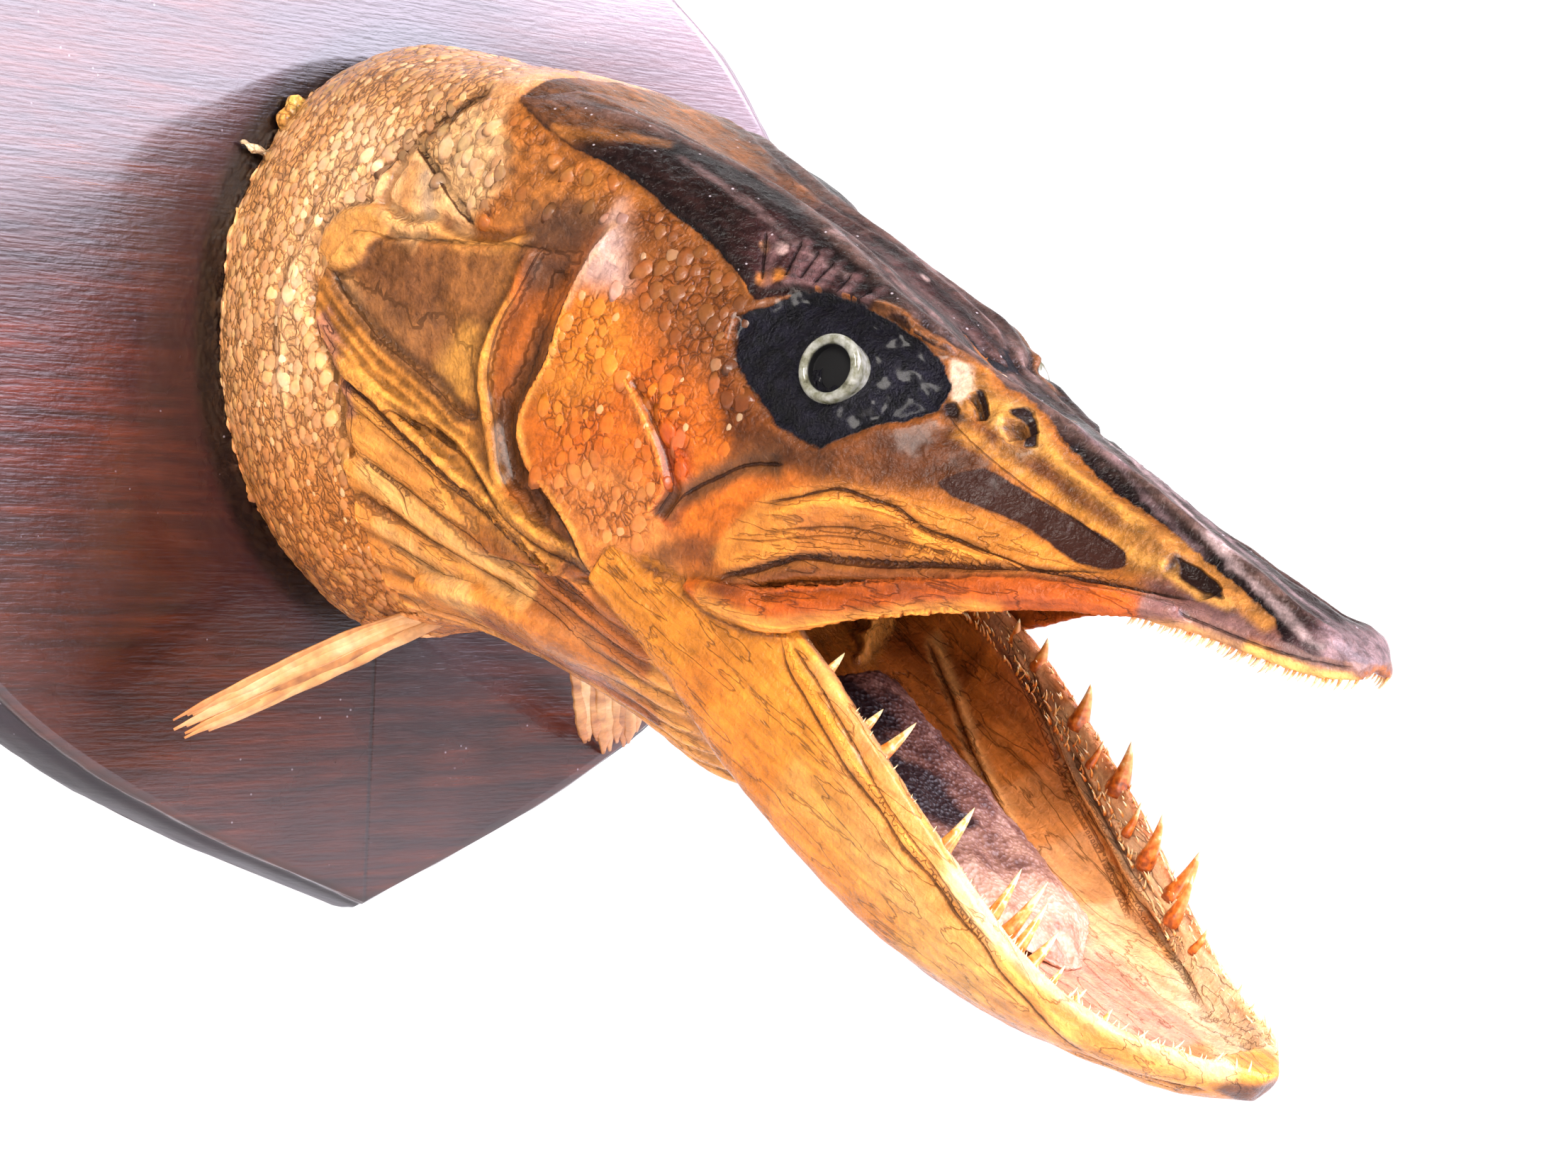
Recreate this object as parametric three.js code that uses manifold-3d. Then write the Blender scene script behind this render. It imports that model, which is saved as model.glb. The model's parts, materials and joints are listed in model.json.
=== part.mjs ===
// Head of a northern pike, dried and varnished with its mouth open, on a shield-shaped wall board.
// Millimetres, +Z up. The flat back of the board lies on the wall plane y = 0 and the fish looks to -Y.
// The origin is on that plane, straight behind the middle of the neck.
import * as THREE from "three";
import { mergeVertices } from "three/addons/utils/BufferGeometryUtils.js";
import Module from "manifold-3d";

const wasm = await Module();
wasm.setup();

// Driving dimensions.
const GAP = 0.3; // between touching pieces
const BOARD_THICKNESS = 16;
const BOARD_TIP = -135; // lowest point of the front face
const BOARD_CREST = 150; // top of the front face
const BOARD_FLARE = { x: 1.07, z: 1.02 }; // back outline against the front one
const NECK = { centre: 1.5, halfWidth: 48.5, halfHeight: 64.5 }; // where it meets the board
const HEAD_ORIGIN = new THREE.Vector3(14.5, -142, -51.5); // midway between the jaw joints
const HEAD_YAW = THREE.MathUtils.degToRad(9.9);
const HEAD_PITCH = THREE.MathUtils.degToRad(5.5);
const GAPE = THREE.MathUtils.degToRad(29.3);
const HEAD_REAR = -62; // the neck ends and the head begins
const ORBIT_FRONT = 58; // the snout begins
const SNOUT_TIP = 143;
const NECK_END = -97;
const THROAT_FRONT = 24;
const EYE = { along: 35, across: 26, height: 46, radius: 9.2 };
const JAW_LENGTH = 150.5;
const JAW_ROOT = -7;
const COVER_THICKNESS = 2.4;
const MEMBRANE_THICKNESS = 2.2;
const MAXILLA_THICKNESS = 2;
const TONGUE = { back: 26, front: 104, halfWidth: 13 };
const FIN = {
  root: new THREE.Vector3(-15, -66, -61),
  tip: new THREE.Vector3(-69, -40, -89),
  across: new THREE.Vector3(0.1, 0.62, -0.78),
  normal: new THREE.Vector3(0, 0.8, 0.6),
  rootHalfWidth: 3.4,
  tipHalfWidth: 7.6,
  arch: 3,
  thickness: 1.8,
};
const FANG_RADIUS = 1.9;
const SMALL_TOOTH = { radius: 0.8, length: 2.5 };
const LOWER_TOOTH_ROW = [119, 145];
const UPPER_TOOTH_ROW = [114, 139];

// Head directions: "along" runs forward from the jaw joints, "across" to one side, "height" upwards.
const place = (along, across, height) => new THREE.Vector3(-across, -along, height);

// A smooth value that passes through the given ones at the given stations.
function follow(stations, values) {
  const slope = (i) => {
    const lower = Math.max(i - 1, 0);
    const upper = Math.min(i + 1, values.length - 1);
    return (values[upper] - values[lower]) / (stations[upper] - stations[lower]);
  };
  return (at) => {
    let i = 0;
    while (i < stations.length - 2 && at > stations[i + 1]) i += 1;
    const span = stations[i + 1] - stations[i];
    const t = THREE.MathUtils.clamp((at - stations[i]) / span, 0, 1);
    const rise = t * t * (3 - 2 * t);
    const bend = span * t * (1 - t) * (slope(i) * (1 - t) - slope(i + 1) * t);
    return values[i] * (1 - rise) + values[i + 1] * rise + bend;
  };
}

// Half cross-sections of the head and neck, at stations along it.
const BODY_STATIONS = [-97, -60, -20, 20, 40, 58, 85, 115, 138, 143];
const body = (values) => follow(BODY_STATIONS, values);
const crownHeight = body([104, 101, 85.5, 70, 59.5, 48.5, 37.5, 23.5, 13, 8.5]);
const ridgeAcross = body([16, 24, 19, 13, 13.5, 10.5, 4.5, 6, 8.5, 3]);
const ridgeHeight = body([102.5, 98.5, 86.5, 71, 60.5, 49.5, 37, 23, 12.5, 8]);
const browAcross = body([33, 36, 31, 23.5, 21, 16.5, 13, 11, 11, 4]);
const browHeight = body([89, 86, 76, 62, 56.5, 46.5, 32, 20, 11, 7.5]);
const cheekAcross = body([44.5, 42.5, 41.5, 36.5, 32.5, 25, 19, 15, 12, 5]);
const cheekHeight = body([50, 48, 46, 41, 40, 33, 22, 15, 9, 7]);
const railAcross = body([42, 42.5, 44, 39.5, 36.5, 33, 27.5, 19.5, 12.5, 5.5]);
const railHeight = body([12, 14, 11, 8, 9.5, 12, 14, 12, 7.5, 6.5]);
const lipAcross = body([34, 39, 43, 39, 35.5, 32, 26.5, 18.5, 12, 5]);
const lipHeight = body([-9, -1, -1, 2, 6, 8.5, 12, 9, 4.5, 5]);
const palateAcross = body([26, 29, 31, 25, 23, 21.5, 18, 13, 8, 3]);
const palateHeight = body([5, 3, 2, 6, 14, 20, 21, 13, 6.5, 5.8]);
const THROAT_STATIONS = [-97, -60, -20, 0, 24];
const throatAcross = follow(THROAT_STATIONS, [20, 25, 24, 22, 16]);
const throatHeight = follow(THROAT_STATIONS, [-23, -19, -27, -30, -38]);
const keelHeight = follow(THROAT_STATIONS, [-27, -22, -33, -38, -44]);

// Half cross-sections of the lower jaw, along the jaw from its joint.
const JAW_STATIONS = [-7, 18, 37, 60, 85, 110, 127, 141, 150.5];
const jaw = (values) => follow(JAW_STATIONS, values);
const rimAcross = jaw([40, 37, 37, 37, 35, 30.5, 24, 15, 3]);
const rimHeight = jaw([8, 16, 16, 12, 6, 0, -0.5, 3, 4.5]);
const wallAcross = jaw([44.5, 42, 40.5, 39.5, 37, 31.5, 24.5, 15.5, 3.5]);
const wallHeight = jaw([0, 2, 2, -2, -6, -8, -6, -2, 1.5]);
const soleAcross = jaw([40, 38, 36, 33, 29, 22, 16, 9, 2]);
const soleHeight = jaw([-7, -11, -16, -19, -20, -17, -12, -7, -1]);
const chinHeight = jaw([-9, -15, -20, -22.5, -22.5, -19, -14, -8, -2]);
const floorHeight = jaw([-4, -8, -12, -13, -13, -10, -7, -2, 2]);
const RIM_THICKNESS = 3.2;

// A smooth plane curve through points.
function curve(points, count) {
  return new THREE.SplineCurve(points.map(([x, y]) => new THREE.Vector2(x, y))).getPoints(count);
}

function upperProfile(at, count = 12) {
  return curve([
    [0, crownHeight(at)],
    [ridgeAcross(at), ridgeHeight(at)],
    [browAcross(at), browHeight(at)],
    [cheekAcross(at), cheekHeight(at)],
    [railAcross(at), railHeight(at)],
    [lipAcross(at), lipHeight(at)],
  ], count);
}

// How far out the side of the head stands at a height.
function sideAcross(at, height) {
  const profile = upperProfile(Math.max(at, NECK_END), 40);
  for (let i = 12; i < profile.length; i += 1) {
    if (profile[i].y <= height) return profile[i].x;
  }
  return profile.at(-1).x;
}

// A half profile and its mirror image make one closed ring.
function ring(half, at) {
  const near = half.map((point) => place(at, point.x, point.y));
  const far = half.slice(1, -1).reverse().map((point) => place(at, -point.x, point.y));
  return [...near, ...far];
}

function headRing(at) {
  const palate = curve([
    [lipAcross(at) - 1.6, lipHeight(at) + 0.2],
    [palateAcross(at), (lipHeight(at) + palateHeight(at)) / 2],
    [palateAcross(at) / 2, palateHeight(at)],
    [0, palateHeight(at) + 1],
  ], 4);
  return ring([...upperProfile(at), ...palate], at);
}

function neckHalf(at) {
  const throat = curve([
    [lipAcross(at), lipHeight(at)],
    [throatAcross(at), throatHeight(at)],
    [0, keelHeight(at)],
  ], 5);
  return [...upperProfile(at), ...throat.slice(1)];
}

function throatRing(at) {
  const top = Math.min(lipHeight(at) - 2, -1 - Math.max(at + 2, 0) * 1.35);
  const side = Math.min(lipAcross(at), 40 - Math.max(at + 30, 0) * 0.35);
  return ring(curve([
    [0, top],
    [side * 0.7, top],
    [side, (top + throatHeight(at)) / 2],
    [throatAcross(at), throatHeight(at)],
    [0, keelHeight(at)],
  ], 9), at);
}

function jawOuterRing(at) {
  return ring(curve([
    [0, rimHeight(at)],
    [rimAcross(at) * 0.6, rimHeight(at)],
    [rimAcross(at), rimHeight(at)],
    [wallAcross(at), wallHeight(at)],
    [soleAcross(at), soleHeight(at)],
    [0, chinHeight(at)],
  ], 11), at);
}

function jawTroughRing(at) {
  const across = Math.max(rimAcross(at) - RIM_THICKNESS, 0.6);
  const floor = floorHeight(at);
  return ring(curve([
    [0, rimHeight(at) + 14],
    [across + 1, rimHeight(at) + 14],
    [across, rimHeight(at)],
    [Math.max(wallAcross(at) - 5, 0.5), Math.max(wallHeight(at), floor + 4)],
    [across * 0.72, floor + 1],
    [0, floor],
  ], 9), at);
}

// A closed skin through rings of equal count, with flat ends.
function loft(rings) {
  const count = rings[0].length;
  const vertices = rings.flat();
  const triangles = [];
  for (let r = 0; r + 1 < rings.length; r += 1) {
    for (let i = 0; i < count; i += 1) {
      const here = r * count + i;
      const next = r * count + ((i + 1) % count);
      triangles.push(here, next, here + count, next, next + count, here + count);
    }
  }
  const total = (points) => points.reduce((sum, point) => sum.add(point), new THREE.Vector3());
  const ends = [[0, 1], [rings.length - 1, 0]];
  for (const [r, turned] of ends) {
    const hub = vertices.length;
    vertices.push(total(rings[r]).divideScalar(count));
    for (let i = 0; i < count; i += 1) {
      const pair = [r * count + i, r * count + ((i + 1) % count)];
      triangles.push(hub, pair[turned], pair[1 - turned]);
    }
  }
  return outward(vertices, triangles);
}

// A plate over a grid of outer points, thickened towards the inside by a vector.
function plate(surface, acrossCount, alongCount, inward) {
  const vertices = [];
  const width = alongCount + 1;
  for (const depth of [0, 1]) {
    for (let i = 0; i <= acrossCount; i += 1) {
      for (let j = 0; j <= alongCount; j += 1) {
        vertices.push(surface(i / acrossCount, j / alongCount).addScaledVector(inward, depth));
      }
    }
  }
  const layer = (acrossCount + 1) * width;
  const triangles = [];
  const quad = (a, b, c, d) => triangles.push(a, b, c, a, c, d);
  for (let i = 0; i < acrossCount; i += 1) {
    for (let j = 0; j < alongCount; j += 1) {
      const corner = i * width + j;
      quad(corner, corner + 1, corner + width + 1, corner + width);
      quad(layer + corner, layer + corner + width, layer + corner + width + 1, layer + corner + 1);
    }
  }
  for (let i = 0; i < acrossCount; i += 1) {
    const start = i * width;
    const end = start + alongCount;
    quad(start + width, layer + start + width, layer + start, start);
    quad(end, layer + end, layer + end + width, end + width);
  }
  for (let j = 0; j < alongCount; j += 1) {
    const last = acrossCount * width + j;
    quad(j, layer + j, layer + j + 1, j + 1);
    quad(last + 1, layer + last + 1, layer + last, last);
  }
  return outward(vertices, triangles);
}

// A geometry whose faces point outwards.
function outward(vertices, triangles) {
  let volume = 0;
  for (let i = 0; i < triangles.length; i += 3) {
    const [a, b, c] = [0, 1, 2].map((corner) => vertices[triangles[i + corner]]);
    volume += a.dot(new THREE.Vector3().crossVectors(b, c));
  }
  const geometry = new THREE.BufferGeometry().setFromPoints(vertices);
  geometry.setIndex(volume > 0 ? triangles : triangles.slice().reverse());
  return geometry;
}

function toSolid(geometry) {
  const bare = geometry.clone();
  bare.deleteAttribute("normal");
  bare.deleteAttribute("uv");
  const merged = mergeVertices(bare, 1e-4);
  return new wasm.Manifold(new wasm.Mesh({
    numProp: 3,
    vertProperties: new Float32Array(merged.attributes.position.array),
    triVerts: new Uint32Array(merged.index.array),
  }));
}

function toGeometry(solid) {
  const mesh = solid.getMesh();
  const geometry = new THREE.BufferGeometry();
  geometry.setAttribute("position", new THREE.BufferAttribute(new Float32Array(mesh.vertProperties), 3));
  geometry.setIndex(new THREE.BufferAttribute(new Uint32Array(mesh.triVerts), 1));
  return geometry;
}

const join = (solids) => solids.reduce((whole, solid) => whole.add(solid));

// What is left of a solid beside its cutters: the largest piece, without the slivers outside a seat.
function cut(solid, cutters) {
  const pieces = cutters.reduce((rest, cutter) => rest.subtract(cutter), solid).decompose();
  return pieces.reduce((largest, piece) => (piece.volume() > largest.volume() ? piece : largest));
}

// Rings pushed out from their middle line, to cut a seat for a piece with a gap round it.
function swell(points, margin) {
  if (margin === 0) return points;
  return points.map((point, i) => {
    const before = points[(i + points.length - 1) % points.length];
    const after = points[(i + 1) % points.length];
    const side = new THREE.Vector3().subVectors(after, before);
    const normal = new THREE.Vector3(-side.z, 0, side.x).normalize();
    return point.clone().addScaledVector(normal, -margin);
  });
}

function steps(from, to, count) {
  return Array.from({ length: count + 1 }, (_, i) => from + ((to - from) * i) / count);
}

// Frames: the fish inside the world, and the lower jaw inside the fish.
const fish = new THREE.Group();
fish.position.copy(HEAD_ORIGIN);
fish.rotation.set(HEAD_PITCH, 0, HEAD_YAW, "ZXY");
fish.updateMatrixWorld(true);
const mandible = new THREE.Group();
mandible.rotation.x = GAPE;
fish.add(mandible);
fish.updateMatrixWorld(true);

function inFish(geometry) {
  return geometry.clone().applyMatrix4(mandible.matrix);
}

// Board: rings of one outline from the front face over a moulded edge to the wall.
function boardOutline() {
  const half = curve([
    [0, BOARD_TIP], [55, -110.5], [94, -84], [121, -48], [131, -8],
    [127, 32], [100, 73], [67, 99], [53, 118], [50, 136],
  ], 24);
  const crest = curve([[50, 136], [28, 146], [0, BOARD_CREST]], 4);
  const right = [...half, ...crest.slice(1)];
  const left = right.slice(1, -1).reverse().map((point) => new THREE.Vector2(-point.x, point.y));
  return [...right, ...left];
}

function buildBoard() {
  const outline = boardOutline();
  const centre = -2.5;
  const moulding = [[0, 0], [0.14, 1], [0.2, 2.6], [0.5, 4], [0.82, 7.5], [1, 12.5], [1, BOARD_THICKNESS]];
  const rings = moulding.map(([flare, depth]) => outline.map((point) => new THREE.Vector3(
    centre + point.x * (1 + (BOARD_FLARE.x - 1) * flare),
    depth - BOARD_THICKNESS,
    point.y * (1 + (BOARD_FLARE.z - 1) * flare),
  )));
  return loft(rings);
}

// Neck: from an upright oval on the board to the section behind the gill covers.
function buildNeck() {
  const sections = steps(NECK_END, HEAD_REAR - GAP, 4).map((at) => ring(neckHalf(at), at)
    .map((point) => fish.localToWorld(point.clone())));
  const first = sections[0];
  const half = neckHalf(NECK_END);
  const lengths = [0];
  for (let i = 1; i < half.length; i += 1) lengths.push(lengths[i - 1] + half[i].distanceTo(half[i - 1]));
  const share = lengths.map((length) => length / lengths.at(-1));
  const angles = [...share, ...share.slice(1, -1).reverse().map((part) => 2 - part)];
  const foot = angles.map((part) => new THREE.Vector3(
    NECK.centre - NECK.halfWidth * Math.sin(Math.PI * part),
    -BOARD_THICKNESS - GAP,
    NECK.halfHeight * Math.cos(Math.PI * part),
  ));
  const between = [0.3, 0.65].map((t) => foot.map((point, i) => {
    const mixed = point.clone().lerp(first[i], t);
    const bulge = 1 + 0.05 * t * (1 - t) * 4;
    mixed.x = NECK.centre + (mixed.x - NECK.centre) * bulge;
    mixed.z *= bulge;
    return mixed;
  }));
  return loft([foot, ...between, ...sections]);
}

// Gill cover: a curved plate from the cheek's rear edge to the rounded corner over the gill slit.
const coverFront = {
  at: follow([0, 0.35, 0.7, 1], [-15, -33, -35, -27]),
  height: follow([0, 0.35, 0.7, 1], [3, 20, 42, 63]),
};
const coverRear = {
  at: follow([0, 0.3, 0.7, 1], [-58, -73, -95, -90]),
  height: follow([0, 0.3, 0.7, 1], [-3, 14, 46, 61]),
};

function buildCover(side, margin) {
  const surface = (u, v) => {
    const up = v * (1 + margin / 15) - margin / 30;
    const back = u * (1 + margin / 12) - margin / 24;
    const at = THREE.MathUtils.lerp(coverFront.at(up), coverRear.at(up), back);
    const level = THREE.MathUtils.lerp(coverFront.height(up), coverRear.height(up), back);
    const height = level + margin * (2 * v - 1);
    const lift = 2.2 * Math.sin(Math.PI * THREE.MathUtils.clamp(u, 0.05, 0.95));
    return place(at, side * (sideAcross(at, height) + lift + margin), height);
  };
  return plate(surface, 7, 6, new THREE.Vector3(side * (COVER_THICKNESS + 3 * margin), 0, 0));
}

// Gill membrane: long folds from the gill slit round to the throat.
const foldTop = [[-86, 45, 30], [-66, 43.5, 4], [-38, 44, -4], [-10, 42, -8], [8, 36, -17]];
const foldBottom = [[-72, 24, -21], [-50, 15, -27], [-20, 12, -37], [0, 10, -43.5], [14, 9, -46.5]];

function buildMembrane(side, margin) {
  const mirrored = ([at, across, height]) => place(at, side * across, height);
  const rail = (points) => new THREE.CatmullRomCurve3(points.map(mirrored));
  const [top, bottom] = [rail(foldTop), rail(foldBottom)];
  const surface = (u, v) => {
    const start = top.getPoint(u);
    const down = bottom.getPoint(u).sub(start);
    const bulge = 5.5 * Math.sin(Math.PI * v) + margin;
    const point = start.addScaledVector(down, v).addScaledVector(down.normalize(), (4 * v - 2) * margin);
    point.x -= side * bulge * 0.7;
    point.y -= (4 * u - 2) * margin;
    point.z -= bulge * 0.7;
    return point;
  };
  const inward = new THREE.Vector3(side * 0.7, 0, 0.7).multiplyScalar(MEMBRANE_THICKNESS + 3 * margin);
  return plate(surface, 9, 4, inward);
}

// Maxilla: the long blade that frames the upper lip.
const maxillaAcross = follow([14, 28, 44, 61, 84, 98, 113], [42, 41.5, 39, 36, 30, 25.5, 21]);
const maxillaTop = follow([14, 28, 44, 61, 84, 98, 113], [3, 4, 7, 11, 14, 15, 14]);
const maxillaBottom = follow([14, 20, 36, 53, 69, 84, 99, 113], [1, -2, -4, 1, 5, 8, 10, 11]);

function buildMaxilla(side, margin) {
  const surface = (u, v) => {
    const at = THREE.MathUtils.lerp(14 - margin, 113 + margin, u);
    const height = THREE.MathUtils.lerp(maxillaBottom(at) - margin, maxillaTop(at) + margin, v);
    return place(at, side * (maxillaAcross(at) + margin + 0.8 * Math.sin(Math.PI * v)), height);
  };
  return plate(surface, 12, 2, new THREE.Vector3(side * (MAXILLA_THICKNESS + 2 * margin), 0, 0));
}

function buildEye(side, margin) {
  const ball = new THREE.SphereGeometry(EYE.radius + margin, 14, 8);
  ball.rotateZ(side * Math.PI / 2);
  const centre = place(EYE.along, side * EYE.across, EYE.height);
  return ball.translate(centre.x, centre.y, centre.z);
}

function buildJaw(margin) {
  const ends = [JAW_ROOT - margin, JAW_LENGTH + margin];
  return loft(steps(ends[0], ends[1], 16).map((at) => swell(jawOuterRing(at), margin)));
}

// A tooth is a cone from its root to its point.
function tooth(root, point, radius, sides = 6) {
  const length = root.distanceTo(point);
  const cone = new THREE.ConeGeometry(radius, length, sides);
  const lean = new THREE.Quaternion().setFromUnitVectors(
    new THREE.Vector3(0, 1, 0),
    point.clone().sub(root).normalize(),
  );
  const middle = root.clone().lerp(point, 0.5);
  return cone.applyQuaternion(lean).translate(middle.x, middle.y, middle.z);
}

const FANGS = [[45, 6], [60, 9], [80, 12], [97, 12], [109, 10]];

function lowerTeeth() {
  const teeth = [];
  for (const side of [1, -1]) {
    for (const [at, length] of FANGS) {
      const root = place(at, side * (rimAcross(at) - 1.6), rimHeight(at) - 1.5);
      const point = place(at - 1, side * (rimAcross(at) - 4.5), rimHeight(at) + length - 1);
      teeth.push(tooth(root, point, FANG_RADIUS));
    }
    for (const at of steps(...LOWER_TOOTH_ROW, 6)) {
      const root = place(at, side * (rimAcross(at) - 1.6), rimHeight(at) - 1);
      const point = place(at - 1.5, side * (rimAcross(at) - 2.4), rimHeight(at) + SMALL_TOOTH.length);
      teeth.push(tooth(root, point, SMALL_TOOTH.radius, 4));
    }
  }
  return teeth;
}

function upperTeeth() {
  const teeth = [];
  for (const side of [1, -1]) {
    for (const at of steps(...UPPER_TOOTH_ROW, 6)) {
      const root = place(at, side * (lipAcross(at) - 1), lipHeight(at) + 1);
      const point = place(at - 1.5, side * (lipAcross(at) - 1.8), lipHeight(at) - SMALL_TOOTH.length);
      teeth.push(tooth(root, point, SMALL_TOOTH.radius, 4));
    }
  }
  return teeth;
}

function buildTongue() {
  const rings = steps(TONGUE.back, TONGUE.front, 10).map((at) => {
    const t = (at - TONGUE.back) / (TONGUE.front - TONGUE.back);
    const halfWidth = TONGUE.halfWidth * Math.sqrt(1 - 0.75 * t * t);
    const bottom = floorHeight(at) + 1.6;
    const top = THREE.MathUtils.lerp(-3.5, -7, t);
    const edge = [halfWidth, (top + bottom) / 2];
    return ring(curve([[0, top], [halfWidth * 0.7, top - 1], edge, [0, bottom]], 7), at);
  });
  return loft(rings);
}

// Pectoral fin: a folded fan of rays that ends in two split tips.
function buildFin(side, margin) {
  const axis = FIN.tip.clone().sub(FIN.root);
  const across = FIN.across.clone().normalize();
  const mirrorPlane = NECK.centre + 6;
  const surface = (u, v) => {
    const halfWidth = THREE.MathUtils.lerp(FIN.rootHalfWidth, FIN.tipHalfWidth, u) + margin;
    const reach = u * (1 - 0.1 * Math.abs(Math.sin(2.2 * Math.PI * v)) * u);
    const point = FIN.root.clone().addScaledVector(axis, reach);
    point.addScaledVector(across, (2 * v - 1) * halfWidth);
    point.addScaledVector(FIN.normal, -margin);
    point.z += FIN.arch * Math.sin(Math.PI * u);
    if (side < 0) point.x = 2 * mirrorPlane - point.x;
    return point;
  };
  return plate(surface, 8, 4, FIN.normal.clone().multiplyScalar(FIN.thickness + 2 * margin));
}

function finish(colour, roughness, metalness = 0) {
  return new THREE.MeshStandardMaterial({ color: colour, roughness, metalness });
}
const varnishedWood = finish(0x4a2118, 0.35);
const driedSkin = finish(0xb9752f, 0.5);
const darkRoof = finish(0x3d2a2a, 0.35);
const amberJaw = finish(0xd08a2c, 0.3);
const palePink = finish(0xc79a86, 0.6);
const blackGlass = finish(0x10110f, 0.05);

function addPiece(group, name, geometry, material) {
  const mesh = new THREE.Mesh(geometry, material);
  mesh.name = name;
  group.add(mesh);
}

const SIDES = [["right", 1], ["left", -1]];
const both = (build, margin) => SIDES.map(([, side]) => toSolid(build(side, margin)));

function buildFish(model) {
  const jawSeat = toSolid(inFish(buildJaw(GAP)));
  const coverSeats = both(buildCover, GAP);
  const membraneSeats = [GAP, 0].flatMap((margin) => both(buildMembrane, margin));
  const maxillaSeats = both(buildMaxilla, GAP);
  const eyeSeats = both(buildEye, GAP);

  const skull = toSolid(loft(steps(HEAD_REAR, ORBIT_FRONT, 14).map(headRing)));
  const headSolid = cut(skull, [...coverSeats, ...maxillaSeats, ...eyeSeats, jawSeat]);
  addPiece(fish, "head", toGeometry(headSolid), darkRoof);

  const snout = toSolid(loft(steps(ORBIT_FRONT + GAP, SNOUT_TIP, 10).map(headRing)));
  const toothedSnout = join([snout, ...upperTeeth().map(toSolid)]);
  addPiece(fish, "upper_jaw", toGeometry(cut(toothedSnout, maxillaSeats)), darkRoof);

  const worldToFish = fish.matrixWorld.clone().invert();
  const neckSolid = toSolid(buildNeck().applyMatrix4(worldToFish));
  const finSeats = SIDES.map(([, side]) => toSolid(buildFin(side, GAP).applyMatrix4(worldToFish)));
  const neckBody = cut(neckSolid, [...coverSeats, ...membraneSeats, ...finSeats]);
  addPiece(fish, "neck", toGeometry(neckBody), driedSkin);

  const throat = toSolid(loft(steps(HEAD_REAR, THROAT_FRONT, 9).map(throatRing)));
  addPiece(fish, "throat", toGeometry(cut(throat, [...coverSeats, ...membraneSeats, jawSeat])), driedSkin);

  const fishToJaw = mandible.matrix.clone().invert();
  const trough = toSolid(loft(steps(JAW_ROOT - 4, JAW_LENGTH - 4, 13).map(jawTroughRing)));
  const maxillaSlots = SIDES.map(([, side]) => toSolid(buildMaxilla(side, GAP).applyMatrix4(fishToJaw)));
  const jawBody = cut(toSolid(buildJaw(0)), [trough, ...maxillaSlots]);
  addPiece(mandible, "lower_jaw", toGeometry(join([jawBody, ...lowerTeeth().map(toSolid)])), amberJaw);
  addPiece(mandible, "tongue", buildTongue(), palePink);

  for (const [name, side] of SIDES) {
    const cover = cut(toSolid(buildCover(side, 0)), [jawSeat]);
    addPiece(fish, `gill_cover_${name}`, toGeometry(cover), driedSkin);
    const membrane = cut(toSolid(buildMembrane(side, 0)), [jawSeat, coverSeats[side > 0 ? 0 : 1]]);
    addPiece(fish, `gill_membrane_${name}`, toGeometry(membrane), driedSkin);
    addPiece(fish, `maxilla_${name}`, buildMaxilla(side, 0), amberJaw);
    addPiece(fish, `eye_${name}`, buildEye(side, 0), blackGlass);
    const fin = cut(toSolid(buildFin(side, 0).applyMatrix4(worldToFish)), membraneSeats);
    addPiece(fish, `pectoral_fin_${name}`, toGeometry(fin), driedSkin);
  }
}

const model = new THREE.Group();
addPiece(model, "board", buildBoard(), varnishedWood);
buildFish(model);
model.add(fish);

export default model;
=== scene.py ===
"""A dried and varnished pike head on a shield-shaped wall board.

The head is one painted skin with scales, fins, teeth, a tongue and glass eyes, on a moulded board.
Sizes are in millimetres until a mesh is made, and metres in the finished meshes.
"""

import json
import math
from typing import NamedTuple

import bpy
import numpy as np
from mathutils import Matrix, Quaternion, Vector, noise
from mathutils.bvhtree import BVHTree

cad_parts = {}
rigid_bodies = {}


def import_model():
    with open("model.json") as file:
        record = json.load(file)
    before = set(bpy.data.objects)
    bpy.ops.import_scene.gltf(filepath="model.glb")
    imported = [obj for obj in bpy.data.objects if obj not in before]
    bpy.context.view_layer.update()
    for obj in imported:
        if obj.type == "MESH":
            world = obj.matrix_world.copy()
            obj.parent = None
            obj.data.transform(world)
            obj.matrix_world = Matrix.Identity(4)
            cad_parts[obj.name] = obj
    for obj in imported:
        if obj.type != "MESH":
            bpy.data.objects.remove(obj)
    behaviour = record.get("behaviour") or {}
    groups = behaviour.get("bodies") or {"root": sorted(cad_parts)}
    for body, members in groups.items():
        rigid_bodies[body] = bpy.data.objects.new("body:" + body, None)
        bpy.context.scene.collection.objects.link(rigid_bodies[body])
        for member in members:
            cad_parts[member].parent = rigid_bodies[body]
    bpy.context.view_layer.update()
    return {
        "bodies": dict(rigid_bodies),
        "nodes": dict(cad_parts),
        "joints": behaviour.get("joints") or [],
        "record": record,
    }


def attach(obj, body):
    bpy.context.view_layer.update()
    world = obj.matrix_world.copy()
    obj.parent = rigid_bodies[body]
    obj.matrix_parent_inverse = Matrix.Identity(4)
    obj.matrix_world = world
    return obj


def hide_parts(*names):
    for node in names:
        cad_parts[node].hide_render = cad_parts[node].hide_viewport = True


bl_info = {
    "name": "Mounted pike head",
    "version": (1, 0, 0),
    "blender": (4, 5, 0),
    "location": "View3D > Sidebar > Pike head",
    "description": "Builds a varnished pike head on its wall board, piece by piece",
    "category": "Object",
}

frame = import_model()

MM = 0.001

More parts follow.
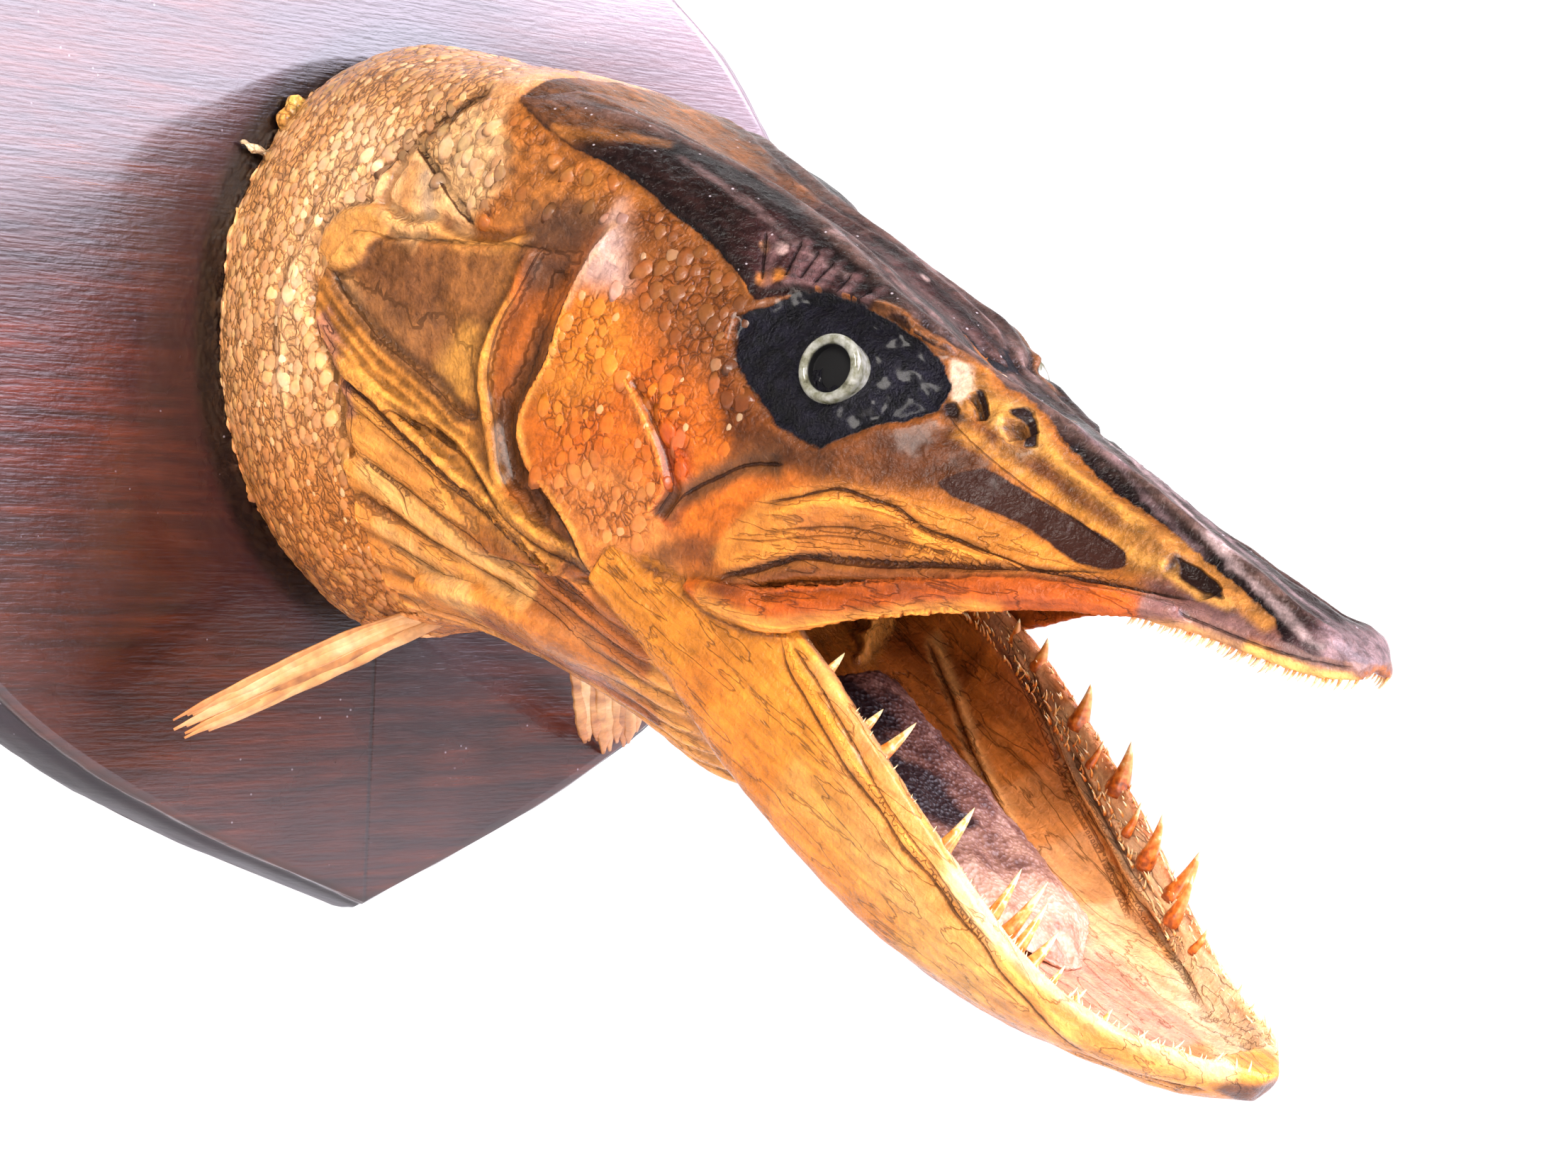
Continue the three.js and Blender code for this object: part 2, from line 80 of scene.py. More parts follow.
# ---------------------------------------------------------------- the fish's own frames
# Fish frame: along runs forward from the jaw joints, across to a side (right is +), height up.
# Jaw frame: the same, turned down by the gape, so that along runs down the opened lower jaw.
HEAD_ORIGIN = np.array([14.5, -142.0, -51.5])
HEAD_YAW = math.radians(9.9)
HEAD_PITCH = math.radians(5.5)
GAPE = math.radians(29.3)
FORWARD = np.array([
    math.sin(HEAD_YAW) * math.cos(HEAD_PITCH),
    -math.cos(HEAD_YAW) * math.cos(HEAD_PITCH),
    -math.sin(HEAD_PITCH),
])
RIGHT = np.array([-math.cos(HEAD_YAW), -math.sin(HEAD_YAW), 0.0])
UP = np.cross(RIGHT, FORWARD)
AXES = np.array([FORWARD, RIGHT, UP])
JAW_TURN = np.array([
    [math.cos(GAPE), 0, -math.sin(GAPE)],
    [0, 1, 0],
    [math.sin(GAPE), 0, math.cos(GAPE)],
])


def to_world(points):
    """Points of the fish frame in the row frame, in mm."""
    return np.asarray(points, float) @ AXES + HEAD_ORIGIN


def to_fish(points):
    """Points of the row frame in the fish frame, in mm."""
    return (np.asarray(points, float) - HEAD_ORIGIN) @ AXES.T


def fish_to_jaw(points):
    """Points of the fish frame in the jaw frame."""
    return np.asarray(points, float) @ JAW_TURN.T


def jaw_to_fish(points):
    """Points of the jaw frame in the fish frame."""
    return np.asarray(points, float) @ JAW_TURN


# ---------------------------------------------------------------- curves
def follow(stations, values):
    """A smooth value that passes through the given ones at the given stations."""
    s, v = np.array(stations, float), np.array(values, float)
    last = len(v) - 1
    upper = np.minimum(np.arange(last + 1) + 1, last)
    lower = np.maximum(np.arange(last + 1) - 1, 0)
    slopes = (v[upper] - v[lower]) / (s[upper] - s[lower])

    def at(x):
        x = np.asarray(x, float)
        i = np.clip(np.searchsorted(s, x, side="left") - 1, 0, last - 1)
        span = s[i + 1] - s[i]
        t = np.clip((x - s[i]) / span, 0, 1)
        rise = t * t * (3 - 2 * t)
        bend = span * t * (1 - t) * (slopes[i] * (1 - t) - slopes[i + 1] * t)
        return v[i] * (1 - rise) + v[i + 1] * rise + bend

    return at


def spline(points, count):
    """Points along a smooth curve through the given ones, count steps from end to end."""
    p = np.array(points, float)
    last = len(p) - 1
    x = np.linspace(0, last, count + 1)
    i = np.minimum(x.astype(int), last - 1)
    t = (x - i)[:, None]
    before, here = p[np.maximum(i - 1, 0)], p[i]
    after, beyond = p[i + 1], p[np.minimum(i + 2, last)]
    start, end = (after - before) / 2, (beyond - here) / 2
    cubic = (2 * here - 2 * after + start + end) * t**3
    square = (-3 * here + 3 * after - 2 * start - end) * t**2
    return cubic + square + start * t + here


def ease(value, low, high):
    """0 below low, 1 above high, and a smooth step between; low may be the larger one."""
    t = np.clip((value - low) / (high - low), 0, 1)
    return t * t * (3 - 2 * t)


# ---------------------------------------------------------------- sections of the head
BODY_STATIONS = [-97, -60, -20, 20, 40, 58, 85, 115, 138, 143]
BODY = {
    name: follow(BODY_STATIONS, values)
    for name, values in {
        "crown_height": [104, 101, 85.5, 70, 59.5, 48.5, 37.5, 23.5, 13, 8.5],
        "ridge_across": [16, 24, 19, 13, 13.5, 10.5, 4.5, 6, 8.5, 3],
        "ridge_height": [102.5, 98.5, 86.5, 71, 60.5, 49.5, 37, 23, 12.5, 8],
        "brow_across": [33, 36, 31, 23.5, 21, 16.5, 13, 11, 11, 4],
        "brow_height": [89, 86, 76, 62, 56.5, 46.5, 32, 20, 11, 7.5],
        "cheek_across": [44.5, 42.5, 41.5, 36.5, 32.5, 25, 19, 15, 12, 5],
        "cheek_height": [50, 48, 46, 41, 40, 33, 22, 15, 9, 7],
        "rail_across": [42, 42.5, 44, 39.5, 36.5, 33, 27.5, 19.5, 12.5, 5.5],
        "rail_height": [12, 14, 11, 8, 9.5, 12, 14, 12, 7.5, 6.5],
        "lip_across": [34, 39, 43, 39, 35.5, 32, 26.5, 18.5, 12, 5],
        "lip_height": [-9, -1, -1, 2, 6, 8.5, 12, 9, 4.5, 5],
        "palate_across": [26, 29, 31, 25, 23, 21.5, 18, 13, 8, 3],
        "palate_height": [5, 3, 2, 6, 14, 20, 21, 13, 6.5, 5.8],
    }.items()
}
THROAT_STATIONS = [-97, -60, -20, 0, 24, 39]
THROAT = {
    "across": follow(THROAT_STATIONS, [20, 25, 24, 22, 15, 8]),
    "height": follow(THROAT_STATIONS, [-23, -18, -25, -30, -38, -43.5]),
    "keel": follow(THROAT_STATIONS, [-27, -21, -30, -37, -43, -45.5]),
}
JAW_STATIONS = [-7, 18, 37, 60, 85, 110, 127, 141, 150.5]
JAW = {
    name: follow(JAW_STATIONS, values)
    for name, values in {
        "rim_across": [40, 37, 37, 37, 35, 30.5, 24, 15, 3],
        "rim_height": [8, 16, 16, 12, 6, 0, -0.5, 3, 4.5],
        "wall_across": [44.5, 42, 40.5, 39.5, 37, 31.5, 24.5, 15.5, 3.5],
        "wall_height": [0, 2, 2, -2, -6, -8, -6, -2, 1.5],
        "sole_across": [40, 38, 36, 33, 29, 22, 16, 9, 2],
        "sole_height": [-7, -11, -16, -19, -20, -17, -12, -7, -1],
        "chin_height": [-9, -15, -20, -22.5, -22.5, -19, -14, -8, -2],
        "floor_height": [-4, -8, -12, -13, -13, -10, -7, -2, 2],
    }.items()
}
BOARD_FRONT = -16.0
NECK_FOOT = {"centre": 1.5, "half_width": 48.5, "half_height": 64.5}
HEAD_REAR = -62.0
NECK_END = -97.0
SNOUT_TIP = 143.0
THROAT_FRONT = 39.0
JAW_ENDS = (-7.0, 150.5)
RIM_THICKNESS = 3.2
EYE_AT = np.array([35.0, 26.0, 46.0])
# Steps of half a section of the head: down its outside, and back over the palate.
UPPER_STEPS = 44
PALATE_STEPS = 14
CROWN_STEPS = 14


def upper_half(at, count=UPPER_STEPS):
    """Half a section from the crown to the lip: across and height."""
    b = {name: float(curve(at)) for name, curve in BODY.items()}
    corners = [(0, b["crown_height"])]
    corners += [(b[part + "_across"], b[part + "_height"])
                for part in ("ridge", "brow", "cheek", "rail", "lip")]
    return spline(corners, count)


def side_across(at, height):
    """How far out the side of the head stands at each place along and height."""
    at, height = np.broadcast_arrays(np.maximum(at, NECK_END), height)
    found = np.empty(at.shape)
    for i, (x, z) in enumerate(zip(at.ravel(), height.ravel())):
        lower = upper_half(x)[CROWN_STEPS:]
        found.flat[i] = np.interp(z, lower[::-1, 1], lower[::-1, 0])
    return found


def ring(half, at):
    """A closed ring in the fish frame from half a section and its mirror image."""
    whole = np.vstack([half, half[1:-1][::-1] * (-1, 1)])
    return np.column_stack([np.full(len(whole), at), whole])


# ---------------------------------------------------------------- closed shells of the skin, in mm
def loft(rings):
    """Points and faces of a closed skin through rings of equal count, with flat ends."""
    rings = np.asarray(rings, float)
    rows, count = rings.shape[:2]
    points = np.vstack([rings.reshape(-1, 3), rings[0].mean(0), rings[-1].mean(0)])
    row, column = np.meshgrid(np.arange(rows - 1), np.arange(count), indexing="ij")
    here, beside = row * count + column, row * count + (column + 1) % count
    faces = np.stack([here, beside, beside + count, here + count], -1).reshape(-1, 4).tolist()
    first, last = rows * count, rows * count + 1
    for i in range(count):
        after = (i + 1) % count
        faces.append([first, after, i])
        faces.append([last, (rows - 1) * count + i, (rows - 1) * count + after])
    return points, faces


def slab(outer, inner):
    """A closed plate between two grids of points of the same shape."""
    rows, columns = outer.shape[:2]
    edge = [(0, j) for j in range(columns)] + [(i, columns - 1) for i in range(1, rows)]
    edge += [(rows - 1, j) for j in range(columns - 2, -1, -1)] + [(i, 0) for i in range(rows - 2, 0, -1)]
    points = np.vstack([outer.reshape(-1, 3), inner.reshape(-1, 3)])
    layer = rows * columns
    faces = []
    for i in range(rows - 1):
        for j in range(columns - 1):
            a = i * columns + j
            faces.append([a, a + 1, a + columns + 1, a + columns])
            faces.append([layer + a, layer + a + columns, layer + a + columns + 1, layer + a + 1])
    for (i, j), (k, m) in zip(edge, edge[1:] + edge[:1]):
        a, b = i * columns + j, k * columns + m
        faces.append([b, a, layer + a, layer + b])
    return points, faces


def head_shell():
    """The head behind and above the mouth, a closed shell with the palate as its floor."""
    def section(at):
        b = {name: float(curve(at)) for name, curve in BODY.items()}
        palate = spline([
            (b["lip_across"] - 1.6, b["lip_height"] + 0.2),
            (b["palate_across"], (b["lip_height"] + b["palate_height"]) / 2),
            (b["palate_across"] / 2, b["palate_height"]),
            (0, b["palate_height"] + 1),
        ], PALATE_STEPS)
        return ring(np.vstack([upper_half(at), palate]), at)

    return loft([section(at) for at in np.linspace(HEAD_REAR - 4, SNOUT_TIP, 140)])


def neck_half(at):
    """Half a section of the neck, from the crown to the keel."""
    throat = spline([
        (float(BODY["lip_across"](at)), float(BODY["lip_height"](at))),
        (float(THROAT["across"](at)), float(THROAT["height"](at))),
        (0, float(THROAT["keel"](at))),
    ], 14)
    return np.vstack([upper_half(at), throat[1:]])


def neck_shell():
    """From an upright oval on the board to the section behind the gill covers."""
    half = neck_half(NECK_END)
    first = to_world(ring(half, NECK_END))
    along = np.concatenate([[0], np.cumsum(np.linalg.norm(np.diff(half, axis=0), axis=1))])
    share = along / along[-1]
    angle = np.pi * np.concatenate([share, 2 - share[1:-1][::-1]])
    foot = np.column_stack([
        NECK_FOOT["centre"] - NECK_FOOT["half_width"] * np.sin(angle),
        np.full(len(angle), BOARD_FRONT + 0.6),
        NECK_FOOT["half_height"] * np.cos(angle),
    ])
    rings = []
    for t in np.linspace(0, 1, 18)[:-1]:
        mixed = foot * (1 - t) + first * t
        bulge = 1 + 0.2 * t * (1 - t)
        mixed[:, 0] = NECK_FOOT["centre"] + (mixed[:, 0] - NECK_FOOT["centre"]) * bulge
        mixed[:, 2] *= bulge
        rings.append(to_fish(mixed))
    rings += [ring(neck_half(at), at) for at in np.linspace(NECK_END, HEAD_REAR + 3, 20)]
    return loft(rings)


def throat_shell():
    """The throat between the gill covers and the lower jaw, as a closed shell."""
    def section(at):
        lip_across, lip_height = float(BODY["lip_across"](at)), float(BODY["lip_height"](at))
        across, height = float(THROAT["across"](at)), float(THROAT["height"](at))
        keel = float(THROAT["keel"](at))
        top = max(min(lip_height - 2, -1 - max(at + 2, 0) * 1.35), keel + 5)
        side = min(lip_across, 40 - max(at + 30, 0) * 0.35 - max(at - 18, 0) * 0.5)
        corners = [(0, top), (side * 0.7, top), (side, (top + height) / 2), (across, height)]
        return ring(spline(corners + [(0, keel)], 30), at)

    return loft([section(at) for at in np.linspace(HEAD_REAR - 5, THROAT_FRONT, 50)])


COVER_FRONT = (follow([0, 0.35, 0.7, 1], [-15, -33, -35, -27]), follow([0, 0.35, 0.7, 1], [3, 20, 42, 63]))
COVER_REAR = (
    follow([0, 0.25, 0.5, 0.7, 0.85, 1], [-19, -45, -72, -93, -97, -90]),
    follow([0, 0.25, 0.5, 0.7, 0.85, 1], [-2, 11, 25, 38, 50, 61]),
)


def cover_shell(side):
    """Gill cover: a sprung plate, sunk in the middle, that stands clear of the neck along its rear edge."""
    u, v = np.meshgrid(np.linspace(0, 1, 60), np.linspace(0, 1, 56), indexing="ij")
    at = COVER_FRONT[0](v) * (1 - u) + COVER_REAR[0](v) * u
    height = COVER_FRONT[1](v) * (1 - u) + COVER_REAR[1](v) * u
    rim = 3.2 * np.exp(-((1 - u) / 0.12) ** 2) + np.exp(-((1 - v) / 0.07) ** 2)
    dish = np.sin(np.pi * np.clip((u - 0.12) / 0.8, 0, 1)) * np.sin(np.pi * np.clip((v - 0.3) / 0.66, 0, 1))
    lift = 1.6 * np.sin(np.pi * np.clip(u, 0.04, 0.8)) + 0.5 * rim - 1.5 * dish
    across = side_across(at, height) + lift
    outer = np.stack([at, side * across, height], -1)
    inner = outer - np.array([0, side * 2.6, 0])
    return slab(outer, inner)


FOLD_TOP = [(-93, 45, 37), (-80, 45, 31), (-62, 44.3, 22), (-42, 43.5, 13), (-20, 42.5, 1), (8, 37, -12)]
FOLD_BOTTOM = [(-73, 25, -19), (-60, 19, -20), (-50, 15, -21.5), (-38, 13.5, -23.5), (-28, 12.5, -27),
               (-18, 12, -31.5), (-8, 11, -36.5), (2, 10, -40.5), (18, 9, -44.5)]
FOLD_COUNT = 8


def membrane_shell(side):
    """Gill membrane: long rounded folds over the branchial rays, from the gill slit to the throat."""
    rows, columns = 90, 120
    v = np.linspace(0, 1, columns)
    surface = membrane_surface(rows, v) * (1, side, 1)
    depth = 1.8 + 9 * ease(np.linspace(0, 1, rows), 0.45, 0.9)[:, None, None]
    return slab(surface, surface + np.array([0, -side, 1]) * 0.7 * depth)


def membrane_surface(rows, v):
    """The outer face of the right gill membrane: rows from back to front, columns from top to bottom."""
    top, bottom = spline(FOLD_TOP, rows - 1)[:, None], spline(FOLD_BOTTOM, rows - 1)[:, None]
    v = np.asarray(v, float)[None, :, None]
    turn = np.pi / 2 * v
    across = 1 - np.maximum(np.cos(turn), 0) ** 0.9
    arched = top + (bottom - top) * np.concatenate([v, across, np.sin(turn)], axis=-1)
    straight = top + (bottom - top) * v + 4.0 * np.sin(np.pi * v) * np.array([0, 0.7, -0.7])
    front = ease(np.linspace(0, 1, rows), 0.3, 0.9)[:, None, None]
    wave = np.abs(np.sin(np.pi * FOLD_COUNT * v)) ** 0.7
    last_rows = np.clip((np.linspace(0, 1, rows) - 0.86) / 0.14, 0, 1)[:, None, None]
    tuck = 6.0 * last_rows ** 2 * np.array([0, -0.5, 0.9])
    return arched + (straight - arched) * front + 2.3 * (wave - 0.75) * np.array([0, 0.7, -0.7]) + tuck


def fold_valleys():
    """The lines of the creases between the folds of the gill membrane."""
    shares = np.arange(1, FOLD_COUNT) / FOLD_COUNT
    surface = membrane_surface(13, shares)
    return [[tuple(point) for point in surface[1:-1, i].round(1).tolist()] for i in range(len(shares))]


MAXILLA_ACROSS = follow([14, 28, 44, 61, 84, 98, 113], [42, 41.5, 39, 36, 30, 25.5, 21])
MAXILLA_TOP = follow([14, 28, 44, 61, 84, 98, 113], [3, 4, 7, 11, 14, 15, 14])
MAXILLA_BOTTOM = follow([14, 20, 36, 53, 69, 84, 99, 113], [1, -2, -4, 1, 5, 8, 10, 11])


def maxilla_shell(side):
    """The long blade that frames the upper lip, rounded along its lower edge."""
    u, v = np.meshgrid(np.linspace(0, 1, 110), np.linspace(0, 1, 20), indexing="ij")
    at = 14 + u * 99
    height = MAXILLA_BOTTOM(at) + v * (MAXILLA_TOP(at) - MAXILLA_BOTTOM(at))
    round_off = np.sqrt(np.clip(np.sin(np.pi * np.clip(v, 0.03, 0.97)), 0, 1))
    across = MAXILLA_ACROSS(at) + 1.0 * np.sin(np.pi * v) - 0.7 * (1 - round_off)
    outer = np.stack([at, side * across, height], -1)
    inner = outer - np.stack([np.zeros_like(at), side * (0.6 + 1.6 * round_off), np.zeros_like(at)], -1)
    return slab(outer, inner)


# Steps of half a section of the jaw: up its outside, and down to the floor of the mouth.
JAW_OUTER_STEPS = 34
JAW_INNER_STEPS = 26


def jaw_half(at):
    """Half a section of the lower jaw, from the keel up over the rim and down to the floor."""
    j = {name: float(curve(at)) for name, curve in JAW.items()}
    inside = max(j["rim_across"] - RIM_THICKNESS, 0.5)
    belly = max(min(j["wall_across"] - 5, j["rim_across"] + 1), 0.5)
    outer = spline([
        (0, j["chin_height"]),
        (j["sole_across"], j["sole_height"]),
        (j["wall_across"], j["wall_height"]),
        (j["rim_across"], j["rim_height"] - 0.6),
        (j["rim_across"] - RIM_THICKNESS / 2, j["rim_height"] + 0.5),
    ], JAW_OUTER_STEPS)
    inner = spline([
        (j["rim_across"] - RIM_THICKNESS / 2, j["rim_height"] + 0.5),
        (inside, j["rim_height"] - 0.8),
        (belly, max(j["wall_height"], j["floor_height"] + 4)),
        (inside * 0.72, j["floor_height"] + 1),
        (0, j["floor_height"]),
    ], JAW_INNER_STEPS)
    return outer, inner[1:]


def jaw_shell():
    """The lower jaw with the floor of the mouth, as a closed shell in the fish frame."""
    rings = []
    for at in np.linspace(JAW_ENDS[0], JAW_ENDS[1] - 3.5, 110):
        rings.append(jaw_to_fish(ring(np.vstack(jaw_half(at)), at)))
    return loft(rings)


def jaw_tip_shell():
    """The closed front of the jaw, where its two sides meet."""
    rings = []
    for at in np.linspace(JAW_ENDS[1] - 8, JAW_ENDS[1], 14):
        outer, _ = jaw_half(at)
        lid = [(outer[-1, 0] * 0.5, outer[-1, 1]), (0, outer[-1, 1])]
        rings.append(jaw_to_fish(ring(np.vstack([outer, lid]), at)))
    return loft(rings)


def tube(path, widths, flat, across, sides=10):
    """A closed strand along a path: its half widths, and how flat it is square to a direction."""
    path = np.asarray(path, float)
    ahead = np.gradient(path, axis=0)
    ahead /= np.linalg.norm(ahead, axis=1)[:, None]
    wide = across - ahead * (ahead @ across)[:, None]
    wide /= np.linalg.norm(wide, axis=1)[:, None]
    thick = np.cross(ahead, wide)
    angle = np.linspace(0, 2 * np.pi, sides, endpoint=False)
    sideways = np.cos(angle)[None, :, None] * wide[:, None]
    through = flat * np.sin(angle)[None, :, None] * thick[:, None]
    return loft(path[:, None] + np.asarray(widths)[:, None, None] * (sideways + through))


FIN_RAY_COUNT = 9
FIN_RAY_STEPS = 44
FIN_RAY_SIDES = 8
# Roots and tips of the fins' first and last rays, in the row frame.
FIN_RAYS = {
    "right": [((-9.5, -64.0, -59.0), (-69.5, -40.3, -89.0)), ((-12.5, -62.6, -63.8), (-65.5, -39.4, -93.0))],
    "left": [((31.0, -51.0, -74.0), (57.4, -19.6, -98.6)), ((45.0, -58.0, -74.0), (72.0, -21.4, -97.6))],
}
# Where each ray starts and parts from its neighbours, in shares of its length, and its half width in mm.
FIN_STARTS = {"right": -0.12, "left": -0.8}
FIN_SLITS = {"right": {2: 0.42, 5: 0.75}, "left": {2: 0.9, 5: 0.85}}
FIN_RAY_WIDTH = {"right": 1.25, "left": 1.7}


def fin_rays(name, rng):
    """Pectoral fin: a fan of flat rays that lie side by side and part into tufts at the tip."""
    shells = []
    (first_root, first_tip), (last_root, last_tip) = [np.array(ray) for ray in FIN_RAYS[name]]
    across = last_tip - first_tip
    across = across / np.linalg.norm(across)
    slip = 0.0
    for i in range(FIN_RAY_COUNT):
        place = i / (FIN_RAY_COUNT - 1)
        slip = FIN_SLITS[name].get(i, slip)
        opened = 0.9 * (place - 0.4) if slip else 0.0
        root = first_root + (last_root - first_root) * place
        tip = first_tip + (last_tip - first_tip) * place
        end = 1 - 0.09 * math.sin(2.4 * math.pi * place) ** 2 - rng.uniform(0, 0.03)
        t = np.linspace(FIN_STARTS[name], end, FIN_RAY_STEPS)
        outside = np.clip(t, 0, 1)
        path = root + (tip - root) * t[:, None]
        swell = (2.8 * place - 0.9) * np.sin(np.pi * outside) if name == "right" else 0 * t
        path = path + across * (swell + opened * np.clip(t - slip, 0, 1))[:, None]
        if name == "left":
            path = path + (tip - root) * (0.14 * math.sin(math.pi * place) * outside**2)[:, None]
        path[:, 2] += (1.5 if name == "right" else 0.5) * np.sin(np.pi * outside)
        path += np.stack([roughen(path + 40 * i + 10 * k, 14, k) for k in (1, 2, 3)], -1) * 0.5
        narrowed = 1 - 0.75 * ease(t, t[-1] - 0.16, t[-1] + 0.01)
        wide = FIN_RAY_WIDTH[name] * (1 + 0.15 * rng.uniform(-1, 1)) * narrowed
        wide = wide * (1 + 0.08 * np.sin(t * 37 + i))
        shells.append(tube(path, wide, 0.4 + rng.uniform(-0.08, 0.08), across, FIN_RAY_SIDES))
    return shells


# ---------------------------------------------------------------- mesh helpers
def linear(code):
    """A hex sRGB colour as linear red, green, blue and alpha."""
    channels = [int(code.lstrip("#")[i:i + 2], 16) / 255 for i in (0, 2, 4)]
    return tuple(c / 12.92 if c <= 0.04045 else ((c + 0.055) / 1.055) ** 2.4 for c in channels) + (1.0,)


def closed(points, faces):
    """Faces of a closed shell, turned to point outwards."""
    p = np.asarray(points, float)
    corners = np.array([(face[0], face[i], face[i + 1]) for face in faces for i in range(1, len(face) - 1)])
    a, b, c = p[corners[:, 0]], p[corners[:, 1]], p[corners[:, 2]]
    volume = np.einsum("ij,ij->i", a - p.mean(0), np.cross(b - p.mean(0), c - p.mean(0))).sum()
    return [face[::-1] for face in faces] if volume < 0 else faces


def joined(shells):
    """Points and faces of several closed shells as one list, each turned outwards."""
    points, faces, before = [], [], 0
    for shell_points, shell_faces in shells:
        points.append(np.asarray(shell_points, float))
        faces += [[i + before for i in face] for face in closed(shell_points, shell_faces)]
        before += len(shell_points)
    return np.vstack(points), faces


def add_mesh(name, points, faces, material=None, smooth=True):
    """A mesh object at the origin from points in mm in the row frame."""
    mesh = bpy.data.meshes.new(name)
    mesh.from_pydata((np.asarray(points, float) * MM).tolist(), [], faces)
    mesh.validate()
    if smooth:
        mesh.shade_smooth()
    made = bpy.data.objects.new(name, mesh)
    bpy.context.scene.collection.objects.link(made)
    if material is not None:
        mesh.materials.append(material)
    return made


def read_points(mesh):
    """A mesh's points as an array of rows."""
    flat = np.empty(len(mesh.vertices) * 3, np.float32)
    mesh.vertices.foreach_get("co", flat)
    return flat.reshape(-1, 3).astype(float) / MM


def read_normals(mesh):
    """A mesh's point normals as an array of rows."""
    flat = np.empty(len(mesh.vertices) * 3, np.float32)
    mesh.vertex_normals.foreach_get("vector", flat)
    return flat.reshape(-1, 3).astype(float)


def write_points(mesh, points):
    """Move a mesh's points to the rows of an array."""
    mesh.vertices.foreach_set("co", (points * MM).astype(np.float32).ravel())
    mesh.update()


def store(mesh, name, values):
    """An attribute on the mesh's points: a number, a vector of three or a colour of four."""
    values = np.asarray(values, np.float32)
    columns = 1 if values.ndim == 1 else values.shape[1]
    kind, field = {1: ("FLOAT", "value"), 3: ("FLOAT_VECTOR", "vector"), 4: ("FLOAT_COLOR", "color")}[columns]
    mesh.attributes.new(name, kind, "POINT").data.foreach_set(field, values.ravel())


def evaluated(thing):
    """The object's mesh with its modifiers applied, and the modifiers removed."""
    view = bpy.context.evaluated_depsgraph_get()
    mesh = bpy.data.meshes.new_from_object(thing.evaluated_get(view), depsgraph=view)
    thing.modifiers.clear()
    old = thing.data
    thing.data = mesh
    bpy.data.meshes.remove(old)
    return mesh


def finish_piece(piece, slot, *nodes):
    """Puts a finished piece on the still body and in place of its solids. Its slot is not used."""
    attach(piece, "root")
    if nodes:
        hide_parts(*nodes)


def roughen(points, wavelength, seed):
    """Smooth noise from -1 to 1 at each point, for a wavelength in mm."""
    shift = Vector((seed * 17.3, seed * -9.1, seed * 5.7))
    return np.array([noise.noise(Vector(p) + shift) for p in (points / wavelength).tolist()])


# ---------------------------------------------------------------- nodes
def socket(sockets, key):
    """The socket at an index, or the first one in use that has the name."""
    return sockets[key] if isinstance(key, int) else next(s for s in sockets if s.enabled and s.name == key)


def add(tree, kind, links=None, stops=None, **settings):
    """Adds a node with its settings. links gives an input's value, or the node or socket that feeds it.
    stops gives a ramp's places and greys or hex colours."""
    made = tree.nodes.new(kind)
    for name, value in settings.items():
        setattr(made, name, value)
    for key, value in (links or {}).items():
        target = socket(made.inputs, key)
        if isinstance(value, bpy.types.Node):
            value = next(s for s in value.outputs if s.enabled)
        if isinstance(value, bpy.types.NodeSocket):
            tree.links.new(value, target)
        elif isinstance(value, str) and target.type == "RGBA":
            target.default_value = linear(value)
        else:
            target.default_value = value
    if stops:
        band = made.color_ramp
        while len(band.elements) < len(stops):
            band.elements.new(0.5)
        for element, (at, colour) in zip(band.elements, stops):
            element.position = at
            element.color = linear(colour) if isinstance(colour, str) else (colour, colour, colour, 1.0)
    return made


def new_material(name, constants):
    """An empty material, its tree and its Principled shader with its constants, joined to the output."""
    made = bpy.data.materials.new(name)
    made.use_nodes = True
    tree = made.node_tree
    tree.nodes.clear()
    shader = add(tree, "ShaderNodeBsdfPrincipled", constants)
    add(tree, "ShaderNodeOutputMaterial", {"Surface": shader})
    return made, tree, shader


def feed(tree, node, name, source):
    """Joins a source to a node's input after the node is made."""
    if isinstance(source, bpy.types.Node):
        source = next(s for s in source.outputs if s.enabled)
    tree.links.new(source, socket(node.inputs, name))


# ---------------------------------------------------------------- relief and paint of the skin
OUTWARD = (0.0, 1.0, 0.25)
UPWARD = (0.0, 0.3, 1.0)
INWARD = (0.0, -1.0, 0.4)
OUT_AND_DOWN = (0.0, 1.0, -0.6)
CREST = (0.0, 0.6, 0.8)
# How far in mm from a sharp edge its distance is kept.
EDGE_REACH = 4.0


class Fold(NamedTuple):
    """A line of relief on the skin: its kind, half width and height in mm, and where it runs.
    A ledge raises the skin on the left of its line, seen from outside."""

    kind: str
    width: float
    height: float
    line: list
    frame: str = "fish"
    faces: tuple = OUTWARD
    side: int = 0


class Stroke(NamedTuple):
    """A stroke of paint: its hex colour, strength, half width and softness in mm, and where it runs."""

    colour: str
    strength: float
    width: float
    soft: float
    line: list
    frame: str = "fish"
    faces: tuple = OUTWARD
    side: int = 0
    ragged: float = 0.8


class FineLine(NamedTuple):
    """A thin line drawn by the material: its strength, its half width in mm, and where it runs."""

    strength: float
    width: float
    line: list
    frame: str = "fish"
    faces: tuple = OUTWARD
    side: int = 0


class Patch(NamedTuple):
    """A painted area, by its outline in side view: along and height."""

    colour: str
    strength: float
    soft: float
    outline: list
    frame: str = "fish"
    faces: tuple = OUTWARD
    side: int = 0
    ragged: float = 0.8


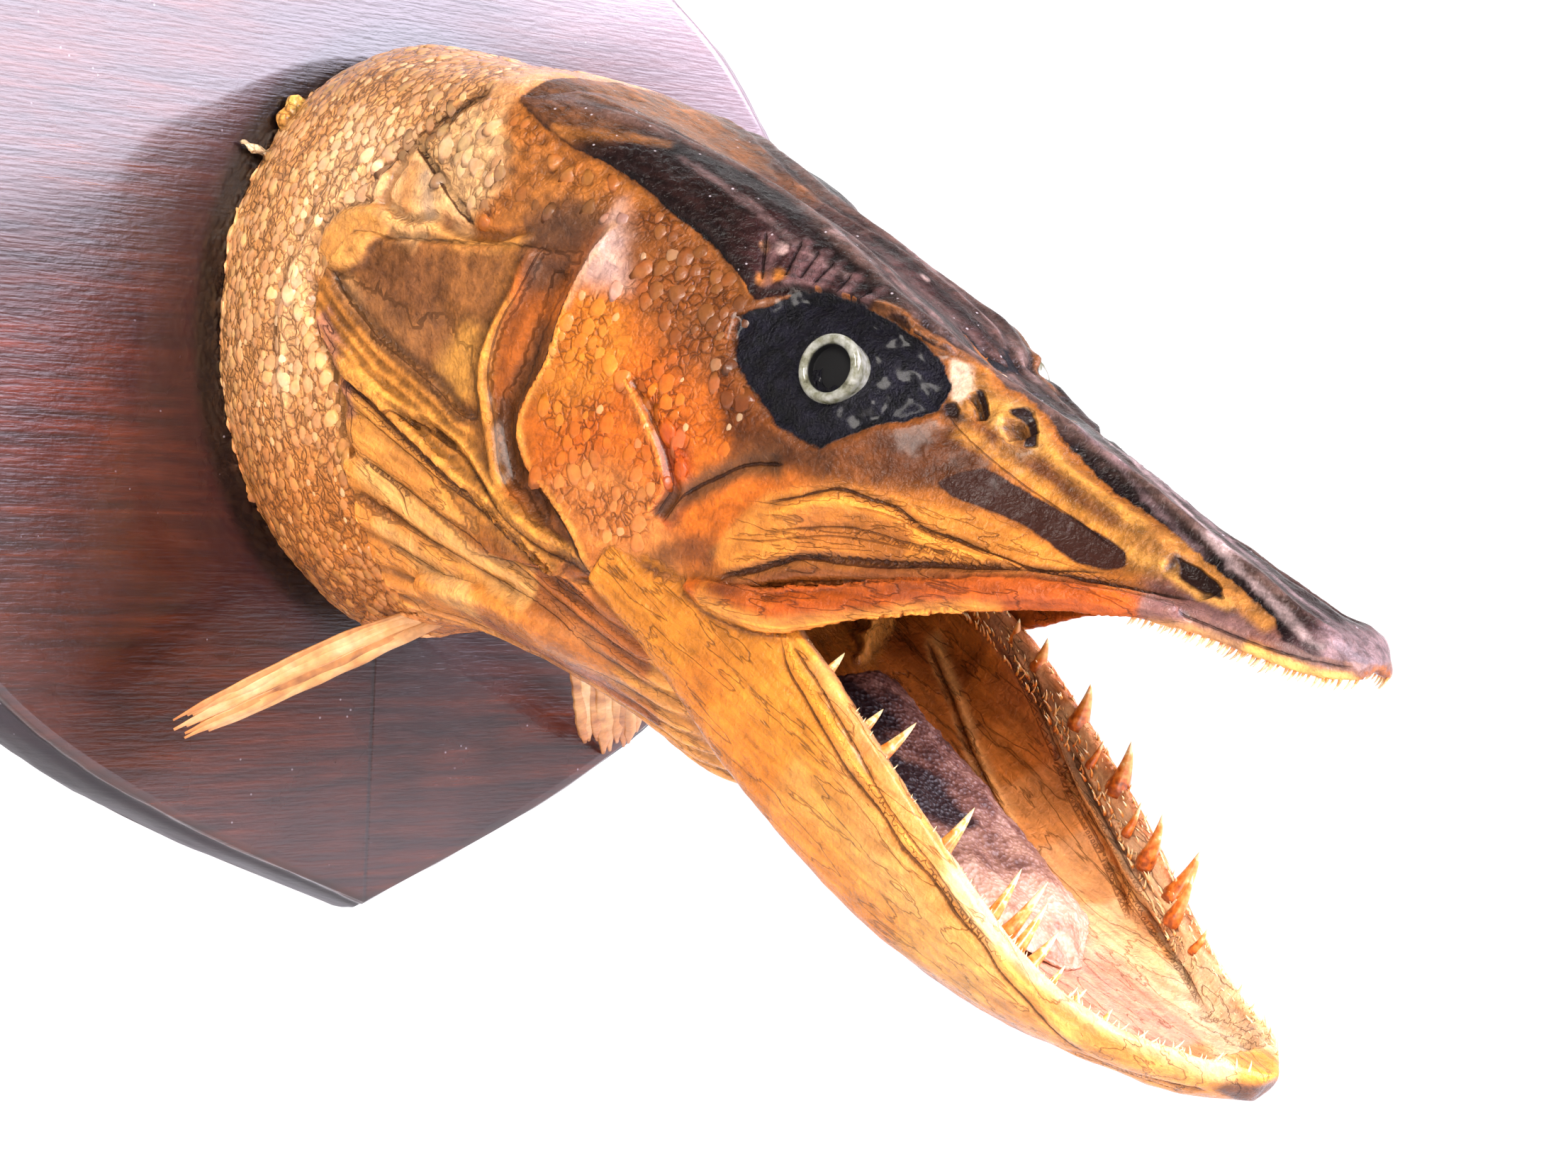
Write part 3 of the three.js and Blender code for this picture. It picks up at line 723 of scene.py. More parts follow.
def signed_distance(points, outline):
    """How far each point in side view lies from an outline, in mm: + inside it, - outside."""
    best, crossings = np.full(len(points), np.inf), np.zeros(len(points), int)
    for a, b in zip(outline, np.roll(outline, -1, axis=0)):
        step = b - a
        t = np.clip((points - a) @ step / (step @ step), 0, 1)
        best = np.minimum(best, np.linalg.norm(points - a - t[:, None] * step, axis=1))
        if a[1] != b[1]:
            level = (b[0] - a[0]) * (points[:, 1] - a[1]) / (b[1] - a[1]) + a[0]
            crossings += ((a[1] > points[:, 1]) != (b[1] > points[:, 1])) & (points[:, 0] < level)
    return np.where(crossings % 2 == 1, best, -best)


class Skin:
    """The points of the skin in each frame, for relief and paint along lines."""

    def __init__(self, mesh):
        self.mesh = mesh
        world = read_points(mesh)
        fish = to_fish(world)
        self.side = np.where(fish[:, 1] < 0, -1.0, 1.0)
        fold = np.column_stack([np.ones(len(fish)), self.side, np.ones(len(fish))])
        self.world = world
        self.points = {"fish": fish * fold, "jaw": fish_to_jaw(fish * fold)}
        normals = (read_normals(mesh) @ AXES.T) * fold
        self.normals = {"fish": normals, "jaw": fish_to_jaw(normals)}
        self.ragged = roughen(world, 5.0, 1) * 0.6 + roughen(world, 2.2, 2) * 0.4

    def near(self, line, reach, frame, faces, side):
        """The points within reach of a line, how far off it they are, on which side, and where along it."""
        points, normals = self.points[frame], self.normals[frame]
        path = spline(line, 8 * (len(line) - 1)) if len(line) > 2 else np.array(line, float)
        margin = reach + 3
        inside = np.all((points > path.min(0) - margin) & (points < path.max(0) + margin), axis=1)
        if side:
            inside &= self.side == side
        found = np.nonzero(inside)[0]
        p, n = points[found], normals[found]
        best = np.full(len(found), np.inf)
        off, hand, share = np.full(len(found), np.inf), np.zeros(len(found)), np.zeros(len(found))
        steps = np.diff(path, axis=0)
        lengths = np.linalg.norm(steps, axis=1)
        before = np.concatenate([[0], np.cumsum(lengths)]) / lengths.sum()
        for i, (start, step, length) in enumerate(zip(path[:-1], steps, lengths)):
            t = np.clip((p - start) @ step / length**2, 0, 1)
            away = p - start - t[:, None] * step
            far = np.linalg.norm(away, axis=1)
            closer = far < best
            rise = np.einsum("ij,ij->i", away, n)
            flat = np.sqrt(np.maximum(far**2 - rise**2, 0))
            turn = np.einsum("ij,ij->i", np.cross(away, step / length), n)
            best[closer] = far[closer]
            off[closer] = flat[closer] + np.maximum(np.abs(rise[closer]) - 4, 0) * 4
            hand[closer] = turn[closer]
            share[closer] = before[i] + t[closer] * (before[i + 1] - before[i])
        facing = ease(n @ (np.array(faces) / np.linalg.norm(faces)), -0.05, 0.3)
        keep = (off < reach) & (facing > 0)
        return found[keep], off[keep], hand[keep], share[keep], facing[keep]

    def inside(self, patch, soft):
        """How far each point lies inside a patch's outline in side view: 1 inside, 0 outside."""
        points, normals = self.points[patch.frame], self.normals[patch.frame]
        outline = np.array(patch.outline, float)
        low, high = outline.min(0) - soft - 2, outline.max(0) + soft + 2
        flat = points[:, [0, 2]]
        near = np.all((flat > low) & (flat < high), axis=1)
        near &= normals @ (np.array(patch.faces) / np.linalg.norm(patch.faces)) > 0
        if patch.side:
            near &= self.side == patch.side
        found = np.nonzero(near)[0]
        signed = signed_distance(flat[found], outline) + patch.ragged * self.ragged[found]
        return found, ease(signed, -soft / 2, soft / 2)

    def border(self, outlines, faces):
        """The distance in mm of each point from the nearest of some outlines, + inside, up to EDGE_REACH."""
        found = np.full(len(self.world), -EDGE_REACH)
        points = self.points["fish"][:, [0, 2]]
        turned = self.normals["fish"] @ (np.array(faces) / np.linalg.norm(faces))
        for outline in outlines:
            corners = np.array(outline, float)
            low, high = corners.min(0) - EDGE_REACH, corners.max(0) + EDGE_REACH
            near = np.all((points > low) & (points < high), axis=1) & (turned > -0.1)
            signed = np.clip(signed_distance(points[near], corners), -EDGE_REACH, EDGE_REACH)
            found[near] = np.maximum(found[near], np.where(turned[near] > 0, signed, -EDGE_REACH))
        return found

    def lines(self, strokes, labels):
        """For a family of fine lines: each point's half widths off the nearest one, and how strong it is."""
        aside, nearest = np.full(len(self.world), 9.0), np.full(len(self.world), np.inf)
        strength = np.zeros(len(self.world))
        on_jaw = np.isin(labels, (JAW_OUTER, JAW_INNER))
        for stroke in strokes:
            found, off, hand, share, facing = self.near(
                stroke.line, 3.2, stroke.frame, stroke.faces, stroke.side)
            right_part = on_jaw[found] == (stroke.frame == "jaw")
            ends = ease(share, 0, 0.08) * ease(share, 1, 0.92)
            closer = (off < nearest[found]) & right_part
            found, off, hand = found[closer], off[closer], hand[closer]
            nearest[found] = off
            aside[found] = np.where(hand < 0, -off, off) / stroke.width
            strength[found] = stroke.strength * (ends * facing)[closer] * ease(off, 3.0, 1.6)
        return aside, strength

    def press(self, folds):
        """Moves the points along their normals by every fold's relief."""
        move = np.zeros(len(self.world))
        for fold in folds:
            reach = fold.width * (2.6 if fold.kind != "ledge" else 4)
            found, off, hand, share, facing = self.near(fold.line, reach, fold.frame, fold.faces, fold.side)
            ends = ease(share, 0, 0.1) * ease(share, 1, 0.9)
            if fold.kind == "ledge":
                profile = ease(hand, -0.5, 0.5) * np.exp(-np.maximum(hand, 0) / fold.width)
            elif fold.kind == "crease":
                profile = np.exp(-off / (fold.width * 0.6))
            else:
                profile = np.exp(-((off / fold.width) ** 2))
            move[found] += fold.height * profile * ends * facing
        unfold = np.column_stack([np.ones(len(move)), self.side, np.ones(len(move))])
        normals = (self.normals["fish"] * unfold) @ AXES
        write_points(self.mesh, self.world + normals * move[:, None])


# ---------------------------------------------------------------- where the head's features run, in mm
ROOF_RIDGE = [(-54, 28, 95), (-38, 23, 92), (-27, 17, 89), (-1, 9, 80), (15, 12, 73), (29, 15, 66),
              (41, 16, 59), (51, 11, 53), (61, 9, 48), (77, 6, 40), (97, 6, 31), (114, 7, 23), (126, 9, 18),
              (137, 10, 11)]
ROOF_EDGE = [(-57, 31, 93), (-47, 32, 88), (-38, 32, 84), (-30, 31, 82), (-20, 30, 78), (-13, 29, 74),
             (-3, 28, 70), (7, 29, 63), (13, 30, 57)]
ROOF_BACK = [(-57, 31, 94), (-52, 25, 96), (-48, 14, 97), (-46, 4, 96)]
BROW_EDGE = [(13, 28, 60), (20, 24, 62), (28, 22, 61), (35, 20, 59), (41, 19, 57), (46, 19, 54), (53, 15, 52)]
BROW_LINE = [(34, 21, 59), (40, 19, 58), (45, 18, 55), (49, 16, 53), (53, 13, 52), (60, 11, 48)]
CHEEK_EDGE = [(-22, 34, 71), (-24, 37, 64), (-26, 39, 57), (-27, 41, 51), (-28, 42, 42), (-31, 43, 35),
              (-33, 43, 29), (-32, 44, 24), (-28, 44, 18), (-21, 44, 13), (-15, 44, 8), (-11, 44, 3),
              (-6, 45, -3)]
COVER_RIDGE = [(-38, 40, 65), (-41, 43, 54), (-44, 44, 48), (-46, 44, 41), (-46, 44, 35), (-43, 44, 28),
               (-39, 45, 19), (-35, 45, 13)]
COVER_TOP = [(-98, 42, 63), (-92, 41, 66), (-84, 41, 66), (-77, 41, 64), (-70, 41, 65), (-62, 41, 63),
             (-51, 40, 62), (-44, 40, 64), (-39, 39, 66)]
COVER_SUNK = [(-97, 44, 56), (-90, 45, 49), (-83, 45, 44), (-77, 45, 40), (-68, 45, 36), (-59, 45, 32),
              (-52, 45, 28), (-44, 45, 27)]
UNDER_COVER = [(-95, 45, 38), (-84, 45, 33), (-72, 45, 28), (-58, 45, 25), (-47, 45, 20), (-36, 45, 12),
               (-26, 45, 7), (-15, 43, 4), (-8, 43, 1)]
COVER_HEM = [(-93, 45, 36), (-82, 45, 31), (-67, 45, 23), (-53, 45, 16), (-42, 45, 12), (-30, 45, 6),
             (-20, 43, 0), (-9, 41, -6)]
GILL_EDGE = [(-101, 44, 54), (-97, 44, 44), (-91, 44, 36), (-86, 43, 22), (-82, 42, 14), (-71, 42, 9),
             (-67, 42, 3), (-68, 37, -5), (-71, 31, -12), (-75, 24, -19)]
TORN_EDGE = [(-83, 37, 83), (-80, 37, 81), (-73, 39, 77), (-66, 40, 72), (-58, 40, 66)]
NAPE_FOLD = [(-66, 30, 96), (-70, 32, 94), (-74, 34, 90), (-81, 36, 85), (-85, 37, 81), (-90, 39, 75)]
TORN_FOLD = [(-84, 37, 79), (-86, 39, 73), (-87, 40, 67)]
CHEEK_FOLD = [(-10, 41, 41), (-5, 41, 36), (-1, 41, 31), (2, 41, 27), (5, 41, 21), (4, 41, 17), (1, 42, 13)]
CHEEK_CREASE = [(6, 42, 13), (8, 41, 17), (13, 40, 21), (18, 39, 24), (24, 38, 27), (32, 37, 28)]
LIP_FOLD = [(28, 38, 20), (35, 36, 22), (40, 35, 24), (44, 34, 25), (50, 32, 24), (55, 30, 23), (61, 29, 20),
            (69, 28, 19), (77, 26, 17), (85, 25, 16), (93, 21, 17), (97, 19, 17)]
LIP_WRINKLE = [(31, 38, 15), (46, 34, 18), (59, 31, 17), (73, 29, 16), (85, 26, 15)]
MAXILLA_SEAM = [(19, 41, 4), (28, 39, 7), (38, 37, 11), (46, 36, 12), (57, 34, 13), (66, 31, 14),
                (75, 29, 15), (88, 25, 16), (100, 21, 16), (108, 18, 15), (115, 15, 15)]
SNOUT_STREAK = [(76, 11, 39), (85, 11, 34), (96, 10, 29), (104, 10, 25), (112, 11, 21), (119, 11, 18),
                (127, 12, 14), (134, 11, 11)]
SNOUT_CREST = [(79, 7, 39), (92, 6, 33), (109, 7, 25), (121, 8, 20), (132, 9, 15), (139, 6, 11)]
SNOUT_PIT = [(105, 14, 21), (111, 13, 19), (116, 14, 16)]
GUM_LINE = [(111, 20, 13), (119, 18, 11), (128, 16, 9), (135, 13, 8), (141, 6, 7)]
NOSTRIL = (69, 16, 40)
NOSTRIL_SLIT = [(59, 17, 46), (61, 17, 44), (63, 18, 41)]
BROW_WRINKLES = [
    [(14, 19, 71), (16, 25, 63)], [(18, 18, 69), (19, 24, 63)], [(22, 18, 67), (22, 23, 62)],
    [(27, 18, 65), (27, 22, 61)], [(33, 18, 62), (32, 21, 60)], [(7, 22, 72), (12, 27, 62)],
]
FILLER = [(11, 55), (15, 57), (17, 58), (20, 61), (25, 61), (32, 60), (41, 57), (47, 54), (52, 50), (55, 46),
          (55, 42), (51, 39), (47, 38), (44, 36), (41, 34), (38, 32), (33, 33), (28, 35), (24, 38), (20, 41),
          (15, 45), (12, 50)]
# Along the opened lower jaw.
JAW_CREASE = [(33, 39, 15), (40, 39, 11), (48, 39, 9), (56, 39, 7), (64, 39, 5), (73, 38, 4), (81, 38, 2),
              (89, 36, 1), (97, 35, -1), (103, 33, -2), (109, 32, -4), (115, 30, -5), (123, 26, -7),
              (130, 20, -8)]
JAW_CREASE_UPPER = [(36, 38, 15), (47, 38, 13), (55, 38, 11), (63, 38, 9), (73, 38, 6), (83, 37, 4),
                    (91, 36, 2), (98, 34, 0), (106, 32, -1)]
JAW_PALE_EDGE = [(12, 38, -14), (26, 36, -16), (40, 35, -17), (60, 32, -19), (80, 29, -19), (100, 26, -16),
                 (115, 22, -13), (128, 16, -9)]
CHIN_CREASE = [(124, 23, -10), (132, 19, -8), (139, 15, -5), (145, 9, -2)]
INNER_CREASES = [
    [(34, 35, 16), (39, 34, 11), (48, 35, 7), (58, 35, 3), (68, 34, -1), (79, 33, -4), (88, 31, -6),
     (98, 28, -9)],
    [(40, 34, 14), (53, 35, 7), (64, 35, 1), (76, 34, -2), (88, 32, -5), (100, 29, -6), (112, 25, -6),
     (125, 18, -5)],
    [(17, 35, 0), (31, 32, -4), (44, 29, -8), (54, 27, -10), (63, 25, -11), (75, 20, -12)],
    [(60, 34, 6), (78, 33, 0), (96, 29, -3), (112, 24, -4)],
]
FLOOR_MARK = [(104, -10, -11), (108, -8, -11), (111, -6, -10)]


def shifted(line, along=0.0, across=0.0, height=0.0):
    """The same line, moved in its own frame."""
    return [(a + along, w + across, z + height) for a, w, z in line]


ROOF = (0.0, 0.45, 1.0)
RELIEF = [
    Fold("ridge", 1.9, 1.0, ROOF_RIDGE, faces=ROOF),
    Fold("ridge", 5.0, -1.2, [(-20, 0, 85), (20, 0, 70), (50, 0, 54), (75, 0, 42)], faces=UPWARD),
    Fold("ridge", 1.3, 0.5, shifted(ROOF_RIDGE[:8], 0, -5, 1.5), faces=ROOF),
    Fold("ledge", 5.0, 1.2, ROOF_EDGE, faces=ROOF),
    Fold("ledge", 6.0, -1.0, ROOF_BACK, faces=ROOF),
    Fold("ledge", 5.0, 1.5, BROW_EDGE),
    Fold("ridge", 1.0, 0.6, BROW_LINE),
    Fold("ledge", 9.0, 1.7, CHEEK_EDGE),
    Fold("ridge", 1.1, 0.6, CHEEK_EDGE),
    Fold("ridge", 3.0, -1.5, shifted(CHEEK_EDGE[1:-2], -6, 1)),
    Fold("ridge", 1.5, 1.3, COVER_RIDGE),
    Fold("ridge", 2.2, -0.8, shifted(COVER_RIDGE, 4.5)),
    Fold("ridge", 1.4, 1.0, COVER_TOP),
    Fold("ridge", 1.6, -1.3, shifted(COVER_TOP, 0, 0, 2.4)),
    Fold("ledge", 5.0, -1.2, COVER_SUNK),
    Fold("ridge", 1.0, 0.7, UNDER_COVER),
    Fold("crease", 1.0, -0.7, shifted(UNDER_COVER, 0, 0, -2.4)),
    Fold("ridge", 1.2, 0.8, COVER_HEM),
    Fold("ridge", 1.5, -1.0, shifted(COVER_HEM, -1, 0, -2.5)),
    Fold("ridge", 2.0, -2.0, shifted(GILL_EDGE[:5], -2.5, 0, -1)),
    Fold("ledge", 4.0, -1.2, TORN_EDGE),
    Fold("crease", 0.7, -0.7, TORN_EDGE),
    Fold("ridge", 3.0, -1.4, NAPE_FOLD),
    Fold("ridge", 1.5, 0.9, shifted(NAPE_FOLD, -3.5, 0, -1)),
    Fold("ridge", 1.5, -0.9, TORN_FOLD),
    Fold("ridge", 1.1, 0.9, shifted(TORN_FOLD, -2.5)),
    Fold("ridge", 1.0, 0.7, CHEEK_FOLD),
    Fold("ridge", 1.5, -0.8, shifted(CHEEK_FOLD, 2.6)),
    Fold("ridge", 1.0, 0.7, shifted(CHEEK_FOLD[1:], 5.0, -0.5)),
    Fold("ridge", 1.8, -0.8, CHEEK_CREASE),
    Fold("crease", 1.0, -0.7, LIP_FOLD),
    Fold("ridge", 1.5, 0.6, shifted(LIP_FOLD, 0, 0, -2.4)),
    Fold("crease", 0.8, -0.5, LIP_WRINKLE),
    Fold("crease", 1.2, -0.9, MAXILLA_SEAM),
    Fold("ridge", 1.6, 0.7, shifted(MAXILLA_SEAM, 0, 0.5, -3.0)),
    Fold("ridge", 1.8, -1.2, shifted(MAXILLA_SEAM[1:7], 2, 1, -6.2)),
    Fold("ridge", 2.0, -0.9, SNOUT_STREAK, faces=ROOF),
    Fold("ridge", 0.9, 0.6, SNOUT_CREST, faces=ROOF),
    Fold("ridge", 2.0, -1.4, SNOUT_PIT),
    Fold("crease", 1.2, -0.8, GUM_LINE),
    Fold("ridge", 2.3, -2.6, [(67.8, 14, 41.8), (70.8, 15, 38.8)]),
    Fold("ridge", 0.8, -2.0, NOSTRIL_SLIT),
    Fold("crease", 0.8, -0.45, JAW_CREASE, "jaw"),
    Fold("ridge", 1.6, 0.4, shifted(JAW_CREASE, 0, 0, 2.2), "jaw"),
    Fold("crease", 0.8, -0.4, JAW_CREASE_UPPER, "jaw"),
    Fold("ridge", 2.2, -0.5, JAW_PALE_EDGE, "jaw", faces=OUT_AND_DOWN),
    Fold("crease", 1.0, -0.8, CHIN_CREASE, "jaw"),
    Fold("crease", 0.8, -0.6, shifted(CHIN_CREASE, -3, 1, -3), "jaw", faces=OUT_AND_DOWN),
    Fold("crease", 1.0, -1.6, FLOOR_MARK, "jaw", faces=UPWARD),
]
RELIEF += [Fold("crease", 1.0, -0.7, line, faces=ROOF) for line in BROW_WRINKLES]
# Fine folds between the sunk part of the gill cover and its hem, and down the front of the neck.
RELIEF += [Fold("ridge", 0.8, 0.55, shifted(COVER_SUNK, -1.0 * k, 0, -2.6 * k)) for k in (1, 2, 3, 4)]
RELIEF += [
    Fold("ridge", 1.6, 0.8, [(-100, 42, 80), (-104, 44, 66), (-108, 44, 48), (-108, 44, 30), (-104, 43, 12)]),
    Fold("ridge", 1.6, -0.8, [(-104, 42, 84), (-109, 44, 66), (-113, 44, 44), (-111, 43, 24)]),
    Fold("ridge", 1.4, 0.7, [(-96, 41, 84), (-98, 42, 74), (-102, 43, 66)]),
    Fold("ridge", 5.0, -2.6, [(48, 10, 55), (64, 9, 47), (84, 7, 38), (104, 7, 29), (124, 8, 20),
                              (138, 8, 12)], faces=ROOF, side=-1),
    Fold("ridge", 9.0, -2.0, [(-8, 24, 80), (12, 17, 72), (28, 15, 66), (42, 14, 58), (58, 12, 50)],
         faces=ROOF, side=-1),
]
RELIEF += [Fold("ridge", 1.0, -0.6, line, "jaw", faces=INWARD) for line in INNER_CREASES]
RELIEF += [Fold("ridge", 1.0, 0.5, shifted(line, 0, 0, 2.0), "jaw", faces=INWARD) for line in INNER_CREASES]
NOSTRIL_RING = [
    tuple(np.add(NOSTRIL, (4.0 * math.cos(a) + 0.2, 0.8 * math.sin(a), 4.0 * math.sin(a) + 0.2)))
    for a in np.linspace(0, 2 * np.pi, 11)
]
RELIEF.append(Fold("ridge", 0.9, 0.8, NOSTRIL_RING))
# The filler sinks away inside the ring of the eye.
RELIEF.append(Fold("ridge", 4.8, -5.5, [(34, 26, 46), (36, 26, 46)]))


# ---------------------------------------------------------------- the skin's colours
HEAD, PALATE, NECK, THROAT_PART, COVER, MEMBRANE, MAXILLA, JAW_OUTER, JAW_INNER = range(9)
BASE_COLOURS = {
    HEAD: "#9a5f2b", PALATE: "#6a2c14", NECK: "#e3ae7c", THROAT_PART: "#c27f3c", COVER: "#94622f",
    MEMBRANE: "#d8984f", MAXILLA: "#9c4f1c", JAW_OUTER: "#d28a34", JAW_INNER: "#b96c2e",
}
PATCHES = [
    # The neck: brown above, cream in the middle, orange-brown below.
    Patch("#bd9672", 0.75, 16, [(-220, 140), (-60, 124), (-60, 93), (-90, 90), (-220, 92)],
          faces=(-0.6, 0.4, 0.3)),
    Patch("#f3cba6", 0.75, 10, [(-108, 90), (-84, 84), (-86, 66), (-101, 60), (-104, 30), (-108, 16),
                                (-114, 50)], ragged=3.0),
    Patch("#cc8440", 0.85, 34, [(-220, 12), (-60, 16), (-60, -90), (-220, -90)], faces=(-0.6, 0.4, -0.2)),
    Patch("#dcb68a", 0.8, 6, [(-84, 82), (-72, 92), (-60, 90), (-52, 82), (-54, 72), (-62, 67), (-74, 73)]),
    Patch("#9a6534", 0.7, 8, [(-54, 90), (-40, 82), (-28, 78), (-22, 72), (-36, 68), (-48, 66), (-56, 74)]),
    # The scaly upper cheek, the orange lower one and the pale tip over the cheek plate.
    Patch("#7b4b28", 0.9, 12, [(-22, 72), (-13, 76), (-2, 70), (8, 62), (13, 55), (14, 48), (22, 40),
                               (20, 34), (6, 38), (-4, 48), (-14, 56), (-24, 62)], ragged=2.5),
    Patch("#cb6c20", 0.9, 16, [(-24, 62), (-27, 50), (-29, 42), (-33, 31), (-32, 20), (-22, 8), (-6, 0),
                               (8, 4), (22, 10), (36, 22), (28, 32), (18, 38), (4, 42), (-8, 50), (-16, 57)],
          ragged=3.0),
    Patch("#dd9338", 0.55, 8, [(-23, 56), (-27, 44), (-29, 34), (-22, 28), (-12, 36), (-10, 48), (-16, 56)],
          ragged=3.0),
    Patch("#cf8a50", 0.7, 8, [(-24, 16), (-12, 6), (0, 0), (12, 3), (8, 16), (-2, 22), (-14, 24)]),
    Patch("#c8b0b4", 0.8, 7, [(-23, 74), (-26, 64), (-26, 58), (-19, 57), (-14, 57), (-17, 64), (-21, 71)],
          ragged=2.0),
    # The band between the gill cover's ridge and the cheek plate.
    Patch("#a45a24", 0.9, 3, [(-39, 65), (-24, 69), (-27, 51), (-31, 37), (-34, 28), (-30, 18), (-18, 10),
                              (-34, 12), (-43, 26), (-46, 38), (-44, 50)]),
    Patch("#4f3628", 0.85, 6, [(-42, 64), (-38, 72), (-27, 74), (-24, 69), (-27, 60), (-33, 54), (-38, 54)]),
    Patch("#5c3b22", 0.7, 5, [(-34, 44), (-29, 44), (-34, 30), (-30, 18), (-38, 18), (-38, 32)]),
    # The gill cover: brown in the middle, gold towards its hem, yellow at its corner.
    Patch("#90603a", 0.9, 5, [(-94, 62), (-84, 64), (-62, 62), (-44, 62), (-47, 44), (-46, 32), (-56, 30),
                              (-70, 36), (-84, 44)]),
    Patch("#d49c4e", 0.75, 6, [(-62, 36), (-54, 30), (-45, 30), (-45, 46), (-54, 46)]),
    Patch("#56382a", 0.6, 9, [(-90, 57), (-72, 60), (-60, 57), (-62, 44), (-76, 44)]),
    Patch("#c0823e", 0.6, 4, [(-96, 42), (-80, 40), (-60, 30), (-44, 24), (-34, 12), (-16, 4), (-34, 4),
                              (-56, 14), (-74, 24), (-92, 36)]),
    Patch("#c88a42", 0.6, 5, [(-94, 40), (-76, 34), (-60, 28), (-46, 22), (-34, 10), (-16, 2), (-34, 2),
                              (-56, 12), (-74, 22), (-92, 34)]),
    Patch("#cf9656", 0.95, 1.4, [(-101, 57), (-101, 62), (-97, 67), (-89, 69), (-83, 67), (-81.5, 62.5),
                                 (-84, 60), (-86, 56), (-90, 54), (-95, 53.5)], ragged=0.4),
    Patch("#c98a4a", 0.5, 3, [(-100, 58), (-99, 63), (-96, 62), (-93, 56), (-96, 54)]),
    # Dark smears of filler round the eye, under it, and the golden bands of the snout.
    Patch("#4c2c1a", 0.75, 6, [(9, 55), (14, 61), (22, 63), (34, 62), (46, 57), (55, 48), (57, 41), (46, 33),
                               (36, 29), (24, 35), (12, 44)], ragged=2.0),
    Patch("#5c3318", 0.85, 5, [(13, 42), (24, 38), (34, 32), (44, 35), (54, 39), (64, 38), (68, 32), (63, 28),
                               (50, 26), (38, 26), (26, 28), (16, 32)]),
    Patch("#412313", 0.75, 5, [(46, 37), (58, 40), (68, 33), (62, 27), (50, 29)]),
    Patch("#c9833a", 0.95, 2, [(24, 17), (29, 22), (44, 26), (57, 25), (70, 24), (79, 22), (87, 19), (96, 17),
                               (92, 16), (75, 14), (57, 12.5), (38, 9), (24, 5), (18, 9)]),
    Patch("#8a6032", 0.95, 2, [(56, 51), (61, 47.5), (66, 45.5), (71, 42), (75, 38.5), (83, 33.5), (89, 30.5),
                               (98, 27), (109, 23), (117, 19), (126, 14.5), (128, 12), (118, 14), (108, 17),
                               (99, 18), (97, 21), (92, 24), (85, 28), (79, 31), (70, 34), (64, 38), (59, 40),
                               (56, 43)]),
    Patch("#643519", 0.75, 3, [(60, 40), (70, 34), (79, 31), (90, 25), (97, 21), (92, 25), (82, 31), (70, 37),
                               (62, 42)]),
    Patch("#54404a", 0.9, 5, [(103, 17), (106, 14), (114, 12.5), (122, 10.5), (132, 8), (138, 8), (130, 13),
                              (118, 16.5), (108, 18)]),
    Patch("#c6b4a8", 0.9, 1.0, [(52.5, 51.5), (55, 51), (57.5, 49), (58.5, 46.5), (57.5, 43.5), (55.5, 45),
                                (54, 48)]),
    Patch("#6a5b64", 0.75, 4, [(131, 16), (138, 14), (146, 11), (146, 5), (139, 5), (131, 8)], faces=CREST),
    Patch("#e0aa66", 0.95, 1.4, [(108, 11.4), (119, 10.4), (128, 8.6), (135, 7), (142, 6), (145, 3), (136, 2),
                                 (128, 4), (118, 6.5), (108, 8)], faces=(0.0, 1.0, -0.2)),
    # The lower jaw: amber, paler at the front, with a pinkish keel and a dark chin.
    Patch("#b9742a", 0.6, 12, [(-8, 14), (22, 16), (34, 8), (30, -6), (16, -12), (-10, -8)], "jaw"),
    Patch("#d9a672", 0.65, 14, [(60, 6), (100, -2), (130, -4), (146, 2), (138, -8), (110, -14), (80, -10)],
          "jaw"),
    Patch("#96664a", 0.85, 6, [(10, -14), (40, -18), (80, -20), (120, -15), (140, -9), (150, -4), (140, -20),
                               (80, -32), (10, -26)], "jaw", faces=(0.0, 0.6, -1.0)),
    Patch("#3c2c36", 0.85, 2, [(146, -1), (148, 2.5), (152, 4), (158, 4), (158, -4), (150, -3.5)], "jaw",
          faces=(1.0, 0.5, 0.0)),
]
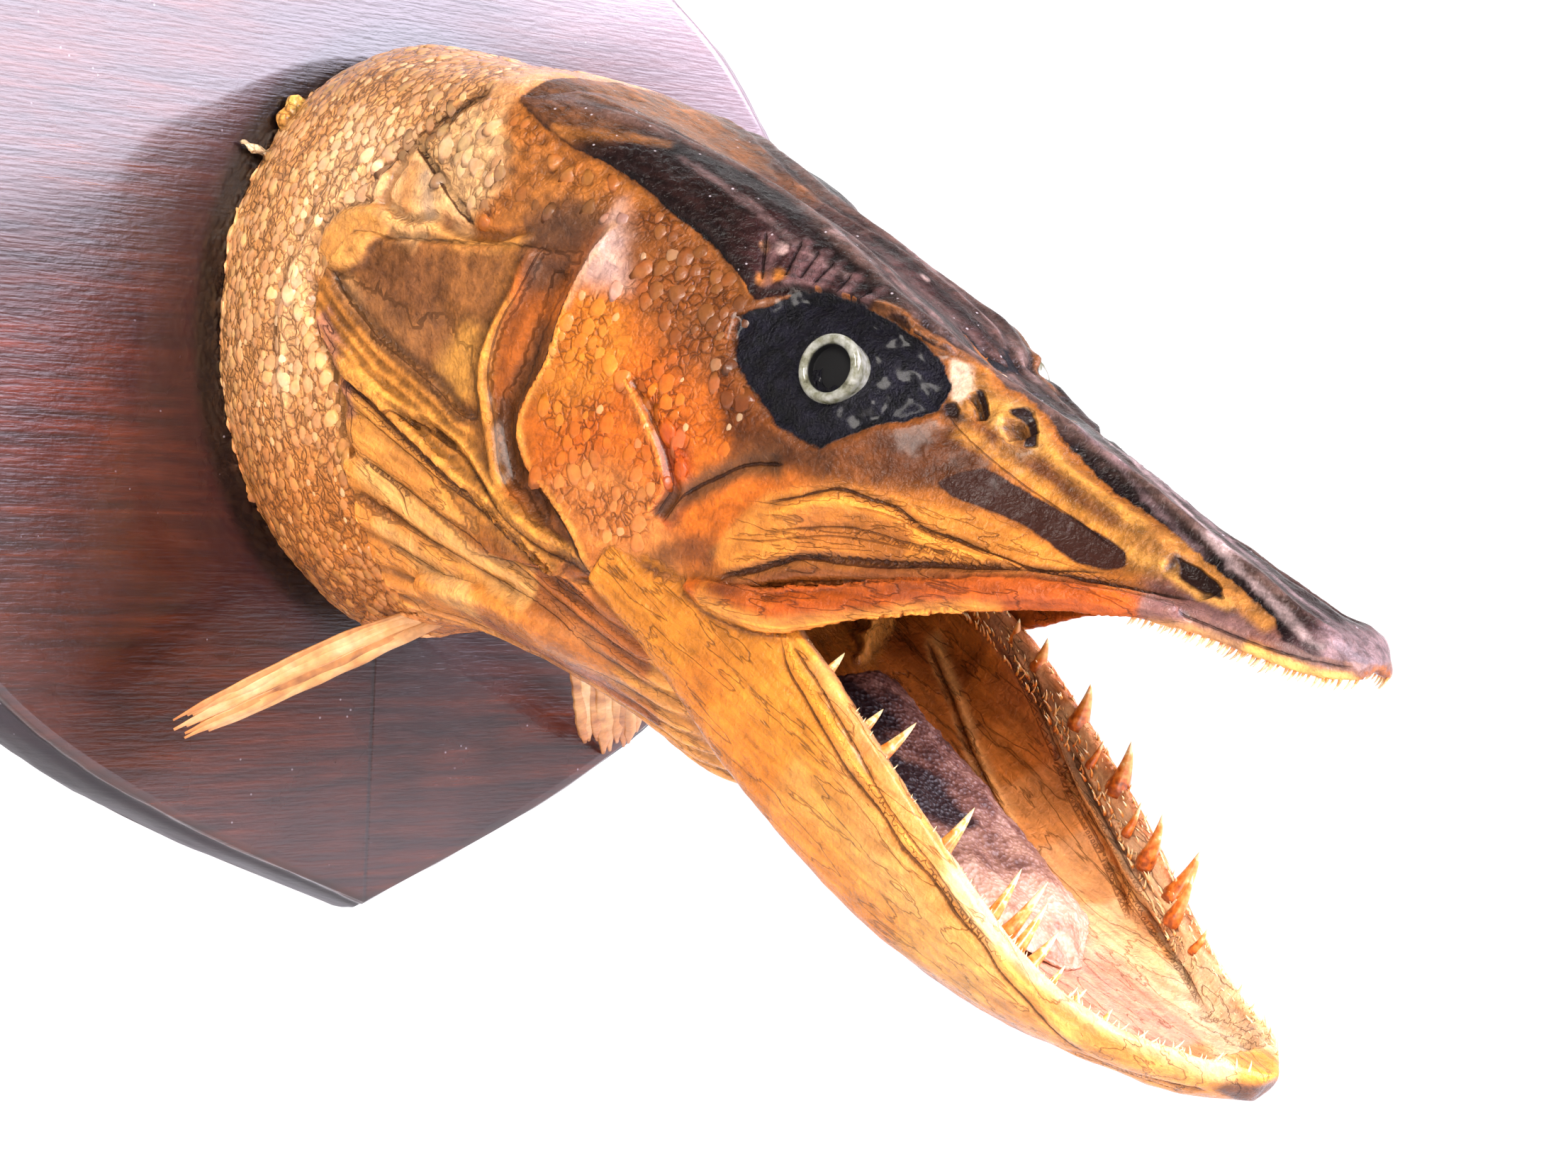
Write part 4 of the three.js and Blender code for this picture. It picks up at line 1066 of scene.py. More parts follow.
STROKES = [
    # Edges of the plates.
    Stroke("#d9964a", 0.8, 0.5, 1.2, CHEEK_EDGE[3:]),
    Stroke("#b48a6a", 0.6, 0.4, 1.0, CHEEK_EDGE[:4]),
    Stroke("#5a3820", 0.8, 1.6, 3.0, shifted(CHEEK_EDGE[3:], -4.5, 1)),
    Stroke("#c78a44", 0.7, 0.7, 1.6, COVER_RIDGE[1:]),
    Stroke("#6b4528", 0.6, 1.0, 2.4, shifted(COVER_RIDGE, -3)),
    Stroke("#b08248", 0.5, 0.7, 1.8, COVER_TOP, ragged=1.6),
    Stroke("#5a3b26", 0.7, 0.9, 2.0, COVER_SUNK),
    Stroke("#bb8644", 0.5, 0.6, 1.6, UNDER_COVER),
    Stroke("#7a4e26", 0.5, 0.6, 2.0, shifted(UNDER_COVER, 0, 0, -2.4)),
    Stroke("#c58b4a", 0.5, 0.6, 1.6, COVER_HEM),
    Stroke("#7a4a24", 0.5, 0.6, 1.6, shifted(COVER_HEM, -1, 0, -2.0)),
    Stroke("#c98a4c", 0.9, 1.0, 2.0, GILL_EDGE),
    Stroke("#7d5762", 0.6, 0.8, 2.0, shifted(GILL_EDGE[1:4], 1.5)),
    # The torn skin of the nape, with painted shadow along the edge of the skin that overhangs it.
    Stroke("#d9b184", 0.8, 5.0, 6.0, [(-84, 38, 76), (-76, 40, 70), (-68, 41, 68)]),
    Stroke("#b87a44", 0.6, 1.0, 3.0, [(-80, 38, 79), (-80, 40, 72), (-78, 41, 67)]),
    Stroke("#a8968c", 0.6, 0.7, 2.0, [(-76, 39, 77), (-73, 40, 71), (-71, 41, 66)]),
    Stroke("#b87a44", 0.5, 0.7, 2.4, [(-86, 38, 76), (-87, 40, 71), (-86, 41, 68)]),
    # Painted shadow under the overhanging edge of the torn skin.
    Stroke("#3a2416", 0.8, 0.3, 0.7, TORN_EDGE),
    Stroke("#6b4a30", 0.6, 1.4, 3.0, NAPE_FOLD),
    Stroke("#c9a988", 0.5, 4.0, 7.0, [(-72, 35, 88), (-62, 37, 78), (-56, 39, 70)]),
    Stroke("#5f4130", 0.7, 3.0, 5.0, [(-30, 36, 70), (-38, 38, 68), (-44, 39, 66)]),
    # The cheek.
    Stroke("#d98a4c", 0.5, 0.6, 1.4, CHEEK_FOLD),
    Stroke("#a8401a", 0.7, 2.2, 3.0, shifted(CHEEK_FOLD[2:], 4, -0.5)),
    Stroke("#5e4128", 0.85, 1.8, 3.0, CHEEK_CREASE),
    Stroke("#4a2f24", 0.7, 1.4, 3.0, [(4, 43, 2), (8, 42, 6), (12, 40, 9), (20, 40, 8)]),
    Stroke("#4a2d1c", 0.7, 1.6, 3.0, [(18, 38, 30), (30, 37, 31), (42, 34, 30)]),
    # The lips.
    Stroke("#6b4426", 0.5, 0.4, 1.2, LIP_FOLD),
    Stroke("#9a5c2c", 0.7, 2.2, 4.0, [(36, 37, 16), (48, 34, 17), (60, 31, 16)]),
    Stroke("#4a2b22", 0.6, 0.5, 1.4, MAXILLA_SEAM),
    Stroke("#5a3222", 0.7, 1.0, 2.4, shifted(MAXILLA_SEAM[:9], 0, 1, -2.6), ragged=0.4),
    Stroke("#a8501c", 0.8, 1.6, 4.0,
           [(34, 40, 1), (52, 38, 4), (68, 34, 7), (84, 30, 9.5), (98, 26, 11.5), (108, 23, 12)]),
    Stroke("#d99646", 0.8, 1.1, 2.4,
           [(16, 42, 0), (26, 42, -2), (36, 41, -3), (52, 38, 0.5), (68, 34, 5), (84, 30, 8)]),
    Stroke("#70575c", 0.8, 1.4, 3.0, [(106, 23, 13), (112, 21, 12.5), (118, 18, 12), (126, 16, 10)]),
    Stroke("#2c1b1e", 0.9, 1.4, 2.4, SNOUT_PIT),
    Stroke("#a8743c", 0.9, 1.0, 1.6,
           [(101, 12, 26), (109, 11, 23), (117, 12, 18), (125, 13, 14), (129, 13, 12)]),
    Stroke("#bd9156", 0.9, 4.0, 1.6, [(67.5, 14, 42), (71.5, 15, 38.5)], ragged=0.5),
    Stroke("#6a4526", 0.95, 2.2, 1.0, [(67.8, 14, 41.8), (70.8, 15, 38.8)], ragged=0.2),
    Stroke("#c08c44", 0.7, 0.8, 2.0,
           [(59, 18, 46), (64, 17, 45), (69, 15, 44.5), (74, 14, 40), (80, 14, 35), (90, 13, 29.5),
            (100, 12, 26.5)]),
    Stroke("#c98c40", 0.75, 0.7, 1.8,
           [(60, 24, 41), (68, 22, 37.5), (78, 20, 32.5), (88, 18, 27), (98, 15, 22.5)]),
    Stroke("#4e2a1c", 0.7, 1.0, 2.4, [(66, 22, 41), (76, 18, 36), (86, 16, 30.5), (95, 15, 26)], ragged=1.2),
    Stroke("#c4914c", 0.75, 0.6, 1.4,
           [(92, 17, 23), (99, 16, 21), (106, 15, 20), (114, 15, 17), (121, 14, 14.5)]),
    Stroke("#2b1a16", 0.95, 0.6, 1.0, NOSTRIL_SLIT, ragged=0.2),
    Stroke("#2b1a16", 0.9, 0.8, 1.0, [(56, 21, 42), (59, 20, 41)], ragged=0.2),
    # The lower jaw.
    Stroke("#8a5022", 0.3, 0.3, 0.9, JAW_CREASE, "jaw"),
    Stroke("#9a6028", 0.4, 0.4, 1.0, JAW_CREASE_UPPER, "jaw"),
    Stroke("#7a4a28", 0.5, 0.4, 1.0, CHIN_CREASE, "jaw"),
    Stroke("#e9b66a", 0.5, 3.0, 8.0, [(50, 39, -6), (80, 37, -10), (110, 30, -11)], "jaw"),
    Stroke("#d07a30", 0.5, 3.0, 8.0, [(20, 41, -2), (60, 38, -13), (90, 33, -15)], "jaw"),
    Stroke("#dca06a", 0.6, 1.0, 3.0, [(40, 37, 17), (70, 37, 10), (100, 33, 2), (125, 24, 0)], "jaw",
           faces=UPWARD),
    Stroke("#f0cfa4", 0.8, 1.4, 2.0, [(88, 34, 5), (104, 31, 1), (124, 24, 0), (138, 16, 2), (148, 6, 4)],
           "jaw", faces=UPWARD),
    # Inside the lower jaw: painted shade at the back, under the upper jaw, and painted light growing paler
    # towards the front.
    Stroke("#5a2410", 0.9, 9.0, 12.0, [(-4, 30, 6), (16, 28, 2), (34, 30, 4)], "jaw", faces=INWARD),
    Stroke("#e08a40", 0.9, 6.0, 8.0, [(44, 33, 0), (62, 31, -6), (84, 27, -9)], "jaw", faces=INWARD),
    Stroke("#eaa468", 0.6, 7.0, 12.0, [(56, 30, -4), (76, 27, -8), (98, 20, -8)], "jaw", faces=INWARD,
           ragged=2.0),
    Stroke("#f2b684", 0.7, 8.0, 12.0, [(72, 28, -6), (90, 23, -8), (112, 15, -7)], "jaw", faces=INWARD,
           ragged=2.0),
    Stroke("#f6c8a0", 0.8, 8.0, 12.0, [(88, 24, -8), (104, 18, -8), (124, 12, -6)], "jaw", faces=INWARD,
           ragged=2.0),
    Stroke("#e2a294", 0.9, 13.0, 9.0, [(88, 0, -12), (110, 0, -10), (134, 0, -5)], "jaw", faces=UPWARD),
    Stroke("#a8643c", 0.5, 3.0, 5.0, [(36, 33, 8), (52, 34, 5), (70, 33, 1)], "jaw", faces=INWARD),
    Stroke("#7a2f20", 0.8, 0.8, 1.4, FLOOR_MARK, "jaw", faces=UPWARD),
    Stroke("#d98a74", 0.6, 1.6, 3.0, [(108, 9, -10), (116, 10, -9)], "jaw", faces=UPWARD),
]
STROKES += [Stroke("#a85a26", 0.5, 0.4, 1.2, line, "jaw", faces=INWARD) for line in INNER_CREASES]
STROKES += [
    Stroke("#f0b878", 0.6, 0.7, 1.6, shifted(line, 0, 0, 2.0), "jaw", faces=INWARD) for line in INNER_CREASES
]
STROKES += [
    Stroke("#b08468", 0.85, 3.0, 2.0,
           [(26, 35, 13), (42, 35, 12), (60, 34, 7.5), (80, 32, 2.5), (100, 28, -3)], "jaw",
           faces=INWARD, ragged=1.6),
    Stroke("#dcb690", 0.8, 3.4, 2.4, [(54, 35, 10), (64, 34, 7), (78, 33, 3)], "jaw", faces=INWARD,
           ragged=1.6),
    Stroke("#e4c49c", 0.85, 3.6, 2.4, [(70, 33, 5), (86, 31, 1), (104, 27, -2), (122, 20, -3)], "jaw",
           faces=UPWARD, ragged=2.0, side=-1),
    Stroke("#ecccae", 0.9, 4.0, 2.4,
           [(76, 33, 3.5), (100, 28, -1), (120, 20, -3), (136, 10, -1), (144, 4, 1)], "jaw",
           faces=INWARD, ragged=1.6),
    Stroke("#5a3226", 0.6, 0.6, 1.0, [(30, 34, 11), (52, 34, 7), (74, 32, 1), (96, 28, -4)], "jaw",
           faces=INWARD, ragged=1.6),
    Stroke("#b5622a", 0.8, 0.8, 1.2,
           [(30, 36, 17), (52, 36, 14), (76, 35, 8), (100, 31, 1.5), (120, 25, 0.5)], "jaw",
           faces=UPWARD, side=-1),
    Stroke("#e9b270", 0.8, 1.2, 3.0, [(-84, 42, 14), (-62, 41, 4), (-36, 40, -6), (-10, 38, -16)]),
    Stroke("#edbb7c", 0.6, 1.2, 3.0, [(-80, 39, 2), (-58, 37, -8), (-32, 34, -18), (-6, 31, -28)]),
    Stroke("#91481a", 0.8, 5.0, 9.0, [(-30, 40, -4), (-14, 39, -10), (2, 37, -16)]),
    Stroke("#8c4418", 0.8, 5.0, 9.0, [(-50, 34, -16), (-28, 30, -24), (-4, 26, -34)]),
]
STROKES += [Stroke("#7a6065", 0.7, 0.6, 1.6, shifted(line, 1.6), faces=ROOF) for line in BROW_WRINKLES]


# The skull's bare bone is a second coat of paint with a sharp edge.
BONE_PATCHES = [
    Patch("#1f1312", 0.8, 6, [(-50, 92), (-30, 84), (-8, 76), (4, 68), (10, 64), (0, 80), (-20, 92),
                              (-44, 100)], faces=CREST),
    Patch("#332022", 0.85, 6, [(2, 74), (10, 60), (22, 62), (34, 61), (44, 57), (40, 64), (24, 72), (8, 80)],
          faces=CREST),
    Patch("#64432a", 0.85, 10, [(-62, 92), (-46, 88), (-34, 85), (-30, 92), (-38, 100), (-58, 110)],
          faces=CREST),
    Patch("#544249", 0.75, 5, [(112, 21), (124, 17), (134, 14), (150, 10), (150, 0), (136, 4), (120, 10)],
          faces=CREST),
    Patch("#83737b", 0.8, 3, [(136, 14), (143, 12), (148, 8), (144, 5), (138, 7)], faces=CREST),
]
BONE_STROKES = [
    Stroke("#5d4d4a", 0.8, 1.4, 2.6, ROOF_RIDGE, faces=ROOF),
    Stroke("#5a4744", 0.6, 1.4, 3.0, shifted(ROOF_RIDGE[:9], 0, -6, 1.5), faces=ROOF),
    Stroke("#140c0d", 0.8, 1.6, 3.0, shifted(ROOF_RIDGE[2:9], 0, 4.5, -2), faces=ROOF),
    Stroke("#140c0e", 0.9, 2.4, 2.4, SNOUT_STREAK, faces=ROOF),
    # Painted highlights: thin pale lines along the crest of the snout.
    Stroke("#a89ca4", 0.9, 0.45, 0.8,
           [(72, -2, 43), (90, 2, 35), (103, 5, 29), (115, 8, 22), (129, 11, 15), (137, 11, 9)],
           faces=ROOF, side=1),
    Stroke("#857880", 0.8, 0.4, 0.8, [(86, 1, 37), (99, 1, 31), (115, 3, 24), (128, 5, 18), (139, 4, 11)],
           faces=ROOF, side=1),
    Stroke("#6f6068", 0.8, 0.35, 0.8, [(70, 5, 44), (86, 6, 36), (99, 9, 29), (112, 11, 22)], faces=ROOF,
           side=1),
    # Thin pale lines along the roof, between dark streaks: the pale ones are painted highlights.
    Stroke("#6f5f60", 0.8, 0.5, 1.2, [(22, 1, 69), (35, 1, 64), (46, 1, 57), (60, 1, 49)], faces=ROOF),
    Stroke("#150d0d", 0.8, 0.7, 1.4, [(10, 6, 75), (30, 6, 66), (46, 6, 58), (60, 4, 49)], faces=ROOF),
    Stroke("#7c6c6e", 0.8, 0.45, 1.0, [(14, 12, 73), (34, 12, 64), (46, 11, 57), (58, 8, 49)], faces=ROOF),
    Stroke("#150d0d", 0.7, 0.6, 1.4, [(-10, 12, 83), (14, 16, 72), (34, 17, 63), (48, 14, 55)], faces=ROOF),
    Stroke("#6a5a5c", 0.7, 0.45, 1.2, [(-20, 22, 86), (0, 21, 78), (14, 20, 70), (30, 19, 64)], faces=ROOF),
    Stroke("#8a5c2c", 0.7, 0.7, 2.0, [(-46, 33, 87), (-38, 31, 87), (-30, 26, 88), (-22, 20, 87)],
           faces=ROOF),
    Stroke("#6e4a2c", 0.7, 1.2, 3.0, [(-57, 24, 97), (-46, 20, 95), (-36, 12, 92), (-20, 6, 87)], faces=ROOF),
    Stroke("#160e0e", 0.8, 1.0, 2.4, ROOF_EDGE[2:], faces=ROOF),
    Stroke("#8e5f34", 0.9, 13.0, 8.0, [(-64, 0, 100), (-46, 0, 96)], faces=ROOF, ragged=3.0),
    Stroke("#86592f", 0.85, 8.0, 6.0, [(-46, 0, 96), (-28, 0, 90)], faces=ROOF, ragged=3.0),
    Stroke("#7a5230", 0.8, 4.0, 5.0, [(-28, 0, 90), (-8, 0, 82)], faces=ROOF, ragged=2.0),
    Stroke("#8a5c34", 0.7, 0.5, 1.2, BROW_LINE, faces=ROOF),
    Stroke("#4e3b3c", 0.6, 2.0, 4.0, [(-20, 0, 86), (10, 0, 73), (40, 0, 59), (56, 0, 51)], faces=ROOF),
    Stroke("#a88a5c", 0.7, 1.2, 2.4, [(108, -4, 27), (120, -5, 21), (130, -6, 16)], faces=ROOF),
    Stroke("#c07f38", 0.95, 1.4, 1.2, [(13, 27, 63), (15, 26, 64)], faces=ROOF),
    Stroke("#b98d68", 0.8, 0.6, 0.8, [(8, 23, 69), (9, 23, 68)], faces=ROOF),
    Stroke("#b5a2a2", 0.8, 0.6, 0.8, [(11, 22, 69), (12, 22, 68)], faces=ROOF),
    Stroke("#a89a9c", 0.7, 0.5, 0.8, [(27, 5, 68), (28, 5, 67)], faces=ROOF),
]
BONE_STROKES += [Stroke("#6a5358", 0.75, 0.5, 1.6, shifted(line, 1.6), faces=ROOF) for line in BROW_WRINKLES]

# Outlines with a sharp edge, in side view.
ROOF_OUTLINE = [(-57, 93), (-47, 88), (-38, 84), (-30, 82), (-20, 78), (-13, 74), (-3, 69), (7, 63), (13, 58),
                (20, 60.5), (30, 60), (40, 57.5), (47, 54.5), (53, 52), (57, 51), (61, 48.5), (66, 46.2),
                (71, 43.5), (75, 40), (83, 34.5), (89, 31), (97, 28), (104, 25), (112, 21), (119, 18),
                (127, 14), (131, 10.5), (136, 9), (150, 7), (152, 20), (120, 44), (60, 80), (0, 104),
                (-50, 118), (-60, 104)]
FAR_BONE = [(28, 59), (44, 50), (56, 43), (66, 39), (76, 35), (88, 28), (100, 25), (108, 30), (60, 80),
            (20, 90)]
BAND_OUTLINE = [(60, 28.5), (64, 31.5), (67, 32.5), (76, 29), (85, 26), (92, 23.4), (97.5, 21), (98.5, 18.6),
                (96, 17.4), (90, 18), (83, 21), (77, 23.4), (70, 25), (64, 26.4)]
PIT_OUTLINES = [
    [(65.8, 43.4), (67.2, 44.4), (69, 43.6), (71, 41.4), (72.8, 39.2), (73.6, 37.4), (72.4, 37.0),
     (71.2, 38.4), (69.8, 40.4), (68.2, 42.0), (66.8, 42.6)],
    [(59, 46.6), (60.4, 46.4), (62.2, 44), (63.4, 42), (62.6, 41), (60.8, 43), (59.6, 44.6)],
    [(55, 43.2), (57, 43.6), (58.4, 42.4), (58.4, 40.8), (57, 41)],
    [(106, 21.4), (110, 20.2), (115, 18.2), (118, 15.6), (113, 16.2), (108, 18)],
]

# Fine lines: each family is drawn sharply by the material. The dark lines are painted shade along the creases
# and grooves of the relief.
CREASE_SHADE_LINES = [
    FineLine(0.75, 0.16, JAW_CREASE, "jaw"),
    FineLine(0.6, 0.14, JAW_CREASE_UPPER, "jaw"),
    FineLine(0.7, 0.14, CHIN_CREASE, "jaw"),
    FineLine(0.5, 0.12, shifted(CHIN_CREASE, -3, 1, -3), "jaw", faces=OUT_AND_DOWN),
    FineLine(0.85, 0.19, LIP_FOLD),
    FineLine(0.5, 0.14, LIP_WRINKLE),
    FineLine(0.85, 0.26, MAXILLA_SEAM),
    FineLine(1.0, 0.26, TORN_EDGE),
    FineLine(0.7, 0.22, NAPE_FOLD),
    FineLine(0.7, 0.18, shifted(COVER_HEM, -1, 0, -2.5)),
    FineLine(0.7, 0.19, shifted(UNDER_COVER, 0, 0, -2.4)),
    FineLine(0.5, 0.17, COVER_SUNK),
    FineLine(0.8, 0.22, shifted(CHEEK_EDGE[2:], -1.6, 0.4)),
    FineLine(0.6, 0.17, shifted(COVER_RIDGE, 1.8)),
    FineLine(0.8, 0.22, CHEEK_CREASE),
    FineLine(0.5, 0.14, shifted(CHEEK_FOLD, 2.2)),
    FineLine(0.7, 0.17, shifted(GILL_EDGE[1:7], 1.6)),
    FineLine(0.9, 0.19, FLOOR_MARK, "jaw", faces=UPWARD),
    FineLine(0.6, 0.17, GUM_LINE),
    FineLine(0.6, 0.14, [(56, 21, 42), (60, 20, 38), (66, 20, 35), (74, 19, 31), (84, 18, 27), (95, 17, 22)]),
    FineLine(0.5, 0.14, [(20, 38, 12), (30, 38, 13), (44, 35, 16), (58, 31.5, 16), (74, 29, 15)]),
    FineLine(0.5, 0.14, [(46, 33, 22), (56, 31, 21), (66, 29, 18), (78, 27, 16)]),
]
CREASE_SHADE_LINES += [FineLine(0.8, 0.19, line) for line in fold_valleys()]
CREASE_SHADE_LINES += [FineLine(0.65, 0.13, line, "jaw", faces=INWARD) for line in INNER_CREASES]
CREASE_SHADE_LINES += [FineLine(0.5, 0.11, shifted(line, 0, 0, -1.6), "jaw", faces=INWARD)
               for line in INNER_CREASES[:2]]
CREASE_SHADE_LINES += [FineLine(0.7, 0.17, line, faces=ROOF) for line in BROW_WRINKLES]
# Pale edges of the plates, and painted highlights along the crests of the folds.
PALE_EDGES_AND_CREST_HIGHLIGHTS = [
    FineLine(0.45, 0.34, CHEEK_EDGE[3:]),
    FineLine(0.42, 0.40, COVER_RIDGE[1:]),
    FineLine(0.2, 0.30, COVER_TOP),
    FineLine(0.40, 0.34, UNDER_COVER),
    FineLine(0.36, 0.32, COVER_HEM),
    FineLine(0.36, 0.34, GILL_EDGE),
    FineLine(0.42, 0.36, shifted(LIP_FOLD, 0, 0, -2.2)),
    FineLine(0.42, 0.36, shifted(JAW_CREASE, 0, 0, 2.0), "jaw"),
    FineLine(0.35, 0.40, JAW_PALE_EDGE, "jaw", faces=OUT_AND_DOWN),
    FineLine(0.42, 0.32, CHEEK_FOLD),
    FineLine(0.56, 0.36, [(16, 42, 0), (26, 42, -2), (36, 41, -3), (52, 38, 0.5), (68, 34, 5), (84, 30, 8)]),
    FineLine(0.35, 0.28, [(57, 20, 44), (66, 19, 40), (76, 17, 36), (86, 15, 32), (98, 14, 26)]),
]


def neighbours(mesh):
    """The two ends of every edge, and how many edges each point has."""
    ends = np.empty(len(mesh.edges) * 2, np.int32)
    mesh.edges.foreach_get("vertices", ends)
    ends = ends.reshape(-1, 2)
    return ends, np.maximum(np.bincount(ends.ravel(), minlength=len(mesh.vertices)), 1)


def averaged(values, ends, counts, rounds):
    """Values spread over the surface, a little more with every round."""
    values = np.array(values, float)
    for _ in range(rounds):
        for column in range(values.shape[1]):
            total = np.bincount(ends[:, 0], values[ends[:, 1], column], len(counts))
            total += np.bincount(ends[:, 1], values[ends[:, 0], column], len(counts))
            values[:, column] = (values[:, column] + total / counts) / 2
    return values


def blend(colours, found, colour, strength):
    """Mix a colour into the rows of the points found, by its strength at each."""
    amount = np.asarray(strength)[:, None]
    colours[found] = colours[found] * (1 - amount) + np.array(linear(colour)[:3]) * amount


def paint(skin, labels, colours, patches, strokes):
    """Adds soft patches and strokes to the colours of the skin's points."""
    jaw_points = np.isin(labels, (JAW_OUTER, JAW_INNER))
    for patch in patches:
        found, amount = skin.inside(patch, patch.soft)
        right_part = jaw_points[found] == (patch.frame == "jaw")
        blend(colours, found, patch.colour, amount * right_part * patch.strength)
    for stroke in strokes:
        reach = stroke.width + stroke.soft
        found, off, _, share, facing = skin.near(
            stroke.line, reach + 1, stroke.frame, stroke.faces, stroke.side)
        off = off + stroke.ragged * skin.ragged[found]
        tips = ease(share, 0, 0.06) * ease(share, 1, 0.94) if len(stroke.line) > 2 else 1.0
        right_part = jaw_points[found] == (stroke.frame == "jaw")
        strength = ease(off, reach, stroke.width * 0.6) * tips * facing * stroke.strength
        blend(colours, found, stroke.colour, strength * right_part)
    return colours


# ---------------------------------------------------------------- the skin
VOXEL = 0.75
SKIN_TRIANGLES = 196000
# The share of the triangles that go from the less seen parts first.
LESS_SEEN_CUT = 0.72


def banded(shell, half_count, split, outer, inner):
    """A loft with a label for each face: one part up to a point of its half ring, another beyond it."""
    whole = 2 * half_count - 2
    column = np.arange(len(shell[1])) % whole
    place = np.minimum(column, whole - 1 - column)
    return shell, np.where(place < split, outer, inner)


def plain(shell, label):
    """A shell and one part number for all its faces."""
    return shell, np.full(len(shell[1]), label)


# Lumps of torn skin at the edge of the neck, against the board, in the row frame: centre and radii.
TUFTS = [((-31.0, -18.2, 50.5), (2.3, 2.2, 2.5)), ((-33.8, -18.0, 47.0), (1.8, 2.0, 2.4)),
         ((-40.6, -18.0, 39.5), (2.4, 1.8, 1.5)), ((-43.4, -17.6, 40.8), (1.7, 1.2, 0.8))]


def lump(centre, radii):
    """A closed egg shape in the fish frame."""
    rise = np.linspace(0, np.pi, 14)
    angle = np.linspace(0, 2 * np.pi, 16, endpoint=False)
    rings = [
        np.column_stack([np.cos(angle) * math.sin(t), np.sin(angle) * math.sin(t), np.full(16, math.cos(t))])
        for t in rise[1:-1]
    ]
    return loft([to_fish(ring_points * radii + centre) for ring_points in rings])


def labelled_shells():
    """Every closed shell of the skin, with its part's label for each face."""
    parts = [
        banded(head_shell(), UPPER_STEPS + PALATE_STEPS + 2, UPPER_STEPS, HEAD, PALATE),
        plain(neck_shell(), NECK),
        plain(throat_shell(), THROAT_PART),
        banded(jaw_shell(), JAW_OUTER_STEPS + JAW_INNER_STEPS + 1, JAW_OUTER_STEPS, JAW_OUTER, JAW_INNER),
        plain(jaw_tip_shell(), JAW_OUTER),
    ]
    for centre, radii in TUFTS:
        parts.append(plain(lump(centre, radii), NECK))
    for side in (1, -1):
        parts.append(plain(cover_shell(side), COVER))
        parts.append(plain(membrane_shell(side), MEMBRANE))
        parts.append(plain(maxilla_shell(side), MAXILLA))
    return parts


def thin_out(thing, wanted):
    """Brings a mesh down to the wanted count of triangles, with the finest ones on the right of the head."""
    mesh = thing.data
    fish = to_fish(read_points(mesh))
    normals = read_normals(mesh) @ AXES.T
    hidden = np.where((fish[:, 1] < -6) & (normals[:, 1] < 0.1), 1.0, 0.0)
    hidden = np.where((fish[:, 0] < -40) & (fish[:, 1] < 4), 1.0, hidden)
    group = thing.vertex_groups.new(name="less_seen")
    group.add(np.nonzero(hidden > 0)[0].tolist(), 1.0, "REPLACE")
    share = hidden.mean()
    first = thing.modifiers.new("less_seen", "DECIMATE")
    first.vertex_group = group.name
    first.ratio = max(1 - LESS_SEEN_CUT * share, 0.05)
    faces = len(evaluated(thing).polygons)
    second = thing.modifiers.new("all_over", "DECIMATE")
    second.ratio = min(wanted / faces, 1.0)
    evaluated(thing)
    thing.vertex_groups.clear()


def skin_labels(world, shells, labels):
    """The part each point of the skin belongs to, from the nearest face of the shells."""
    tree = BVHTree.FromPolygons([tuple(p) for p in shells[0].tolist()], shells[1])
    nearest = [tree.find_nearest(p)[2] for p in world.tolist()]
    return labels[np.array(nearest)]


def soft_mask(skin, outline, soft, frame="fish", faces=(0.0, 1.0, 0.3)):
    """A weight from 0 to 1 inside an outline in side view."""
    mask = np.zeros(len(skin.world))
    found, amount = skin.inside(Patch("#ffffff", 1, soft, outline, frame, faces), soft)
    mask[found] = amount
    return mask


CHEEK_SCALES = [(-22, 71), (-13, 74), (-3, 68), (6, 61), (13, 55), (14, 47), (18, 40), (24, 36), (18, 30),
                (10, 30), (6, 20), (2, 8), (-8, 8), (-18, 14), (-27, 20), (-29, 34), (-26, 46), (-23, 60)]
LOBE = [(-101, 57), (-101, 62), (-97, 67), (-89, 69), (-83, 67), (-81.5, 62.5), (-84, 60), (-86, 56),
        (-90, 54), (-95, 53.5)]
COVER_FACE = [(-99, 54), (-84, 65), (-62, 63), (-44, 63), (-30, 40), (-28, 16), (-40, 20), (-60, 32),
              (-80, 42), (-97, 46)]
NAPE_EDGE = [(-200, 140), (-66, 106), (-66, 96), (-83, 84), (-82, 81), (-70, 76), (-58, 67), (-50, 64),
             (-62, 66), (-84, 68), (-99, 65), (-104, 56), (-100, 46), (-94, 36), (-89, 22), (-85, 10),
             (-70, 4), (-70, -8), (-78, -22), (-90, -60), (-200, -90)]
NAPE_SCALES = [(-80, 84), (-66, 95), (-56, 92), (-46, 87), (-36, 83), (-26, 79), (-24, 70), (-36, 70),
               (-50, 70), (-58, 66), (-72, 74)]
CHEEK_TIP = [(-23, 73), (-28, 64), (-28, 55), (-18, 56), (-12, 60), (-17, 68)]
RECESS = [(-82, 84), (-73, 78), (-57, 66), (-70, 66), (-86, 67), (-92, 71), (-85, 80)]


